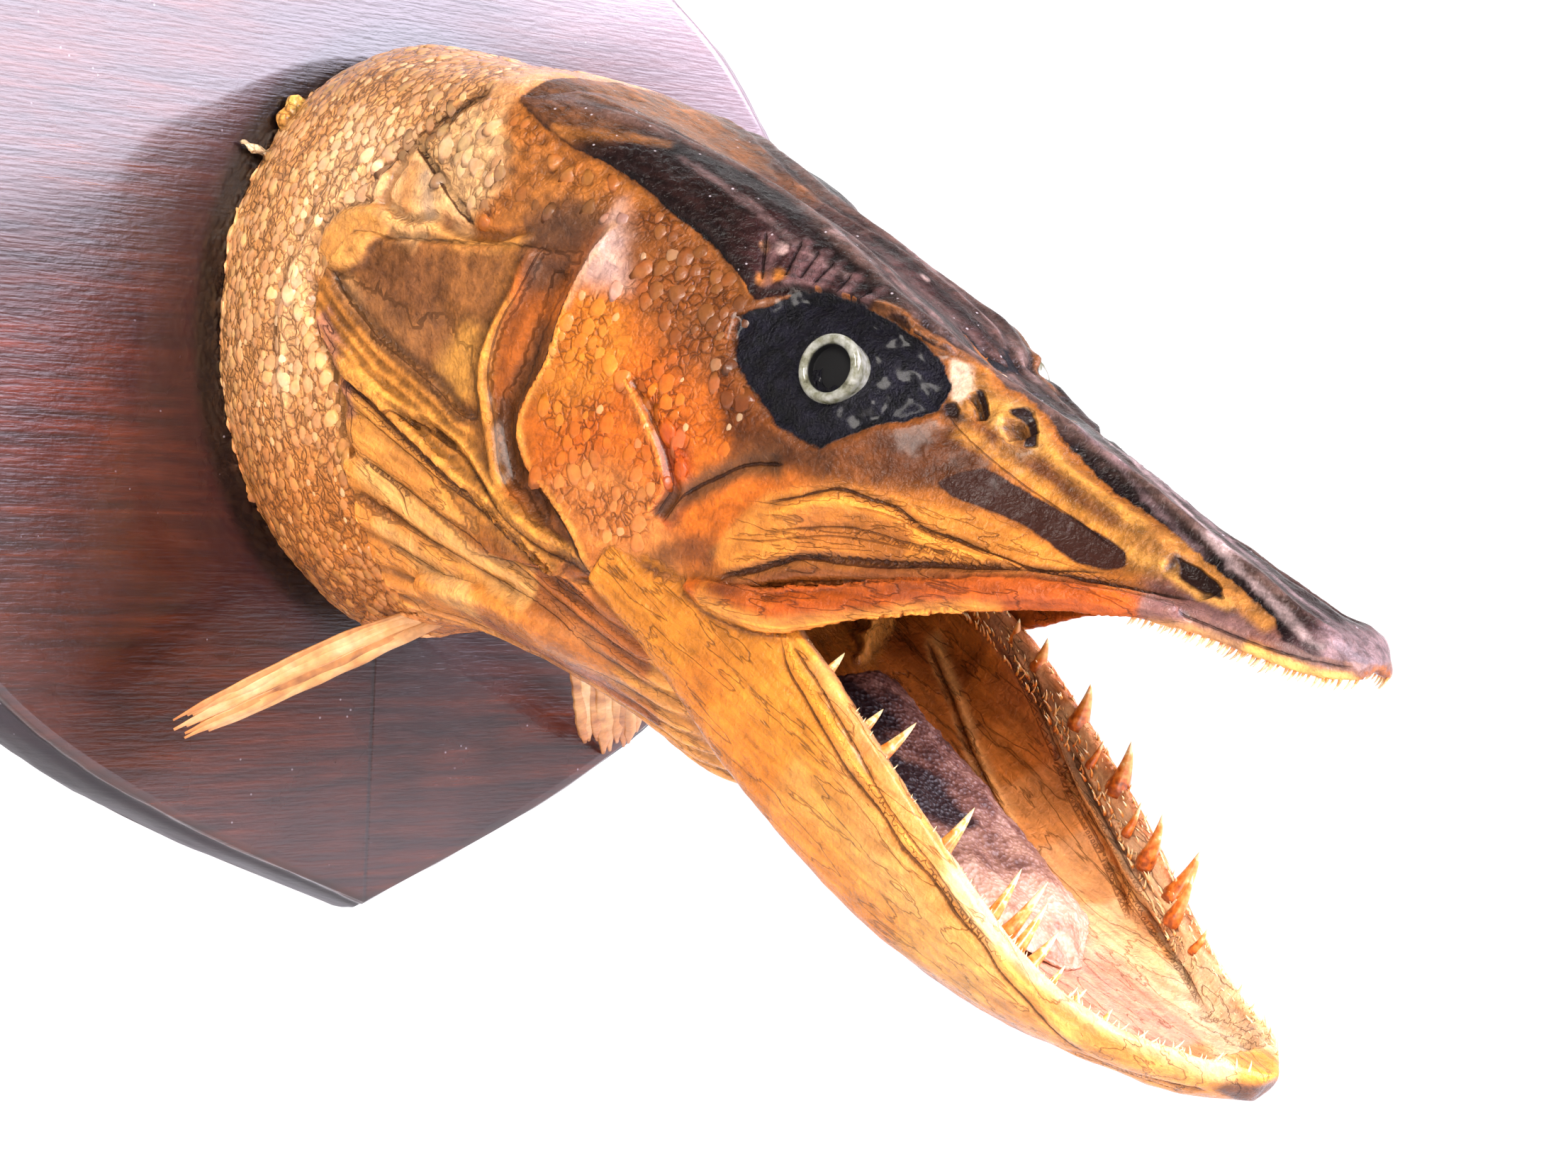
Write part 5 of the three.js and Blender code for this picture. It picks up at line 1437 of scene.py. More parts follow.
# Where the skin is streaked along its length, and where it is blotched.
STREAKY = [(24, 17), (29, 22), (44, 26), (57, 25), (70, 24), (79, 22), (87, 19), (96, 17), (112, 12), (96, 8),
           (57, 5), (24, 2)]
GRAINY = [(-62, 104), (-40, 84), (-13, 74), (8, 63), (20, 60), (40, 57), (56, 50), (75, 38), (97, 28),
          (127, 13), (140, 14), (120, 44), (60, 80), (0, 104), (-50, 118)]
SNOUT_SIDE = [(12, 44), (24, 38), (34, 32), (44, 35), (56, 51), (71, 42), (98, 27), (128, 14), (128, 10),
              (97, 17), (85, 24), (57, 26), (26, 26), (12, 32)]
STREAKY_PARTS = (MEMBRANE, MAXILLA, JAW_OUTER, JAW_INNER)
# How far the grain of a part leans down from the fish's own axis, in degrees.
GRAIN_LEAN = {COVER: -38, MEMBRANE: -20, THROAT_PART: -20}


def build_skin(ground):
    """One closed, painted skin over the neck, head, jaws and gill covers, with its masks as attributes."""
    parts = labelled_shells()
    shells = joined([(to_world(points), faces) for (points, faces), _ in parts])
    labels = np.concatenate([label for _, label in parts])
    thing = add_mesh("skin", *shells)
    remesh = thing.modifiers.new("one_skin", "REMESH")
    remesh.mode = "VOXEL"
    remesh.voxel_size = VOXEL * MM
    smooth = thing.modifiers.new("even", "SMOOTH")
    smooth.factor = 0.5
    smooth.iterations = 4
    mesh = evaluated(thing)
    skin = Skin(mesh)
    skin.press(RELIEF)
    skin = Skin(mesh)
    swell = roughen(skin.world, 13, 3) * 0.35 + roughen(skin.world, 5, 4) * 0.18
    swell = swell + roughen(skin.world, 2.2, 5) * 0.08
    filler = soft_mask(skin, FILLER, 2.5)
    coated = np.maximum(soft_mask(skin, CHEEK_SCALES, 6),
                        soft_mask(skin, NAPE_EDGE, 6, faces=(-0.6, 0.4, 0.2)))
    move = swell - 1.3 * filler + filler * roughen(skin.world, 3.5, 6) * 0.8 - 0.35 * coated
    move += 1.2 * soft_mask(skin, LOBE, 3)
    move += 0.6 * soft_mask(skin, NAPE_SCALES, 4) * roughen(skin.world, 3.0, 15)
    write_points(mesh, skin.world + read_normals(mesh) * move[:, None])
    thin_out(thing, SKIN_TRIANGLES)
    mesh = thing.data
    mesh.shade_smooth()
    skin = Skin(mesh)
    labels = skin_labels(skin.world, shells, labels)
    ends, counts = neighbours(mesh)
    # How far each point is sunk below its neighbours: painted shade in the hollows and painted light on the
    # bulges, in the materials.
    hollow_shading = np.zeros(len(skin.world))
    for rounds in (2, 10):
        sunk = averaged(skin.world, ends, counts, rounds) - skin.world
        sunk = np.einsum("ij,ij->i", sunk, read_normals(mesh))
        hollow_shading += np.clip(sunk / np.percentile(np.abs(sunk), 80), -1.6, 1.6) / 2

    def spread(mask, rounds=6):
        return averaged(np.asarray(mask, float)[:, None], ends, counts, rounds)[:, 0]

    palette = np.array([linear(BASE_COLOURS[part])[:3] for part in sorted(BASE_COLOURS)])
    palette[NECK], palette[JAW_OUTER] = ground.neck, ground.jaw
    colours = paint(skin, labels, averaged(palette[labels], ends, counts, 8), PATCHES, STROKES)
    for (centre, radii), colour in zip(TUFTS, ("#e8c070", "#dca860", "#eadfcb", "#eadfcb")):
        near = np.linalg.norm((skin.world - centre) / radii, axis=1) < 1.35
        blend(colours, np.nonzero(near)[0], colour, np.full(near.sum(), 0.95))
    bone = paint(skin, labels, np.tile(ground.bone, (len(colours), 1)), BONE_PATCHES, BONE_STROKES)
    fish = to_fish(skin.world)
    on_jaw = np.isin(labels, (JAW_OUTER, JAW_INNER))
    neck = spread(labels == NECK) * (1 - soft_mask(skin, RECESS, 2)) * (1 - soft_mask(skin, LOBE, 1))
    behind = ease(skin.points["fish"][:, 0], -64, -72)
    thick = 0.3 + 1.1 * ease(roughen(skin.world, 9, 14), -0.5, 0.5)
    neck_scales = neck * np.maximum(soft_mask(skin, NAPE_EDGE, 3), ease(skin.points["fish"][:, 0], -96, -100))
    clear = np.min([np.linalg.norm((skin.world - centre) / radii, axis=1) for centre, radii in TUFTS], axis=0)
    neck_scales = np.clip(neck_scales * thick, 0, 1) * (clear > 1.5)
    nape = soft_mask(skin, NAPE_SCALES, 4) * 0.55
    cheek_scales = np.maximum(soft_mask(skin, CHEEK_SCALES, 5) * spread(labels == HEAD), nape)
    cheek_scales = np.clip(cheek_scales * thick, 0, 1) * (1 - soft_mask(skin, CHEEK_TIP, 2))
    hollow_shading *= np.where(labels == JAW_INNER, 0.45, np.where(labels == MEMBRANE, 0.8, 1.0))
    hollow_shading *= 1 - 0.8 * soft_mask(skin, LOBE, 2)
    store(mesh, "hollow_shading", hollow_shading)
    store(mesh, "paint", np.column_stack([colours, np.ones(len(colours))]))
    store(mesh, "bone_paint", np.column_stack([bone, np.ones(len(bone))]))
    place = fish.copy()
    for part, lean in GRAIN_LEAN.items():
        turn = math.radians(lean)
        at = labels == part
        place[at, 0] = fish[at, 0] * math.cos(turn) + fish[at, 2] * math.sin(turn)
        place[at, 2] = fish[at, 2] * math.cos(turn) - fish[at, 0] * math.sin(turn)
    place[on_jaw] = fish_to_jaw(fish[on_jaw])
    store(mesh, "place", place)
    off_cover = 1 - soft_mask(skin, COVER_FACE, 2)
    store(mesh, "scaly", np.maximum(neck * behind, cheek_scales) * off_cover)
    store(mesh, "neck_scales", neck_scales)
    store(mesh, "cheek_scales", cheek_scales)
    store(mesh, "streaky", np.maximum(spread(np.isin(labels, STREAKY_PARTS)), soft_mask(skin, STREAKY, 4)))
    grainy = np.maximum(0.5 * soft_mask(skin, GRAINY, 5), 0.8 * soft_mask(skin, SNOUT_SIDE, 4))
    store(mesh, "grainy", np.maximum(spread(labels == COVER), grainy))
    bare = skin.border([ROOF_OUTLINE], (0.0, 0.5, 1.0))
    bare = np.where(skin.side < 0, np.maximum(bare, skin.border([FAR_BONE], (0.0, 0.3, 1.0))), bare)
    store(mesh, "roof_edge", np.where(on_jaw, -EDGE_REACH, bare))
    store(mesh, "band_edge", np.where(labels == HEAD, skin.border([BAND_OUTLINE], OUTWARD), -EDGE_REACH))
    store(mesh, "filler_edge", np.where(labels == HEAD, skin.border([FILLER], OUTWARD), -EDGE_REACH))
    store(mesh, "pit_edge", np.where(labels == HEAD, skin.border(PIT_OUTLINES, OUTWARD), -EDGE_REACH))
    for name, family in (("dark", CREASE_SHADE_LINES), ("pale", PALE_EDGES_AND_CREST_HIGHLIGHTS)):
        aside, strength = skin.lines(family, labels)
        store(mesh, name + "_line", aside)
        store(mesh, name + "_strength", strength)
    store(mesh, "lie", np.tile(-FORWARD, (len(skin.world), 1)))
    angle = np.arctan2(fish[:, 1], fish[:, 2] - 32) / (2 * np.pi) + 0.5
    store(mesh, "unwrap", np.column_stack([(fish[:, 0] + 165) / 330, angle, np.zeros(len(fish))]))
    mesh.materials.clear()
    mesh.materials.append(varnished_skin())
    finish_piece(
        thing, "head_skin", "neck", "head", "upper_jaw", "throat", "gill_cover_right", "gill_cover_left",
        "gill_membrane_right", "gill_membrane_left", "maxilla_right", "maxilla_left", "lower_jaw",
    )
    return thing


def varnished_skin():
    """Dried fish skin, painted and varnished: a coloured hide and bare bone under a glossy coat, with painted
    shade in its hollows and creases and painted highlights on its crests and bulges.
    It gives the eye fine wrinkles and specks of 0.5 to 2 mm, streaks along the jaws, thin dark creases
    and broken highlights."""
    made, tree, shader = new_material("varnished_painted_fish_skin", {
        "Specular IOR Level": 0.16, "Coat Roughness": 0.17, "Coat IOR": 1.5,
    })
    read = {
        name: add(tree, "ShaderNodeAttribute", attribute_name=name).outputs["Fac"]
        for name in ("hollow_shading", "scaly", "streaky", "grainy", "roof_edge", "band_edge", "filler_edge",
                     "pit_edge", "dark_line", "dark_strength", "pale_line", "pale_strength")
    }
    paint_coat = add(tree, "ShaderNodeAttribute", attribute_name="paint").outputs["Color"]
    bone_coat = add(tree, "ShaderNodeAttribute", attribute_name="bone_paint").outputs["Color"]
    place = add(tree, "ShaderNodeAttribute", attribute_name="place").outputs["Vector"]
    # Sharp edges of the bare bone, the dark band, the filler and the pits, ragged by up to 1.6 mm.
    wobble = add(tree, "ShaderNodeTexNoise",
                 {"Vector": place, "Scale": 0.42, "Detail": 3.0, "Roughness": 0.6})
    masks = {}
    for name, ragged in (("roof_edge", 1.4), ("band_edge", 0.9), ("filler_edge", 1.6), ("pit_edge", 0.5)):
        moved = add(tree, "ShaderNodeMath", {0: wobble, 1: ragged, 2: read[name]}, operation="MULTIPLY_ADD")
        low, high = ragged / 2 - 0.22, ragged / 2 + 0.22
        masks[name] = add(tree, "ShaderNodeMapRange", {"Value": moved, 1: low, 2: high})
    lines = {}
    for name, ragged in (("dark", 2.4), ("pale", 1.6)):
        moved = add(tree, "ShaderNodeMath", {0: wobble, 1: ragged, 2: read[name + "_line"]},
                    operation="MULTIPLY_ADD")
        moved = add(tree, "ShaderNodeMath", {0: moved, 1: ragged / 2}, operation="SUBTRACT")
        moved = add(tree, "ShaderNodeMath", {0: moved}, operation="ABSOLUTE")
        drawn = add(tree, "ShaderNodeMapRange", {"Value": moved, 1: 1.5, 2: 0.5, 3: 0.0, 4: 1.0})
        lines[name] = add(tree, "ShaderNodeMath", {0: drawn, 1: read[name + "_strength"]},
                          operation="MULTIPLY")
    # Mottling 10 mm and 3 mm across, and fine grain of 0.8 mm.
    broad = add(tree, "ShaderNodeTexNoise", {"Vector": place, "Scale": 0.10, "Detail": 5.0, "Roughness": 0.6})
    mottle = add(tree, "ShaderNodeTexNoise",
                 {"Vector": place, "Scale": 0.36, "Detail": 4.0, "Distortion": 0.6})
    fine = add(tree, "ShaderNodeTexNoise", {"Vector": place, "Scale": 1.25, "Detail": 3.0, "Roughness": 0.65})
    light = add(tree, "ShaderNodeMapRange", {"Value": broad, 1: 0.3, 2: 0.7, 3: 0.80, 4: 1.20})
    even = add(tree, "ShaderNodeMath", {0: read["streaky"], 1: 0.6}, operation="MULTIPLY")
    for texture, low, high in ((mottle, 0.78, 1.20), (fine, 0.84, 1.14)):
        part = add(tree, "ShaderNodeMapRange", {"Value": texture, 1: 0.32, 2: 0.68, 3: low, 4: high})
        part = add(tree, "ShaderNodeMix", {"Factor": even, 2: part, 3: 1.0})
        light = add(tree, "ShaderNodeMath", {0: light, 1: part}, operation="MULTIPLY")
    # Streaks about 1.5 mm apart, thin dark veins along the jaws, and blotches 4 mm across on the gill cover.
    stretched = add(tree, "ShaderNodeMapping", {"Vector": place, "Scale": (0.07, 0.5, 0.55)})
    streaks = add(tree, "ShaderNodeTexNoise",
                  {"Vector": stretched, "Scale": 1.0, "Detail": 5.0, "Distortion": 0.4})
    streak_light = add(tree, "ShaderNodeMapRange", {"Value": streaks, 1: 0.34, 2: 0.62, 3: 0.74, 4: 1.14})
    vein = add(tree, "ShaderNodeMapping",
               {"Vector": place, "Scale": (0.035, 0.16, 0.2), "Location": (5.0, 3.0, 1.0)})
    vein = add(tree, "ShaderNodeTexNoise", {"Vector": vein, "Scale": 1.0, "Detail": 4.0, "Distortion": 0.3})
    vein = add(tree, "ShaderNodeMath", {0: vein, 1: 0.5}, operation="SUBTRACT")
    vein = add(tree, "ShaderNodeMath", {0: vein}, operation="ABSOLUTE")
    vein = add(tree, "ShaderNodeMapRange", {"Value": vein, 1: 0.0, 2: 0.014, 3: 1.0, 4: 0.0})
    vein = add(tree, "ShaderNodeMath", {0: vein, 1: read["streaky"]}, operation="MULTIPLY")
    vein_light = add(tree, "ShaderNodeMapRange", {"Value": vein, 1: 0.0, 2: 1.0, 3: 1.0, 4: 0.55})
    blotch = add(tree, "ShaderNodeTexNoise",
                 {"Vector": place, "Scale": 0.22, "Detail": 6.0, "Roughness": 0.7})
    blotch_light = add(tree, "ShaderNodeMapRange", {"Value": blotch, 1: 0.36, 2: 0.64, 3: 0.62, 4: 1.32})
    # Dark cracks between embedded scales, 2.6 mm apart.
    bent = add(tree, "ShaderNodeTexNoise", {"Vector": place, "Scale": 0.25, "Detail": 2.0})
    bent = add(tree, "ShaderNodeVectorMath", {0: bent.outputs["Color"], 1: (5.0, 5.0, 5.0), 2: place},
               operation="MULTIPLY_ADD")
    cells = add(tree, "ShaderNodeTexVoronoi", {"Vector": bent, "Scale": 0.38}, feature="DISTANCE_TO_EDGE")
    cracks = add(tree, "ShaderNodeMapRange", {"Value": cells, 1: 0.015, 2: 0.10, 3: 0.52, 4: 1.0})
    for amount, part in (("streaky", streak_light), ("grainy", blotch_light), ("scaly", cracks)):
        part = add(tree, "ShaderNodeMix", {"Factor": read[amount], 2: 1.0, 3: part})
        light = add(tree, "ShaderNodeMath", {0: light, 1: part}, operation="MULTIPLY")
    light = add(tree, "ShaderNodeMath", {0: light, 1: vein_light}, operation="MULTIPLY")
    # Painted shade darkens the hollows and painted light brightens the bulges.
    hollow_shading = add(tree, "ShaderNodeMapRange", {"Value": read["hollow_shading"], 1: -1.2, 2: 1.2, 3: 1.28, 4: 0.55})
    light = add(tree, "ShaderNodeMath", {0: light, 1: hollow_shading}, operation="MULTIPLY")
    hide = add(tree, "ShaderNodeVectorMath", {0: paint_coat, 1: light}, operation="MULTIPLY")
    # Browner where it shows between the scales.
    under = add(tree, "ShaderNodeMix", {"Factor": read["scaly"], "A": "#ffffff", "B": "#f8ecdf"},
                data_type="RGBA")
    hide = add(tree, "ShaderNodeVectorMath", {0: hide, 1: under}, operation="MULTIPLY")
    # Yellower where it is lighter.
    warm = add(tree, "ShaderNodeMix", {"Factor": mottle, "A": "#fff4f0", "B": "#fff0c4"}, data_type="RGBA")
    hide = add(tree, "ShaderNodeVectorMath", {0: hide, 1: warm}, operation="MULTIPLY")
    hide = add(tree, "ShaderNodeMix", {"Factor": masks["band_edge"], "A": hide, "B": "#311a13"},
               data_type="RGBA")
    # Bare bone: dark and translucent, with streaks and clouds of its own.
    bone_light = add(tree, "ShaderNodeMapRange", {"Value": streaks, 1: 0.36, 2: 0.62, 3: 0.52, 4: 1.12})
    bone_light = add(tree, "ShaderNodeMath", {0: bone_light, 1: light}, operation="MULTIPLY")
    bone = add(tree, "ShaderNodeVectorMath", {0: bone_coat, 1: bone_light}, operation="MULTIPLY")
    bone = add(tree, "ShaderNodeVectorMath", {0: bone, 1: (0.95, 0.80, 0.70)}, operation="MULTIPLY")
    coat = add(tree, "ShaderNodeMix", {"Factor": masks["roof_edge"], "A": hide, "B": bone}, data_type="RGBA")
    # Dust specks on the bone, the pale lines of pale edges and painted highlights, the dark lines of painted
    # shade in the creases, the filler round the eye and the pits.
    dots = add(tree, "ShaderNodeTexVoronoi", {"Vector": place, "Scale": 0.26, "Randomness": 1.0})
    dots = add(tree, "ShaderNodeMapRange",
               {"Value": dots.outputs["Distance"], 1: 0.05, 2: 0.09, 3: 0.6, 4: 0.0})
    dots = add(tree, "ShaderNodeMath", {0: dots, 1: masks["roof_edge"]}, operation="MULTIPLY")
    coat = add(tree, "ShaderNodeMix", {"Factor": dots, "A": coat, "B": "#c3b8bb"}, data_type="RGBA")
    # Pale edges and painted highlights along the crests.
    pale = add(tree, "ShaderNodeVectorMath", {0: coat, 1: (1.55, 1.5, 1.35)}, operation="MULTIPLY")
    coat = add(tree, "ShaderNodeMix", {"Factor": lines["pale"], "A": coat, "B": pale}, data_type="RGBA")
    # Painted shade along the creases.
    dark = add(tree, "ShaderNodeVectorMath", {0: coat, 1: (0.24, 0.17, 0.15)}, operation="MULTIPLY")
    coat = add(tree, "ShaderNodeMix", {"Factor": lines["dark"], "A": coat, "B": dark}, data_type="RGBA")
    filler = add(tree, "ShaderNodeValToRGB", {0: mottle}, stops=[(0.35, "#030305"), (0.7, "#12101b")])
    coat = add(tree, "ShaderNodeMix", {"Factor": masks["filler_edge"], "A": coat, "B": filler},
               data_type="RGBA")
    coat = add(tree, "ShaderNodeMix", {"Factor": masks["pit_edge"], "A": coat, "B": "#1d0f0b"},
               data_type="RGBA")
    feed(tree, shader, "Base Color", coat)
    # Relief: wrinkles of 1.6 mm, streaks, cracks, creases and the filler's rough lumps.
    height = add(tree, "ShaderNodeTexNoise",
                 {"Vector": place, "Scale": 0.62, "Detail": 4.0, "Distortion": 0.8})
    calm = add(tree, "ShaderNodeMapRange", {"Value": masks["filler_edge"], 3: 1.0, 4: 0.35})
    height = add(tree, "ShaderNodeMath", {0: height, 1: calm}, operation="MULTIPLY")
    cell_height = add(tree, "ShaderNodeMapRange", {"Value": cells, 1: 0.0, 2: 0.22, 3: 0.0, 4: 0.9})
    gritty = add(tree, "ShaderNodeMath", {0: masks["filler_edge"], 1: 2.0}, operation="MULTIPLY")
    for texture, amount in (
        (cell_height, read["scaly"]), (streaks, read["streaky"]), (fine, gritty),
        (lines["dark"], -1.6), (vein, -0.5), (fine, 0.3), (lines["pale"], 0.5), (masks["pit_edge"], -1.5),
    ):
        height = add(tree, "ShaderNodeMath", {0: texture, 1: amount, 2: height}, operation="MULTIPLY_ADD")
    bump = add(tree, "ShaderNodeBump", {"Height": height, "Strength": 0.75, "Distance": 0.0008})
    feed(tree, shader, "Normal", bump)
    rough = add(tree, "ShaderNodeMapRange", {"Value": mottle, 1: 0.3, 2: 0.7, 3: 0.20, 4: 0.38})
    rough = add(tree, "ShaderNodeMix", {"Factor": masks["filler_edge"], 2: rough, 3: 0.36})
    feed(tree, shader, "Roughness", rough)
    glossy = add(tree, "ShaderNodeMapRange", {"Value": masks["roof_edge"], 3: 0.30, 4: 0.12})
    glossy = add(tree, "ShaderNodeMix", {"Factor": masks["filler_edge"], 2: glossy, 3: 0.17})
    dull = add(tree, "ShaderNodeMapRange", {"Value": read["grainy"], 3: 1.0, 4: 0.4})
    glossy = add(tree, "ShaderNodeMath", {0: glossy, 1: dull}, operation="MULTIPLY")
    feed(tree, shader, "Coat Weight", glossy)
    return made


# ---------------------------------------------------------------- scales and small teeth, by Geometry Nodes
PATCH_SIZE = 0.003


def scale_shape():
    """One scale of unit length: a low domed shield. Its root is buried and its free end, at +x, stands up."""
    rows = [(-0.5, 0.18, -0.15, -0.07), (-0.2, 0.50, -0.11, 0.01), (0.12, 0.62, -0.09, 0.04),
            (0.36, 0.52, -0.06, 0.06), (0.50, 0.24, -0.03, 0.045)]
    rings = [
        [(x, -half, low), (x, -half * 0.35, top), (x, half * 0.35, top), (x, half, low), (x, 0, low - 0.12)]
        for x, half, low, top in rows
    ]
    return loft(rings)


def tooth_shape():
    """One needle tooth of unit length along +z, its point bent towards +x."""
    t = np.linspace(0, 1, 5)
    path = np.column_stack([0.28 * t**2, np.zeros(5), t])
    return tube(path, 0.15 * (1 - t) ** 0.8 + 0.012, 1.0, np.array([0.0, 1.0, 0.0]), 5)


def hidden_shape(name, shape):
    """A small mesh that only Geometry Nodes use, with its outline kept as an attribute for the bake."""
    points, faces = joined([shape])
    mesh = bpy.data.meshes.new(name)
    mesh.from_pydata(points.tolist(), [], faces)
    mesh.shade_smooth()
    store(mesh, "local", points)
    return bpy.data.objects.new(name, mesh)


def new_tree(name, sizes):
    """A Geometry Nodes tree with a named input for each size, its group input node and its output node."""
    tree = bpy.data.node_groups.new(name, "GeometryNodeTree")
    inputs = {}
    for label, kind in sizes:
        inputs[label] = tree.interface.new_socket(label, in_out="INPUT", socket_type=kind).identifier
    tree.interface.new_socket("Geometry", in_out="OUTPUT", socket_type="NodeSocketGeometry")
    return tree, inputs, add(tree, "NodeGroupInput"), add(tree, "NodeGroupOutput")


def instanced(name, tree, inputs, values, host=None):
    """An object whose mesh comes from a Geometry Nodes tree with the given sizes."""
    mesh = host if host is not None else bpy.data.meshes.new(name)
    made = bpy.data.objects.new(name, mesh)
    bpy.context.scene.collection.objects.link(made)
    nodes = made.modifiers.new(name, "NODES")
    nodes.node_group = tree
    for label, value in values.items():
        nodes[inputs[label]] = value
    evaluated(made)
    return made


def build_scales(name, skin, material, length, spacing, seed):
    """A coat of scales over the part of the skin where the attribute of the same name is set."""
    tree, inputs, given, output = new_tree(name, [
        ("Skin", "NodeSocketObject"), ("Scale shape", "NodeSocketObject"),
        ("Scale length", "NodeSocketFloat"), ("Spacing", "NodeSocketFloat"), ("Seed", "NodeSocketInt"),
    ])
    skin_mesh = add(tree, "GeometryNodeObjectInfo", {"Object": given.outputs["Skin"]}).outputs["Geometry"]
    shape = add(tree, "GeometryNodeObjectInfo", {"Object": given.outputs["Scale shape"]}).outputs["Geometry"]
    cover = add(tree, "GeometryNodeInputNamedAttribute", {"Name": name}, data_type="FLOAT")
    spread = add(tree, "GeometryNodeDistributePointsOnFaces", {
        "Mesh": skin_mesh, "Distance Min": given.outputs["Spacing"], "Density Max": 420000.0,
        "Density Factor": cover, "Seed": given.outputs["Seed"],
    }, distribute_method="POISSON")
    lie = add(tree, "GeometryNodeInputNamedAttribute", {"Name": "lie"}, data_type="FLOAT_VECTOR")
    turned = add(tree, "FunctionNodeAxesToRotation", {
        "Primary Axis": spread.outputs["Normal"], "Secondary Axis": lie,
    }, primary_axis="Z", secondary_axis="X")
    wobble = add(tree, "FunctionNodeRandomValue", {
        0: (-0.07, -0.08, -0.6), 1: (0.07, 0.04, 0.6), "Seed": given.outputs["Seed"],
    }, data_type="FLOAT_VECTOR")
    wobble = add(tree, "FunctionNodeEulerToRotation", {0: wobble})
    turned = add(tree, "FunctionNodeRotateRotation", {0: turned, 1: wobble}, rotation_space="LOCAL")
    size = add(tree, "FunctionNodeRandomValue", {2: 0.5, 3: 1.35, "Seed": given.outputs["Seed"]},
               data_type="FLOAT")
    size = add(tree, "ShaderNodeMath", {0: size, 1: given.outputs["Scale length"]}, operation="MULTIPLY")
    index = add(tree, "GeometryNodeInputIndex")
    tint = add(tree, "FunctionNodeRandomValue", {2: 0.0, 3: 1.0, "ID": index}, data_type="FLOAT")
    small = add(tree, "ShaderNodeMapRange", {"Value": tint, 1: 0.86, 2: 0.92, 3: 1.0, 4: 0.6})
    size = add(tree, "ShaderNodeMath", {0: size, 1: small}, operation="MULTIPLY")
    marked = add(tree, "GeometryNodeStoreNamedAttribute", {
        "Geometry": spread.outputs["Points"], "Name": "tint", "Value": tint,
    }, data_type="FLOAT", domain="POINT")
    stretched = add(tree, "ShaderNodeVectorMath", {0: size, 1: (0.92, 1.22, 0.9)}, operation="MULTIPLY")
    placed = add(tree, "GeometryNodeInstanceOnPoints", {
        "Points": marked, "Instance": shape, "Rotation": turned, "Scale": stretched,
    })
    real = add(tree, "GeometryNodeRealizeInstances", {"Geometry": placed})
    painted = add(tree, "GeometryNodeSetMaterial", {"Geometry": real, "Material": material})
    feed(tree, output, "Geometry", painted)
    shape_thing = hidden_shape(name + "_shape", scale_shape())
    made = instanced(name, tree, inputs, {
        "Skin": skin, "Scale shape": shape_thing, "Scale length": length, "Spacing": spacing, "Seed": seed,
    })
    mesh = made.data
    mesh.shade_smooth()
    bake_map(mesh)
    kept = ("position", "paint", "hollow_shading", "tint", "OFBake")
    for extra in [a.name for a in mesh.attributes if not a.is_internal and a.name not in kept]:
        if not mesh.attributes[extra].is_required and not extra.startswith("material"):
            mesh.attributes.remove(mesh.attributes[extra])
    finish_piece(made, "scaled_skin")
    return made


def bake_map(mesh):
    """The OFBake map: each scale is a small patch at its root's place on an unwrap of the skin."""
    count = len(mesh.vertices)
    local, root = np.empty(count * 3, np.float32), np.empty(count * 3, np.float32)
    mesh.attributes["local"].data.foreach_get("vector", local)
    mesh.attributes["unwrap"].data.foreach_get("vector", root)
    spots = root.reshape(-1, 3)[:, :2] + local.reshape(-1, 3)[:, :2] * PATCH_SIZE
    corners = np.empty(len(mesh.loops), np.int32)
    mesh.loops.foreach_get("vertex_index", corners)
    layer = mesh.uv_layers.new(name="OFBake")
    layer.uv.foreach_set("vector", spots[corners].astype(np.float32).ravel())


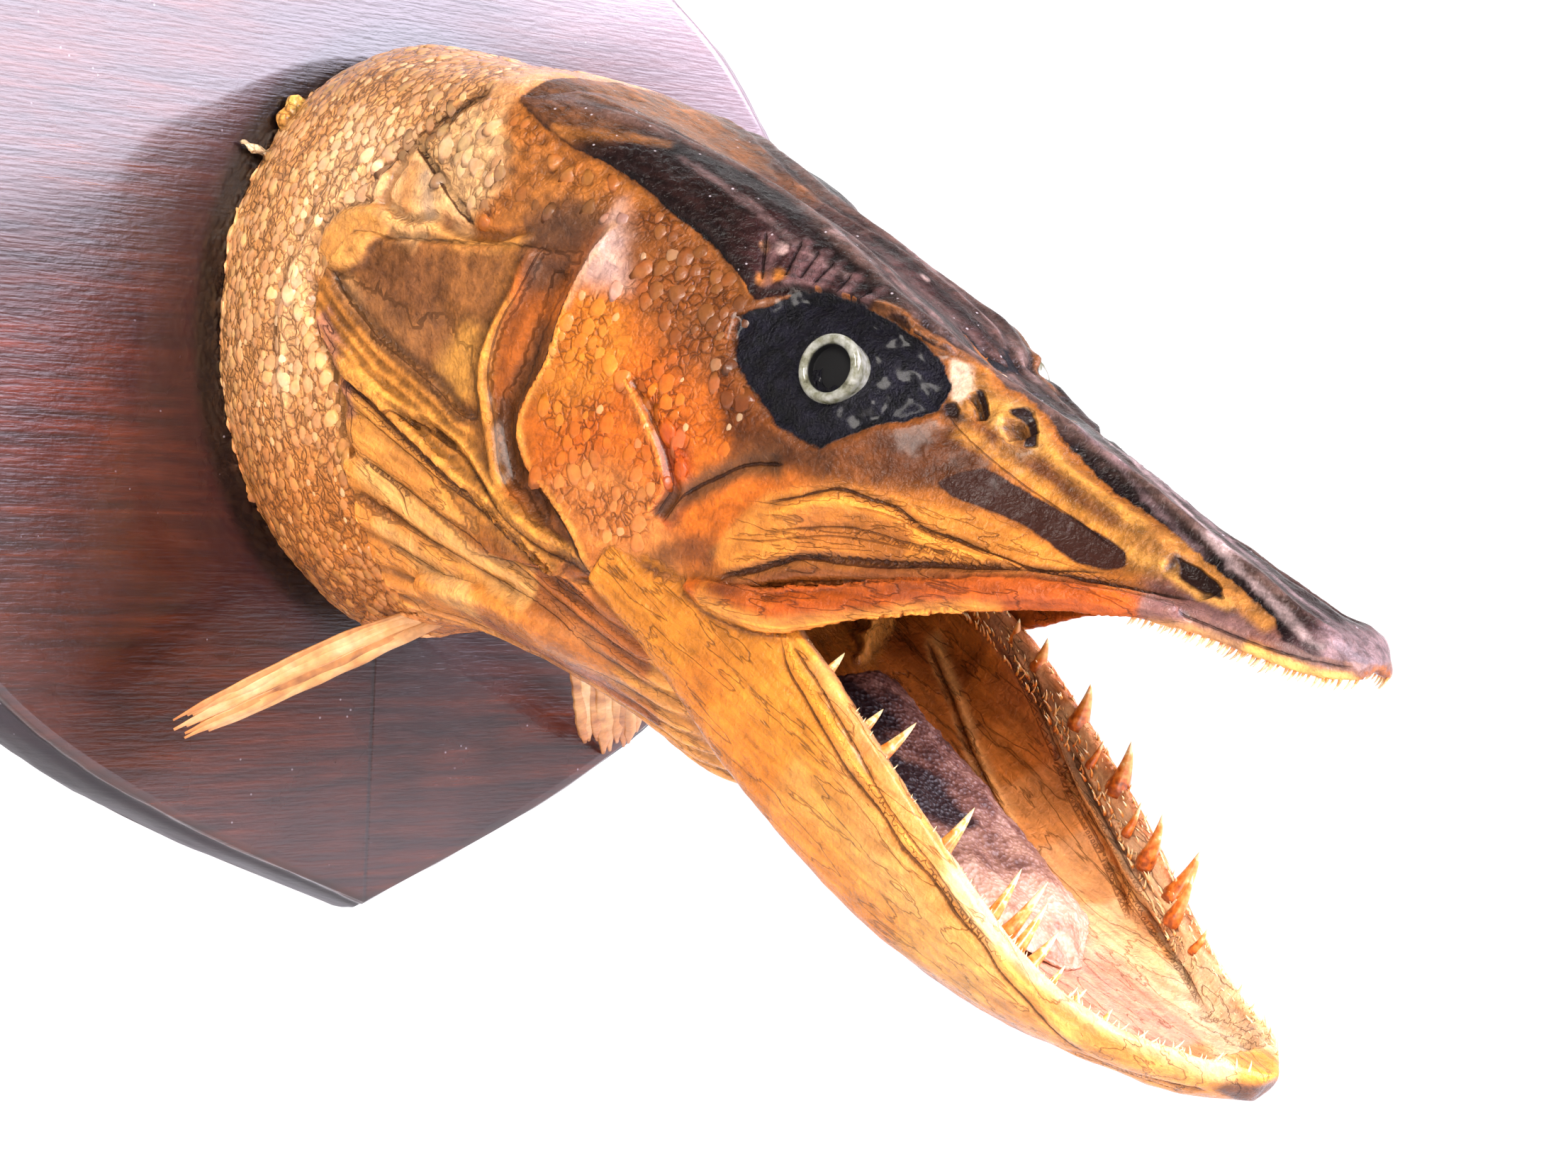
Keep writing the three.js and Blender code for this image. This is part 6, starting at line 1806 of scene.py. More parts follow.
def dried_scales():
    """Dried bony scales under varnish: each one paler at its middle than the hide round it, and glossy.
    It gives the eye pale flakes of different tints, 2 to 5 mm long."""
    made, tree, shader = new_material("varnished_dried_scales", {
        "Roughness": 0.34, "Specular IOR Level": 0.28, "Coat Weight": 0.16, "Coat Roughness": 0.15,
    })
    colour = add(tree, "ShaderNodeAttribute", attribute_name="paint").outputs["Color"]
    tint = add(tree, "ShaderNodeAttribute", attribute_name="tint").outputs["Fac"]
    place = add(tree, "ShaderNodeTexCoord").outputs["Object"]
    grain = add(tree, "ShaderNodeTexNoise", {"Vector": place, "Scale": 900.0, "Detail": 3.0})
    light = add(tree, "ShaderNodeMapRange", {"Value": tint, 1: 0.0, 2: 1.0, 3: 0.76, 4: 1.22})
    grain_light = add(tree, "ShaderNodeMapRange", {"Value": grain, 1: 0.3, 2: 0.7, 3: 0.86, 4: 1.14})
    light = add(tree, "ShaderNodeMath", {0: light, 1: grain_light}, operation="MULTIPLY")
    # Painted shade and light of the skin's hollows, where each scale stands.
    hollow_shading = add(tree, "ShaderNodeAttribute", attribute_name="hollow_shading").outputs["Fac"]
    hollow_shading = add(tree, "ShaderNodeMapRange", {"Value": hollow_shading, 1: -1.2, 2: 1.2, 3: 1.22, 4: 0.6})
    light = add(tree, "ShaderNodeMath", {0: light, 1: hollow_shading}, operation="MULTIPLY")
    tinted = add(tree, "ShaderNodeVectorMath", {0: colour, 1: light}, operation="MULTIPLY")
    # Some scales are yellower than the paint and some redder.
    hue = add(tree, "ShaderNodeTexNoise", {"Vector": place, "Scale": 230.0, "Detail": 1.0})
    hue = add(tree, "ShaderNodeValToRGB", {0: hue},
              stops=[(0.38, "#ffe9d6"), (0.5, "#fff6f0"), (0.62, "#fffae0")])
    tinted = add(tree, "ShaderNodeVectorMath", {0: tinted, 1: hue}, operation="MULTIPLY")
    pale = add(tree, "ShaderNodeMapRange", {"Value": tint, 1: 0.84, 2: 1.0, 3: 0.0, 4: 0.4})
    final = add(tree, "ShaderNodeMix", {"Factor": pale, "A": tinted, "B": "#e9cfa3"}, data_type="RGBA")
    feed(tree, shader, "Base Color", final)
    bump = add(tree, "ShaderNodeBump", {"Height": grain, "Strength": 0.35, "Distance": 0.0004})
    feed(tree, shader, "Normal", bump)
    return made


def tooth_material():
    """Dried tooth under old varnish: amber, deeper orange at the root and cream at the point."""
    made, tree, shader = new_material("varnished_amber_tooth", {
        "Roughness": 0.28, "Subsurface Weight": 0.15, "Subsurface Scale": 0.001, "Coat Weight": 0.4,
    })
    rise = add(tree, "ShaderNodeAttribute", attribute_name="rise").outputs["Fac"]
    place = add(tree, "ShaderNodeTexCoord").outputs["Object"]
    grain = add(tree, "ShaderNodeTexNoise", {"Vector": place, "Scale": 700.0, "Detail": 3.0})
    shade = add(tree, "ShaderNodeMath", {0: rise, 1: grain}, operation="ADD")
    colour = add(tree, "ShaderNodeValToRGB", {0: shade}, stops=[
        (0.40, "#8a3f12"), (0.62, "#d06a1e"), (0.9, "#e6a355"), (1.0, "#f2d3a0"),
    ])
    feed(tree, shader, "Base Color", colour)
    bump = add(tree, "ShaderNodeBump", {"Height": grain, "Strength": 0.2, "Distance": 0.0003})
    feed(tree, shader, "Normal", bump)
    return made


# Fangs of the lower jaw by side: along, length, distance in from the rim, half width, inward lean.
FANGS = {
    1: [(45, 5, 0.0, 1.3, 0.9), (58, 5, 0.5, 1.3, 0.9), (64, 9, 0.5, 1.7, 1.0), (85, 9.5, 0.5, 1.8, 0.8),
        (99, 10, 2.5, 1.5, 0.5), (102, 12, 4.5, 1.7, 0.35), (106, 10, 3.0, 1.5, 0.6), (110, 8, 1.5, 1.6, 1.0),
        (119, 3.5, 2.5, 1.0, 1.0), (114, 4, 3.5, 1.0, 0.6), (125, 3, 2.5, 0.8, 0.9)],
    -1: [(36, 3.5, 1.0, 1.2, 0.2), (44, 5.5, 0.5, 1.7, 0.2), (59, 7.5, 0.3, 2.2, 0.1), (75, 9, 0.2, 2.4, 0.1),
         (91, 10.5, 2.2, 1.9, 0.3), (100, 9, 0.0, 2.4, -0.1), (104, 8.5, 2.6, 1.7, 0.0),
         (68, 4.5, 2.8, 0.9, 0.0), (84, 5.5, 3.0, 1.0, 0.0), (112, 4, 1.8, 1.0, 0.0)],
}


FANG_STEPS = 14
FANG_SIDES = 14


def build_fangs():
    """The large teeth of the lower jaw: curved cones that lean inwards and back."""
    rng = np.random.default_rng(11)
    shells, rises = [], []
    for side, row in FANGS.items():
        for at, length, inset, radius, lean in row:
            rim, top = float(JAW["rim_across"](at)), float(JAW["rim_height"](at))
            root = np.array([at + 0.6, rim - 1.6 - inset, top - 1.4 - 0.5 * inset])
            aim = np.array([rng.uniform(-0.32, -0.05), -lean, 1.0])
            t = np.linspace(-0.15, 1, FANG_STEPS)
            path = root + aim / np.linalg.norm(aim) * (length + 1.4) * t[:, None]
            path = path + (np.clip(t, 0, 1) * (1 - t))[:, None] * np.array([0.16, 0.10, 0]) * length
            widths = radius * np.clip(1 - t, 0, 1) ** 0.8 * (1 + 0.1 * np.exp(-((t / 0.16) ** 2))) + 0.05
            points, faces = tube(path, widths, 0.85, np.array([1.0, 0.0, 0.0]), FANG_SIDES)
            points = points * (1, side, 1)
            shells.append((to_world(jaw_to_fish(points)), faces))
            shade = 0.46 if side > 0 else 0.34
            rises.append(np.concatenate([np.repeat(t * 0.55 + shade - 0.35, FANG_SIDES), [0, 1]]))
    made = add_mesh("fangs", *joined(shells), tooth_material())
    store(made.data, "rise", np.concatenate(rises))
    finish_piece(made, "jaw_skin")
    return made


def tooth_points():
    """Roots, directions, leans and lengths of the needle teeth, in the row frame."""
    rng = np.random.default_rng(23)
    roots, ups, leans, lengths = [], [], [], []
    for side in (1, -1):
        for at in np.arange(24, 148, 0.9):
            for row in range(5):
                at_here = at + rng.uniform(-0.6, 0.6)
                rim, top = float(JAW["rim_across"](at_here)), float(JAW["rim_height"](at_here))
                inset = RIM_THICKNESS * 0.45 + 0.5 * row + rng.uniform(-0.3, 0.3)
                if rim - inset < 0.5 or rng.uniform() < 0.25:
                    continue
                root = np.array([at_here, side * (rim - inset), top - 0.2 - 1.5 * row])
                up = np.array([rng.uniform(-0.9, 0.6), side * rng.uniform(-1.1, 0.0), 1.0])
                roots.append(jaw_to_fish(root))
                ups.append(jaw_to_fish(up))
                leans.append(jaw_to_fish(np.array([-1.0, -0.4 * side, 0.0])))
                lengths.append(rng.uniform(1.0, 2.6) * (1.1 if at > 118 or side < 0 else 0.7))
        for at in np.arange(104, 142.5, 0.85):
            at_here = at + rng.uniform(-0.4, 0.4)
            lip, low = float(BODY["lip_across"](at_here)), float(BODY["lip_height"](at_here))
            roots.append(np.array([at_here, side * max(lip - 1.2, 0.6), low + 0.6]))
            ups.append(np.array([-0.25, side * rng.uniform(-0.2, 0.2), -1.0]))
            leans.append(np.array([-1.0, 0.0, 0.0]))
            lengths.append(rng.uniform(1.7, 2.9))
        for at in np.arange(52, 128, 1.7):
            for row in range(3):
                at_here = at + rng.uniform(-0.8, 0.8)
                across = float(BODY["palate_across"](at_here)) * (0.55 + 0.2 * row) + rng.uniform(-0.6, 0.6)
                lift = float(BODY["palate_height"](at_here)) * 0.9
                roots.append(np.array([at_here, side * across, lift - 1.4 * row]))
                ups.append(np.array([-0.5, 0.0, -1.0]))
                leans.append(np.array([-1.0, 0.0, 0.0]))
                lengths.append(rng.uniform(1.6, 3.2))
    world = to_world(np.array(roots))
    return world, np.array(ups) @ AXES, np.array(leans) @ AXES, np.array(lengths)


def build_needles():
    """Needle teeth in bands along both jaws and the palate, made as instances and realized."""
    roots, ups, leans, lengths = tooth_points()
    host = bpy.data.meshes.new("needle_teeth")
    host.from_pydata((roots * MM).tolist(), [], [])
    store(host, "upward", ups)
    store(host, "lean", leans)
    store(host, "length", lengths)
    tree, inputs, given, output = new_tree("needle_teeth", [
        ("Geometry", "NodeSocketGeometry"), ("Tooth shape", "NodeSocketObject"),
        ("Tooth size", "NodeSocketFloat"),
    ])
    shape = add(tree, "GeometryNodeObjectInfo", {"Object": given.outputs["Tooth shape"]}).outputs["Geometry"]
    upward = add(tree, "GeometryNodeInputNamedAttribute", {"Name": "upward"}, data_type="FLOAT_VECTOR")
    lean = add(tree, "GeometryNodeInputNamedAttribute", {"Name": "lean"}, data_type="FLOAT_VECTOR")
    length = add(tree, "GeometryNodeInputNamedAttribute", {"Name": "length"}, data_type="FLOAT")
    turned = add(tree, "FunctionNodeAxesToRotation", {"Primary Axis": upward, "Secondary Axis": lean},
                 primary_axis="Z", secondary_axis="X")
    size = add(tree, "ShaderNodeMath", {0: length, 1: given.outputs["Tooth size"]}, operation="MULTIPLY")
    placed = add(tree, "GeometryNodeInstanceOnPoints", {
        "Points": given.outputs["Geometry"], "Instance": shape, "Rotation": turned, "Scale": size,
    })
    real = add(tree, "GeometryNodeRealizeInstances", {"Geometry": placed})
    painted = add(tree, "GeometryNodeSetMaterial", {"Geometry": real, "Material": tooth_material()})
    feed(tree, output, "Geometry", painted)
    made = instanced("needle_teeth", tree, inputs, {
        "Tooth shape": hidden_shape("needle_shape", tooth_shape()), "Tooth size": MM,
    }, host)
    mesh = made.data
    local = np.empty(len(mesh.vertices) * 3, np.float32)
    mesh.attributes["local"].data.foreach_get("vector", local)
    jaw = fish_to_jaw(to_fish(read_points(mesh)))
    # Painted shade: the needle teeth darken towards the back on the far side, under the upper jaw.
    behind = ease(jaw[:, 0], 104, 60) * (jaw[:, 1] < 0)
    upper = to_fish(read_points(mesh))[:, 2] > 0
    tone_and_shade = np.where(upper, 0.30, 0.42 - 0.30 * behind)
    store(mesh, "rise", tone_and_shade + 0.4 * local.reshape(-1, 3)[:, 2])
    mesh.shade_smooth()
    finish_piece(made, "jaw_skin")
    return made


# ---------------------------------------------------------------- fins
def build_fin(name, seed):
    """A pectoral fin: dried rays side by side, rooted under the skin."""
    rng = np.random.default_rng(seed)
    rays = fin_rays(name, rng)
    tints = np.concatenate([np.full(len(points), rng.uniform(0, 1)) for points, _ in rays])
    one_ray = np.concatenate([np.repeat(np.linspace(0, 1, FIN_RAY_STEPS), FIN_RAY_SIDES), [0, 1]])
    along = np.tile(one_ray, FIN_RAY_COUNT)
    made = add_mesh("pectoral_fin_" + name, *joined(rays), dried_fin())
    store(made.data, "tint", tints)
    store(made.data, "along", along)
    finish_piece(made, "fin_skin", "pectoral_fin_" + name)
    return made


def dried_fin():
    """Dried fin rays: pale tan fibres, each of its own tint, with fine lengthwise streaks and orange tips."""
    made, tree, shader = new_material("dried_fin_rays", {"Roughness": 0.45, "Coat Weight": 0.1})
    tint = add(tree, "ShaderNodeAttribute", attribute_name="tint").outputs["Fac"]
    along = add(tree, "ShaderNodeAttribute", attribute_name="along").outputs["Fac"]
    place = add(tree, "ShaderNodeTexCoord").outputs["Object"]
    fibres = add(tree, "ShaderNodeTexNoise", {"Vector": place, "Scale": 600.0, "Detail": 4.0})
    patches = add(tree, "ShaderNodeTexNoise", {"Vector": place, "Scale": 110.0, "Detail": 3.0})
    shade = add(tree, "ShaderNodeMath", {0: tint, 1: 0.35, 2: patches}, operation="MULTIPLY_ADD")
    colour = add(tree, "ShaderNodeValToRGB", {0: shade}, stops=[
        (0.35, "#7a4420"), (0.52, "#b87a40"), (0.70, "#d39a5c"), (0.95, "#e6be8c"),
    ])
    ends = add(tree, "ShaderNodeMapRange", {"Value": along, 1: 0.8, 2: 1.0, 3: 0.0, 4: 0.6})
    colour = add(tree, "ShaderNodeMix", {"Factor": ends, "A": colour, "B": "#c4763a"}, data_type="RGBA")
    light = add(tree, "ShaderNodeMapRange", {"Value": fibres, 1: 0.3, 2: 0.7, 3: 0.82, 4: 1.12})
    colour = add(tree, "ShaderNodeVectorMath", {0: colour, 1: light}, operation="MULTIPLY")
    feed(tree, shader, "Base Color", colour)
    bump = add(tree, "ShaderNodeBump", {"Height": fibres, "Strength": 0.5, "Distance": 0.0005})
    feed(tree, shader, "Normal", bump)
    return made


# ---------------------------------------------------------------- tongue and eyes
TONGUE = {"back": 26, "front": 106, "half_width": 16}


def build_tongue():
    """The dried tongue: a flat, blunt, granular pad on the floor of the jaw."""
    rings = []
    for at in np.linspace(TONGUE["back"], TONGUE["front"], 120):
        t = (at - TONGUE["back"]) / (TONGUE["front"] - TONGUE["back"])
        half_width = TONGUE["half_width"] * 1.22 * math.sqrt(1 - 0.6 * t * t)
        half_width *= 1 - 0.8 * max(t - 0.88, 0) / 0.12
        bottom = float(JAW["floor_height"](at)) + 0.4
        top = -2.6 - 3.9 * t - 3.2 * max(t - 0.86, 0) / 0.14
        edge = (half_width, (top + bottom) / 2)
        half = spline([(0, top - 0.5), (half_width * 0.55, top), (half_width * 0.88, top - 1.4), edge,
                       (0, bottom)], 36)
        rings.append(to_world(jaw_to_fish(ring(half, at))))
    points, faces = loft(rings)
    made = add_mesh("tongue", points, closed(points, faces))
    mesh = made.data
    points = read_points(mesh)
    bumps = roughen(points, 1.6, 8) * 0.5 + roughen(points, 7, 9) * 0.6
    write_points(mesh, points + read_normals(mesh) * bumps[:, None])
    jaw = fish_to_jaw(to_fish(points))
    blotch = roughen(points, 6, 10) * 0.5
    dark = ease(np.linalg.norm((jaw - (60, 5, -5)) / (11, 9, 12), axis=1) + blotch, 1.25, 0.75)
    further = np.linalg.norm((jaw - (36, 6, -4)) / (12, 14, 14), axis=1) + blotch
    dark = np.maximum(dark, ease(further, 1.2, 0.7))
    store(mesh, "dark", dark)
    store(mesh, "front", ease(jaw[:, 0] + roughen(points, 6, 16) * 9, 68, 99))
    mesh.materials.append(dried_flesh())
    finish_piece(made, "mouth_lining", "tongue")
    return made


def dried_flesh():
    """Dried, painted flesh of the tongue: dull and granular, pinkish brown with purple-black stains."""
    made, tree, shader = new_material("dried_painted_flesh", {"Roughness": 0.5, "Coat Weight": 0.2})
    place = add(tree, "ShaderNodeTexCoord").outputs["Object"]
    dark = add(tree, "ShaderNodeAttribute", attribute_name="dark").outputs["Fac"]
    stains = add(tree, "ShaderNodeTexNoise",
                 {"Vector": place, "Scale": 130.0, "Detail": 6.0, "Roughness": 0.65})
    grains = add(tree, "ShaderNodeTexVoronoi", {"Vector": place, "Scale": 900.0})
    shade = add(tree, "ShaderNodeMath", {0: stains, 1: 0.1}, operation="ADD")
    colour = add(tree, "ShaderNodeValToRGB", {0: shade}, stops=[
        (0.40, "#331a17"), (0.52, "#522e26"), (0.64, "#7a5044"), (0.78, "#a88070"),
    ])
    front = add(tree, "ShaderNodeAttribute", attribute_name="front").outputs["Fac"]
    flesh = add(tree, "ShaderNodeValToRGB", {0: shade}, stops=[
        (0.40, "#7d4c3c"), (0.50, "#a5735c"), (0.62, "#c2947a"), (0.78, "#d6b49c"),
    ])
    colour = add(tree, "ShaderNodeMix", {"Factor": front, "A": colour, "B": flesh}, data_type="RGBA")
    stained = add(tree, "ShaderNodeMix", {"Factor": dark, "A": colour, "B": "#1c0c12"}, data_type="RGBA")
    feed(tree, shader, "Base Color", stained)
    bump = add(tree, "ShaderNodeBump",
               {"Height": grains.outputs["Distance"], "Strength": 0.8, "Distance": 0.0007})
    feed(tree, shader, "Normal", bump)
    return made


EYE_PROFILE = [(0, -4.0), (4.6, -4.0), (5.8, -3.2), (6.3, -1.4), (6.6, 0.6), (6.85, 1.9), (6.8, 2.8),
               (6.4, 3.45), (5.9, 3.7), (5.3, 3.55), (4.9, 3.2), (4.7, 2.6), (4.65, 1.9), (4.6, 1.3),
               (4.3, 1.1), (2.4, 1.15), (1.2, 1.2), (0, 1.2)]
EYE_LOOK = np.array([0.12, 0.96, 0.19])
EYE_CORNERS = 72


def build_eye(name, side):
    """A glass eye: a raised pale ring with a black pupil sunk in it, set in the filler."""
    profile = spline(EYE_PROFILE, 96)
    axis = EYE_LOOK * (1, side, 1) / np.linalg.norm(EYE_LOOK)
    wide = np.cross(axis, (0, 0, 1))
    wide /= np.linalg.norm(wide)
    high = np.cross(wide, axis)
    centre = EYE_AT * (1, side, 1) + axis * 3.2
    angle = np.linspace(0, 2 * np.pi, EYE_CORNERS, endpoint=False)
    around = np.cos(angle)[:, None] * wide + np.sin(angle)[:, None] * high
    rings = [centre + axis * rise + around * max(radius, 0.02) for radius, rise in profile]
    points, faces = loft(rings)
    world = to_world(points)
    made = add_mesh(name, world, closed(world, faces))
    radius = np.concatenate([np.repeat(profile[:, 0], EYE_CORNERS), [0, 0]])
    rise = np.concatenate([np.repeat(profile[:, 1], EYE_CORNERS), [-4, 1.2]])
    pupil = ease(radius, 4.95, 4.72) * ease(rise, 3.3, 2.6) * (rise > -3)
    store(made.data, "pupil", pupil)
    store(made.data, "radius", radius)
    made.data.materials.append(aged_glass())
    finish_piece(made, "eye_glass", name)
    return made


def aged_glass():
    """Moulded glass with a painted iris: a milky grey-green ring, stained olive, and a black pupil."""
    made, tree, shader = new_material("moulded_glass_eye", {
        "Specular IOR Level": 0.3, "Coat Roughness": 0.05,
    })
    place = add(tree, "ShaderNodeTexCoord").outputs["Object"]
    pupil = add(tree, "ShaderNodeAttribute", attribute_name="pupil").outputs["Fac"]
    radius = add(tree, "ShaderNodeAttribute", attribute_name="radius").outputs["Fac"]
    stains = add(tree, "ShaderNodeTexNoise",
                 {"Vector": place, "Scale": 420.0, "Detail": 5.0, "Roughness": 0.6})
    colour = add(tree, "ShaderNodeValToRGB", {0: stains}, stops=[
        (0.3, "#3f3d2c"), (0.43, "#6f6f5c"), (0.58, "#93948a"), (0.8, "#b8b8ac"),
    ])
    outer = add(tree, "ShaderNodeMapRange", {"Value": radius, 1: 6.4, 2: 7.1, 3: 0.0, 4: 0.55})
    ring_colour = add(tree, "ShaderNodeMix", {"Factor": outer, "A": colour, "B": "#55563c"}, data_type="RGBA")
    final = add(tree, "ShaderNodeMix", {"Factor": pupil, "A": ring_colour, "B": "#020203"}, data_type="RGBA")
    feed(tree, shader, "Base Color", final)
    rough = add(tree, "ShaderNodeMapRange", {"Value": pupil, 1: 0.0, 2: 1.0, 3: 0.14, 4: 0.75})
    feed(tree, shader, "Roughness", rough)
    coat = add(tree, "ShaderNodeMapRange", {"Value": pupil, 1: 0.0, 2: 1.0, 3: 0.35, 4: 0.0})
    feed(tree, shader, "Coat Weight", coat)
    return made


# ---------------------------------------------------------------- the board
BOARD_CENTRE = -2.5
BOARD_HALF = [(0, -135), (55, -110.5), (94, -84), (121, -48), (131, -8), (127, 32), (100, 73), (67, 99),
              (53, 118), (50, 136)]
BOARD_CREST = [(50, 136), (28, 146), (0, 150)]
MOULDING = [(0, 0), (0.05, 0.25), (0.12, 0.8), (0.16, 1.6), (0.2, 2.6), (0.34, 3.3), (0.5, 4), (0.66, 5.2),
            (0.82, 7.5), (0.95, 10), (1, 12.5), (0.98, 15), (0.9, 16)]


def build_board():
    """The wall board: a flat shield with a moulded edge."""
    right = np.vstack([spline(BOARD_HALF, 150), spline(BOARD_CREST, 24)[1:]])
    outline = np.vstack([right, right[1:-1][::-1] * (-1, 1)])
    rings = []
    for share in (0.02, 0.2, 0.4, 0.6, 0.75, 0.88, 0.95, 0.985):
        flat = outline * share
        level = np.full(len(flat), BOARD_FRONT)
        rings.append(np.column_stack([BOARD_CENTRE + flat[:, 0], level, flat[:, 1]]))
    for flare, depth in spline(MOULDING, 48):
        x = BOARD_CENTRE + outline[:, 0] * (1 + 0.07 * flare)
        level = np.full(len(outline), BOARD_FRONT + depth)
        rings.append(np.column_stack([x, level, outline[:, 1] * (1 + 0.02 * flare)]))
    for share in (0.97, 0.6, 0.02):
        x = BOARD_CENTRE + outline[:, 0] * 1.063 * share
        rings.append(np.column_stack([x, np.zeros(len(outline)), outline[:, 1] * 1.018 * share]))
    points, faces = loft(rings)
    made = add_mesh("board", points, closed(points, faces))
    mesh = made.data
    points = read_points(mesh)
    on_edge = ease(points[:, 1], BOARD_FRONT + 0.1, BOARD_FRONT + 1)
    wear = roughen(points, 18, 12) * 0.5 + roughen(points, 4, 13) * 0.25
    write_points(mesh, points + read_normals(mesh) * (on_edge * wear * (points[:, 1] < -1))[:, None])
    mesh.materials.append(stained_wood())
    finish_piece(made, "board_wood", "board")
    return made


def stained_wood():
    """Dark mahogany, stained and varnished by hand: fine grain from side to side, dust and a rubbed patch.
    It gives the eye red-brown streaks 1 to 3 mm wide, a glossy coat and pale specks."""
    made, tree, shader = new_material("varnished_mahogany", {
        "Specular IOR Level": 0.5, "Coat Roughness": 0.1,
    })
    place = add(tree, "ShaderNodeTexCoord").outputs["Object"]
    parts = add(tree, "ShaderNodeSeparateXYZ", {0: place})
    along = add(tree, "ShaderNodeMapping", {"Vector": place, "Scale": (26.0, 60.0, 420.0)})
    grain = add(tree, "ShaderNodeTexNoise", {"Vector": along, "Scale": 1.0, "Detail": 6.0, "Distortion": 0.5})
    pores = add(tree, "ShaderNodeMapping", {"Vector": place, "Scale": (130.0, 300.0, 1500.0)})
    pores = add(tree, "ShaderNodeTexNoise", {"Vector": pores, "Scale": 1.0, "Detail": 3.0})
    clouds = add(tree, "ShaderNodeTexNoise",
                 {"Vector": place, "Scale": 17.0, "Detail": 5.0, "Roughness": 0.6})
    colour = add(tree, "ShaderNodeValToRGB", {0: grain}, stops=[
        (0.30, "#240d07"), (0.45, "#371309"), (0.58, "#44190a"), (0.75, "#56240f"),
    ])
    cloudy = add(tree, "ShaderNodeMapRange", {"Value": clouds, 1: 0.35, 2: 0.65, 3: 0.5, 4: 1.3})
    pore_light = add(tree, "ShaderNodeMapRange", {"Value": pores, 1: 0.35, 2: 0.55, 3: 0.7, 4: 1.05})
    light = add(tree, "ShaderNodeMath", {0: cloudy, 1: pore_light}, operation="MULTIPLY")
    wood = add(tree, "ShaderNodeVectorMath", {0: colour, 1: light}, operation="MULTIPLY")
    # The patch rubbed down to orange wood, on the left.
    away = add(tree, "ShaderNodeVectorMath", {0: place, 1: (-0.094, -0.016, -0.018)}, operation="SUBTRACT")
    away = add(tree, "ShaderNodeVectorMath", {0: away, 1: (30.0, 0.0, 34.0)}, operation="MULTIPLY")
    away = add(tree, "ShaderNodeVectorMath", {0: away}, operation="LENGTH").outputs["Value"]
    rubbed = add(tree, "ShaderNodeMath", {0: away, 1: clouds}, operation="ADD")
    rubbed = add(tree, "ShaderNodeMapRange", {"Value": rubbed, 1: 1.5, 2: 0.7, 3: 0.0, 4: 0.8})
    rubbed_light = add(tree, "ShaderNodeVectorMath", {0: wood, 1: (2.1, 1.35, 0.9)}, operation="MULTIPLY")
    wood = add(tree, "ShaderNodeMix", {"Factor": rubbed, "A": wood, "B": rubbed_light}, data_type="RGBA")
    # Painted shadow round the foot of the neck, partly dark glue.
    foot = add(tree, "ShaderNodeVectorMath", {0: place, 1: (0.0015, -0.016, 0.0)}, operation="SUBTRACT")
    foot = add(tree, "ShaderNodeVectorMath", {0: foot, 1: (19.0, 0.0, 14.2)}, operation="MULTIPLY")
    foot = add(tree, "ShaderNodeVectorMath", {0: foot}, operation="LENGTH").outputs["Value"]
    ragged = add(tree, "ShaderNodeMath", {0: clouds, 1: 0.35, 2: foot}, operation="MULTIPLY_ADD")
    neck_shadow_and_glue = add(tree, "ShaderNodeMapRange", {"Value": ragged, 1: 1.62, 2: 1.2, 3: 0.0, 4: 0.7})
    wood = add(tree, "ShaderNodeMix", {"Factor": neck_shadow_and_glue, "A": wood, "B": "#26131a"}, data_type="RGBA")
    # Near-black painted shade in the gap against the neck, partly dark filler.
    gap_shade_and_filler = add(tree, "ShaderNodeMapRange", {"Value": foot, 1: 1.06, 2: 1.01, 3: 0.0, 4: 0.95})
    wood = add(tree, "ShaderNodeMix", {"Factor": gap_shade_and_filler, "A": wood, "B": "#060305"}, data_type="RGBA")
    # The joint of its two planks, about 1 mm wide, below the neck.
    joint = add(tree, "ShaderNodeMath", {0: parts.outputs["X"], 1: 0.0023}, operation="ADD")
    joint = add(tree, "ShaderNodeMath", {0: joint}, operation="ABSOLUTE")
    joint = add(tree, "ShaderNodeMapRange", {"Value": joint, 1: 0.0002, 2: 0.0007, 3: 0.85, 4: 0.0})
    low = add(tree, "ShaderNodeMapRange", {"Value": parts.outputs["Z"], 1: -0.06, 2: -0.07, 3: 0.0, 4: 1.0})
    joint = add(tree, "ShaderNodeMath", {0: joint, 1: low}, operation="MULTIPLY")
    wood = add(tree, "ShaderNodeMix", {"Factor": joint, "A": wood, "B": "#170b0a"}, data_type="RGBA")
    # The dark paint of the moulded edge.
    edge = add(tree, "ShaderNodeMapRange",
               {"Value": parts.outputs["Y"], 1: -0.0153, 2: -0.0138, 3: 0.0, 4: 0.9})
    edge_colour = add(tree, "ShaderNodeValToRGB", {0: clouds}, stops=[(0.3, "#0c0a10"), (0.7, "#262028")])
    wood = add(tree, "ShaderNodeMix", {"Factor": edge, "A": wood, "B": edge_colour}, data_type="RGBA")
    # The back is bare.
    bare = add(tree, "ShaderNodeMapRange",
               {"Value": parts.outputs["Y"], 1: -0.0008, 2: -0.0002, 3: 0.0, 4: 1.0})
    bare_colour = add(tree, "ShaderNodeValToRGB", {0: grain}, stops=[(0.35, "#6d4527"), (0.6, "#96683c")])
    wood = add(tree, "ShaderNodeMix", {"Factor": bare, "A": wood, "B": bare_colour}, data_type="RGBA")
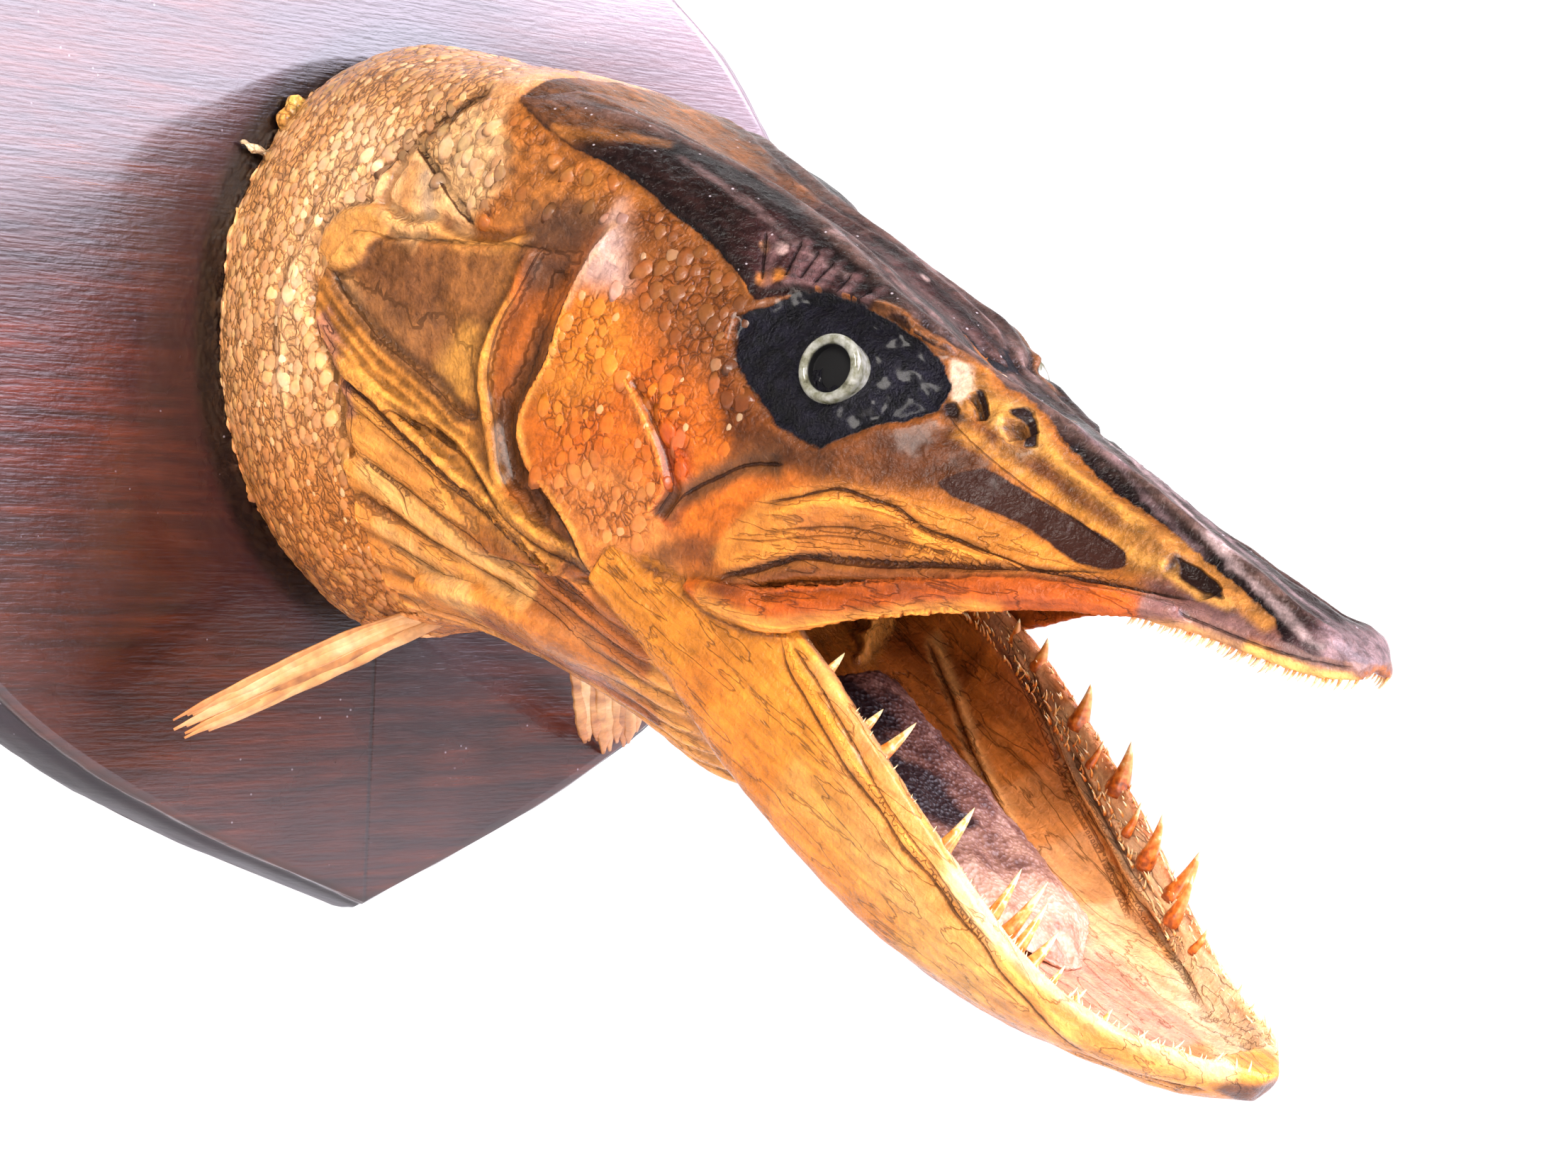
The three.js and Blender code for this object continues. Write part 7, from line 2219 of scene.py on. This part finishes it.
    # Painted reflection: a pale lavender glare towards the upper right corner.
    painted_glare = add(tree, "ShaderNodeMath", {0: parts.outputs["X"], 1: parts.outputs["Z"]}, operation="ADD")
    painted_glare = add(tree, "ShaderNodeMapRange", {"Value": painted_glare, 1: 0.10, 2: 0.19, 3: 0.0, 4: 0.5})
    wood = add(tree, "ShaderNodeMix", {"Factor": painted_glare, "A": wood, "B": "#b7a4b0"}, data_type="RGBA")
    # Dust under 1 mm.
    dots = add(tree, "ShaderNodeTexVoronoi", {"Vector": place, "Scale": 210.0, "Randomness": 1.0})
    dots = add(tree, "ShaderNodeMapRange",
               {"Value": dots.outputs["Distance"], 1: 0.03, 2: 0.07, 3: 0.6, 4: 0.0})
    dusty = add(tree, "ShaderNodeMapRange", {"Value": clouds, 1: 0.46, 2: 0.52, 3: 0.0, 4: 1.0})
    dots = add(tree, "ShaderNodeMath", {0: dots, 1: dusty}, operation="MULTIPLY")
    wood = add(tree, "ShaderNodeMix", {"Factor": dots, "A": wood, "B": "#9a8f98"}, data_type="RGBA")
    feed(tree, shader, "Base Color", wood)
    ripple = add(tree, "ShaderNodeMapping", {"Vector": place, "Scale": (330.0, 400.0, 620.0)})
    ripple = add(tree, "ShaderNodeTexNoise",
                 {"Vector": ripple, "Scale": 1.0, "Detail": 5.0, "Roughness": 0.6})
    height = add(tree, "ShaderNodeMath", {0: ripple, 1: pores}, operation="ADD")
    height = add(tree, "ShaderNodeMath", {0: height, 1: joint}, operation="SUBTRACT")
    bump = add(tree, "ShaderNodeBump", {"Height": height, "Strength": 0.22, "Distance": 0.0006})
    feed(tree, shader, "Normal", bump)
    rough = add(tree, "ShaderNodeMapRange", {"Value": clouds, 1: 0.3, 2: 0.7, 3: 0.20, 4: 0.34})
    rough = add(tree, "ShaderNodeMath", {0: edge, 1: 0.35, 2: rough}, operation="MULTIPLY_ADD")
    feed(tree, shader, "Roughness", rough)
    varnish = add(tree, "ShaderNodeMapRange", {"Value": edge, 1: 0.0, 2: 0.9, 3: 0.75, 4: 0.25})
    feed(tree, shader, "Coat Weight", varnish)
    return made


# ---------------------------------------------------------------- the stage
CAMERA_AT = Vector((-0.37681, -0.62054, -0.02752))
CAMERA_TURN = (math.radians(39.56), math.radians(-2.29), math.radians(2.62))
SENSOR = 36.0
LENS = 68.37
FLOOR_LEVEL = -0.30
FLOOR_CORNERS = 96
# Each soft light: its name, place and target in m, width and height in m, power in W, colour and roll.
LIGHTS = [
    ("right_softbox", (0.84, -1.33, 0.76), (0, -0.1, 0.1), 1.7, 1.0, 74, "#f1eaff", 19),
    ("left_key", (-0.95, -1.3, 1.0), (0, -0.15, 0), 0.75, 0.75, 47, "#fff8f0", 0),
    ("low_fill", (-1.3, -1.2, -0.1), (0, -0.15, -0.05), 0.8, 0.5, 6, "#fff4e8", 0),
    ("backdrop_wash", (0.9, 1.2, 1.9), (2.3, 2.6, -0.2), 1.6, 1.0, 60, "#ffffff", 0),
]


def build_floor():
    """A pale floor that curves up far away into a plain backdrop on every side."""
    angle = np.linspace(0, 2 * np.pi, FLOOR_CORNERS, endpoint=False)
    profile = [(0.02, 0), (1.0, 0), (2.0, 0), (2.6, 0.04), (3.1, 0.3), (3.4, 0.9), (3.5, 1.8), (3.5, 3.0)]
    rings = [
        np.column_stack([r * np.cos(angle), r * np.sin(angle), np.full(FLOOR_CORNERS, FLOOR_LEVEL + h)])
        for r, h in spline(profile, 40)
    ]
    points = np.vstack(rings + [[(0, 0, FLOOR_LEVEL)]])
    faces = []
    for i in range(len(rings) - 1):
        for j in range(FLOOR_CORNERS):
            a, b = i * FLOOR_CORNERS + j, i * FLOOR_CORNERS + (j + 1) % FLOOR_CORNERS
            faces.append([a, b, b + FLOOR_CORNERS, a + FLOOR_CORNERS])
    faces += [[(j + 1) % FLOOR_CORNERS, j, len(points) - 1] for j in range(FLOOR_CORNERS)]
    made, tree, shader = new_material("matt_white_paper", {"Roughness": 0.9})
    place = add(tree, "ShaderNodeTexCoord").outputs["Object"]
    cloud = add(tree, "ShaderNodeTexNoise", {"Vector": place, "Scale": 1.5, "Detail": 3.0})
    colour = add(tree, "ShaderNodeValToRGB", {0: cloud}, stops=[(0.3, "#dad9d8"), (0.7, "#e4e4e4")])
    feed(tree, shader, "Base Color", colour)
    floor = add_mesh("floor", points / MM, [face[::-1] for face in faces], made)


def add_light(name, at, toward, width, height, power, colour, roll):
    """An area light that looks from one place at another, rolled about its own axis."""
    lamp = bpy.data.lights.new(name, "AREA")
    lamp.shape = "RECTANGLE"
    lamp.size = width
    lamp.size_y = height
    lamp.energy = power
    lamp.color = linear(colour)[:3]
    made = bpy.data.objects.new(name, lamp)
    bpy.context.scene.collection.objects.link(made)
    made.location = at
    turn = (Vector(toward) - Vector(at)).to_track_quat("-Z", "Y")
    made.rotation_euler = (turn @ Quaternion((0, 0, 1), math.radians(roll))).to_euler()


def build_stage():
    """The floor with its backdrop, the lights, the world and the camera."""
    scene = bpy.context.scene
    build_floor()
    world = bpy.data.worlds.new("studio")
    world.use_nodes = True
    world.node_tree.nodes.clear()
    sky = add(world.node_tree, "ShaderNodeBackground", {"Color": "#f2f5ff", "Strength": 0.18})
    add(world.node_tree, "ShaderNodeOutputWorld", {"Surface": sky})
    scene.world = world
    for light in LIGHTS:
        add_light(*light)
    turn, tilt, roll = CAMERA_TURN
    ahead = Vector((math.sin(turn) * math.cos(tilt), math.cos(turn) * math.cos(tilt), math.sin(tilt)))
    right = Vector((math.cos(turn), -math.sin(turn), 0))
    up = right.cross(ahead)
    rolled_right = right * math.cos(roll) + up * math.sin(roll)
    rolled_up = up * math.cos(roll) - right * math.sin(roll)
    lens = bpy.data.cameras.new("camera")
    lens.sensor_width = SENSOR
    lens.lens = LENS
    lens.clip_start = 0.01
    camera = bpy.data.objects.new("camera", lens)
    scene.collection.objects.link(camera)
    turned = Matrix((rolled_right, rolled_up, -ahead)).transposed()
    camera.matrix_world = Matrix.Translation(CAMERA_AT) @ turned.to_4x4()
    scene.camera = camera
    scene.view_settings.view_transform = "Standard"
    scene.view_settings.look = "None"


# ---------------------------------------------------------------- the add-on
class ScaleSettings(bpy.types.PropertyGroup):
    """Sizes of the coat of scales."""

    neck_length: bpy.props.FloatProperty(
        name="Neck scale length", description="Length of one scale of the neck",
        default=0.0033, min=0.001, max=0.008, precision=4, subtype="DISTANCE", unit="LENGTH",
    )
    neck_spacing: bpy.props.FloatProperty(
        name="Neck scale spacing", description="Least distance between the scales of the neck",
        default=0.0021, min=0.001, max=0.008, precision=4, subtype="DISTANCE", unit="LENGTH",
    )
    cheek_length: bpy.props.FloatProperty(
        name="Cheek scale length", description="Length of one scale of the cheek",
        default=0.0037, min=0.001, max=0.008, precision=4, subtype="DISTANCE", unit="LENGTH",
    )
    cheek_spacing: bpy.props.FloatProperty(
        name="Cheek scale spacing", description="Least distance between the scales of the cheek",
        default=0.0027, min=0.001, max=0.008, precision=4, subtype="DISTANCE", unit="LENGTH",
    )
    seed: bpy.props.IntProperty(name="Seed", description="Seed of the scales' places", default=5, min=0)


class PaintSettings(bpy.types.PropertyGroup):
    """Ground colours of the painted skin, under its patches and strokes."""

    neck: bpy.props.FloatVectorProperty(
        name="Neck", description="Ground colour of the neck and its scales",
        default=linear("#e3ae7c")[:3], size=3, min=0, max=1, subtype="COLOR",
    )
    jaw: bpy.props.FloatVectorProperty(
        name="Lower jaw", description="Ground colour of the outside of the lower jaw",
        default=linear("#d28a34")[:3], size=3, min=0, max=1, subtype="COLOR",
    )
    bone: bpy.props.FloatVectorProperty(
        name="Bare bone", description="Ground colour of the bare bone of the skull and the snout",
        default=linear("#241412")[:3], size=3, min=0, max=1, subtype="COLOR",
    )


class PIKE_OT_skin(bpy.types.Operator):
    """Build the one painted skin of the neck, head, jaws and gill covers"""

    bl_idname = "pike.skin"
    bl_label = "Skin"

    def execute(self, context):
        build_skin(context.scene.pike_paint)
        return {"FINISHED"}


class PIKE_OT_scales(bpy.types.Operator):
    """Lay the coats of scales over the neck and the cheeks of the skin"""

    bl_idname = "pike.scales"
    bl_label = "Scales"

    def execute(self, context):
        skin = bpy.data.objects.get("skin")
        if skin is None:
            raise RuntimeError("the scales need the skin, which isn't built")
        sizes = context.scene.pike_scales
        material = dried_scales()
        build_scales("neck_scales", skin, material, sizes.neck_length, sizes.neck_spacing, sizes.seed)
        build_scales("cheek_scales", skin, material, sizes.cheek_length, sizes.cheek_spacing, sizes.seed + 1)
        return {"FINISHED"}


class PIKE_OT_teeth(bpy.types.Operator):
    """Set the fangs and the needle teeth in the jaws"""

    bl_idname = "pike.teeth"
    bl_label = "Teeth"

    def execute(self, context):
        build_fangs()
        build_needles()
        return {"FINISHED"}


class PIKE_OT_fins(bpy.types.Operator):
    """Build the two dried pectoral fins"""

    bl_idname = "pike.fins"
    bl_label = "Fins"

    def execute(self, context):
        build_fin("right", 31)
        build_fin("left", 37)
        return {"FINISHED"}


class PIKE_OT_tongue(bpy.types.Operator):
    """Lay the dried tongue on the floor of the lower jaw"""

    bl_idname = "pike.tongue"
    bl_label = "Tongue"

    def execute(self, context):
        build_tongue()
        return {"FINISHED"}


class PIKE_OT_eyes(bpy.types.Operator):
    """Set the two glass eyes in the head"""

    bl_idname = "pike.eyes"
    bl_label = "Eyes"

    def execute(self, context):
        build_eye("eye_right", 1)
        build_eye("eye_left", -1)
        return {"FINISHED"}


class PIKE_OT_board(bpy.types.Operator):
    """Build the moulded wall board"""

    bl_idname = "pike.board"
    bl_label = "Board"

    def execute(self, context):
        build_board()
        return {"FINISHED"}


class PIKE_OT_stage(bpy.types.Operator):
    """Add the pale floor, the soft lights and the camera"""

    bl_idname = "pike.stage"
    bl_label = "Stage"

    def execute(self, context):
        build_stage()
        return {"FINISHED"}


OPERATORS = (
    PIKE_OT_skin, PIKE_OT_scales, PIKE_OT_fins, PIKE_OT_teeth, PIKE_OT_tongue, PIKE_OT_eyes, PIKE_OT_board,
    PIKE_OT_stage,
)


class PIKE_PT_panel(bpy.types.Panel):
    """The pieces of the pike head, one button each"""

    bl_label = "Pike head"
    bl_idname = "PIKE_PT_panel"
    bl_space_type = "VIEW_3D"
    bl_region_type = "UI"
    bl_category = "Pike head"

    def draw(self, context):
        for settings in (context.scene.pike_scales, context.scene.pike_paint):
            for name in settings.__annotations__:
                self.layout.prop(settings, name)
        for kind in OPERATORS:
            self.layout.operator(kind.bl_idname)


CLASSES = (ScaleSettings, PaintSettings, *OPERATORS, PIKE_PT_panel)


def register():
    for kind in CLASSES:
        bpy.utils.register_class(kind)
    bpy.types.Scene.pike_scales = bpy.props.PointerProperty(type=ScaleSettings)
    bpy.types.Scene.pike_paint = bpy.props.PointerProperty(type=PaintSettings)


def unregister():
    del bpy.types.Scene.pike_scales, bpy.types.Scene.pike_paint
    for kind in reversed(CLASSES):
        bpy.utils.unregister_class(kind)


def main():
    register()
    bpy.ops.pike.stage()
    bpy.ops.pike.board()
    bpy.ops.pike.skin()
    bpy.ops.pike.scales()
    bpy.ops.pike.fins()
    bpy.ops.pike.teeth()
    bpy.ops.pike.tongue()
    bpy.ops.pike.eyes()


if __name__ == "__main__":
    main()
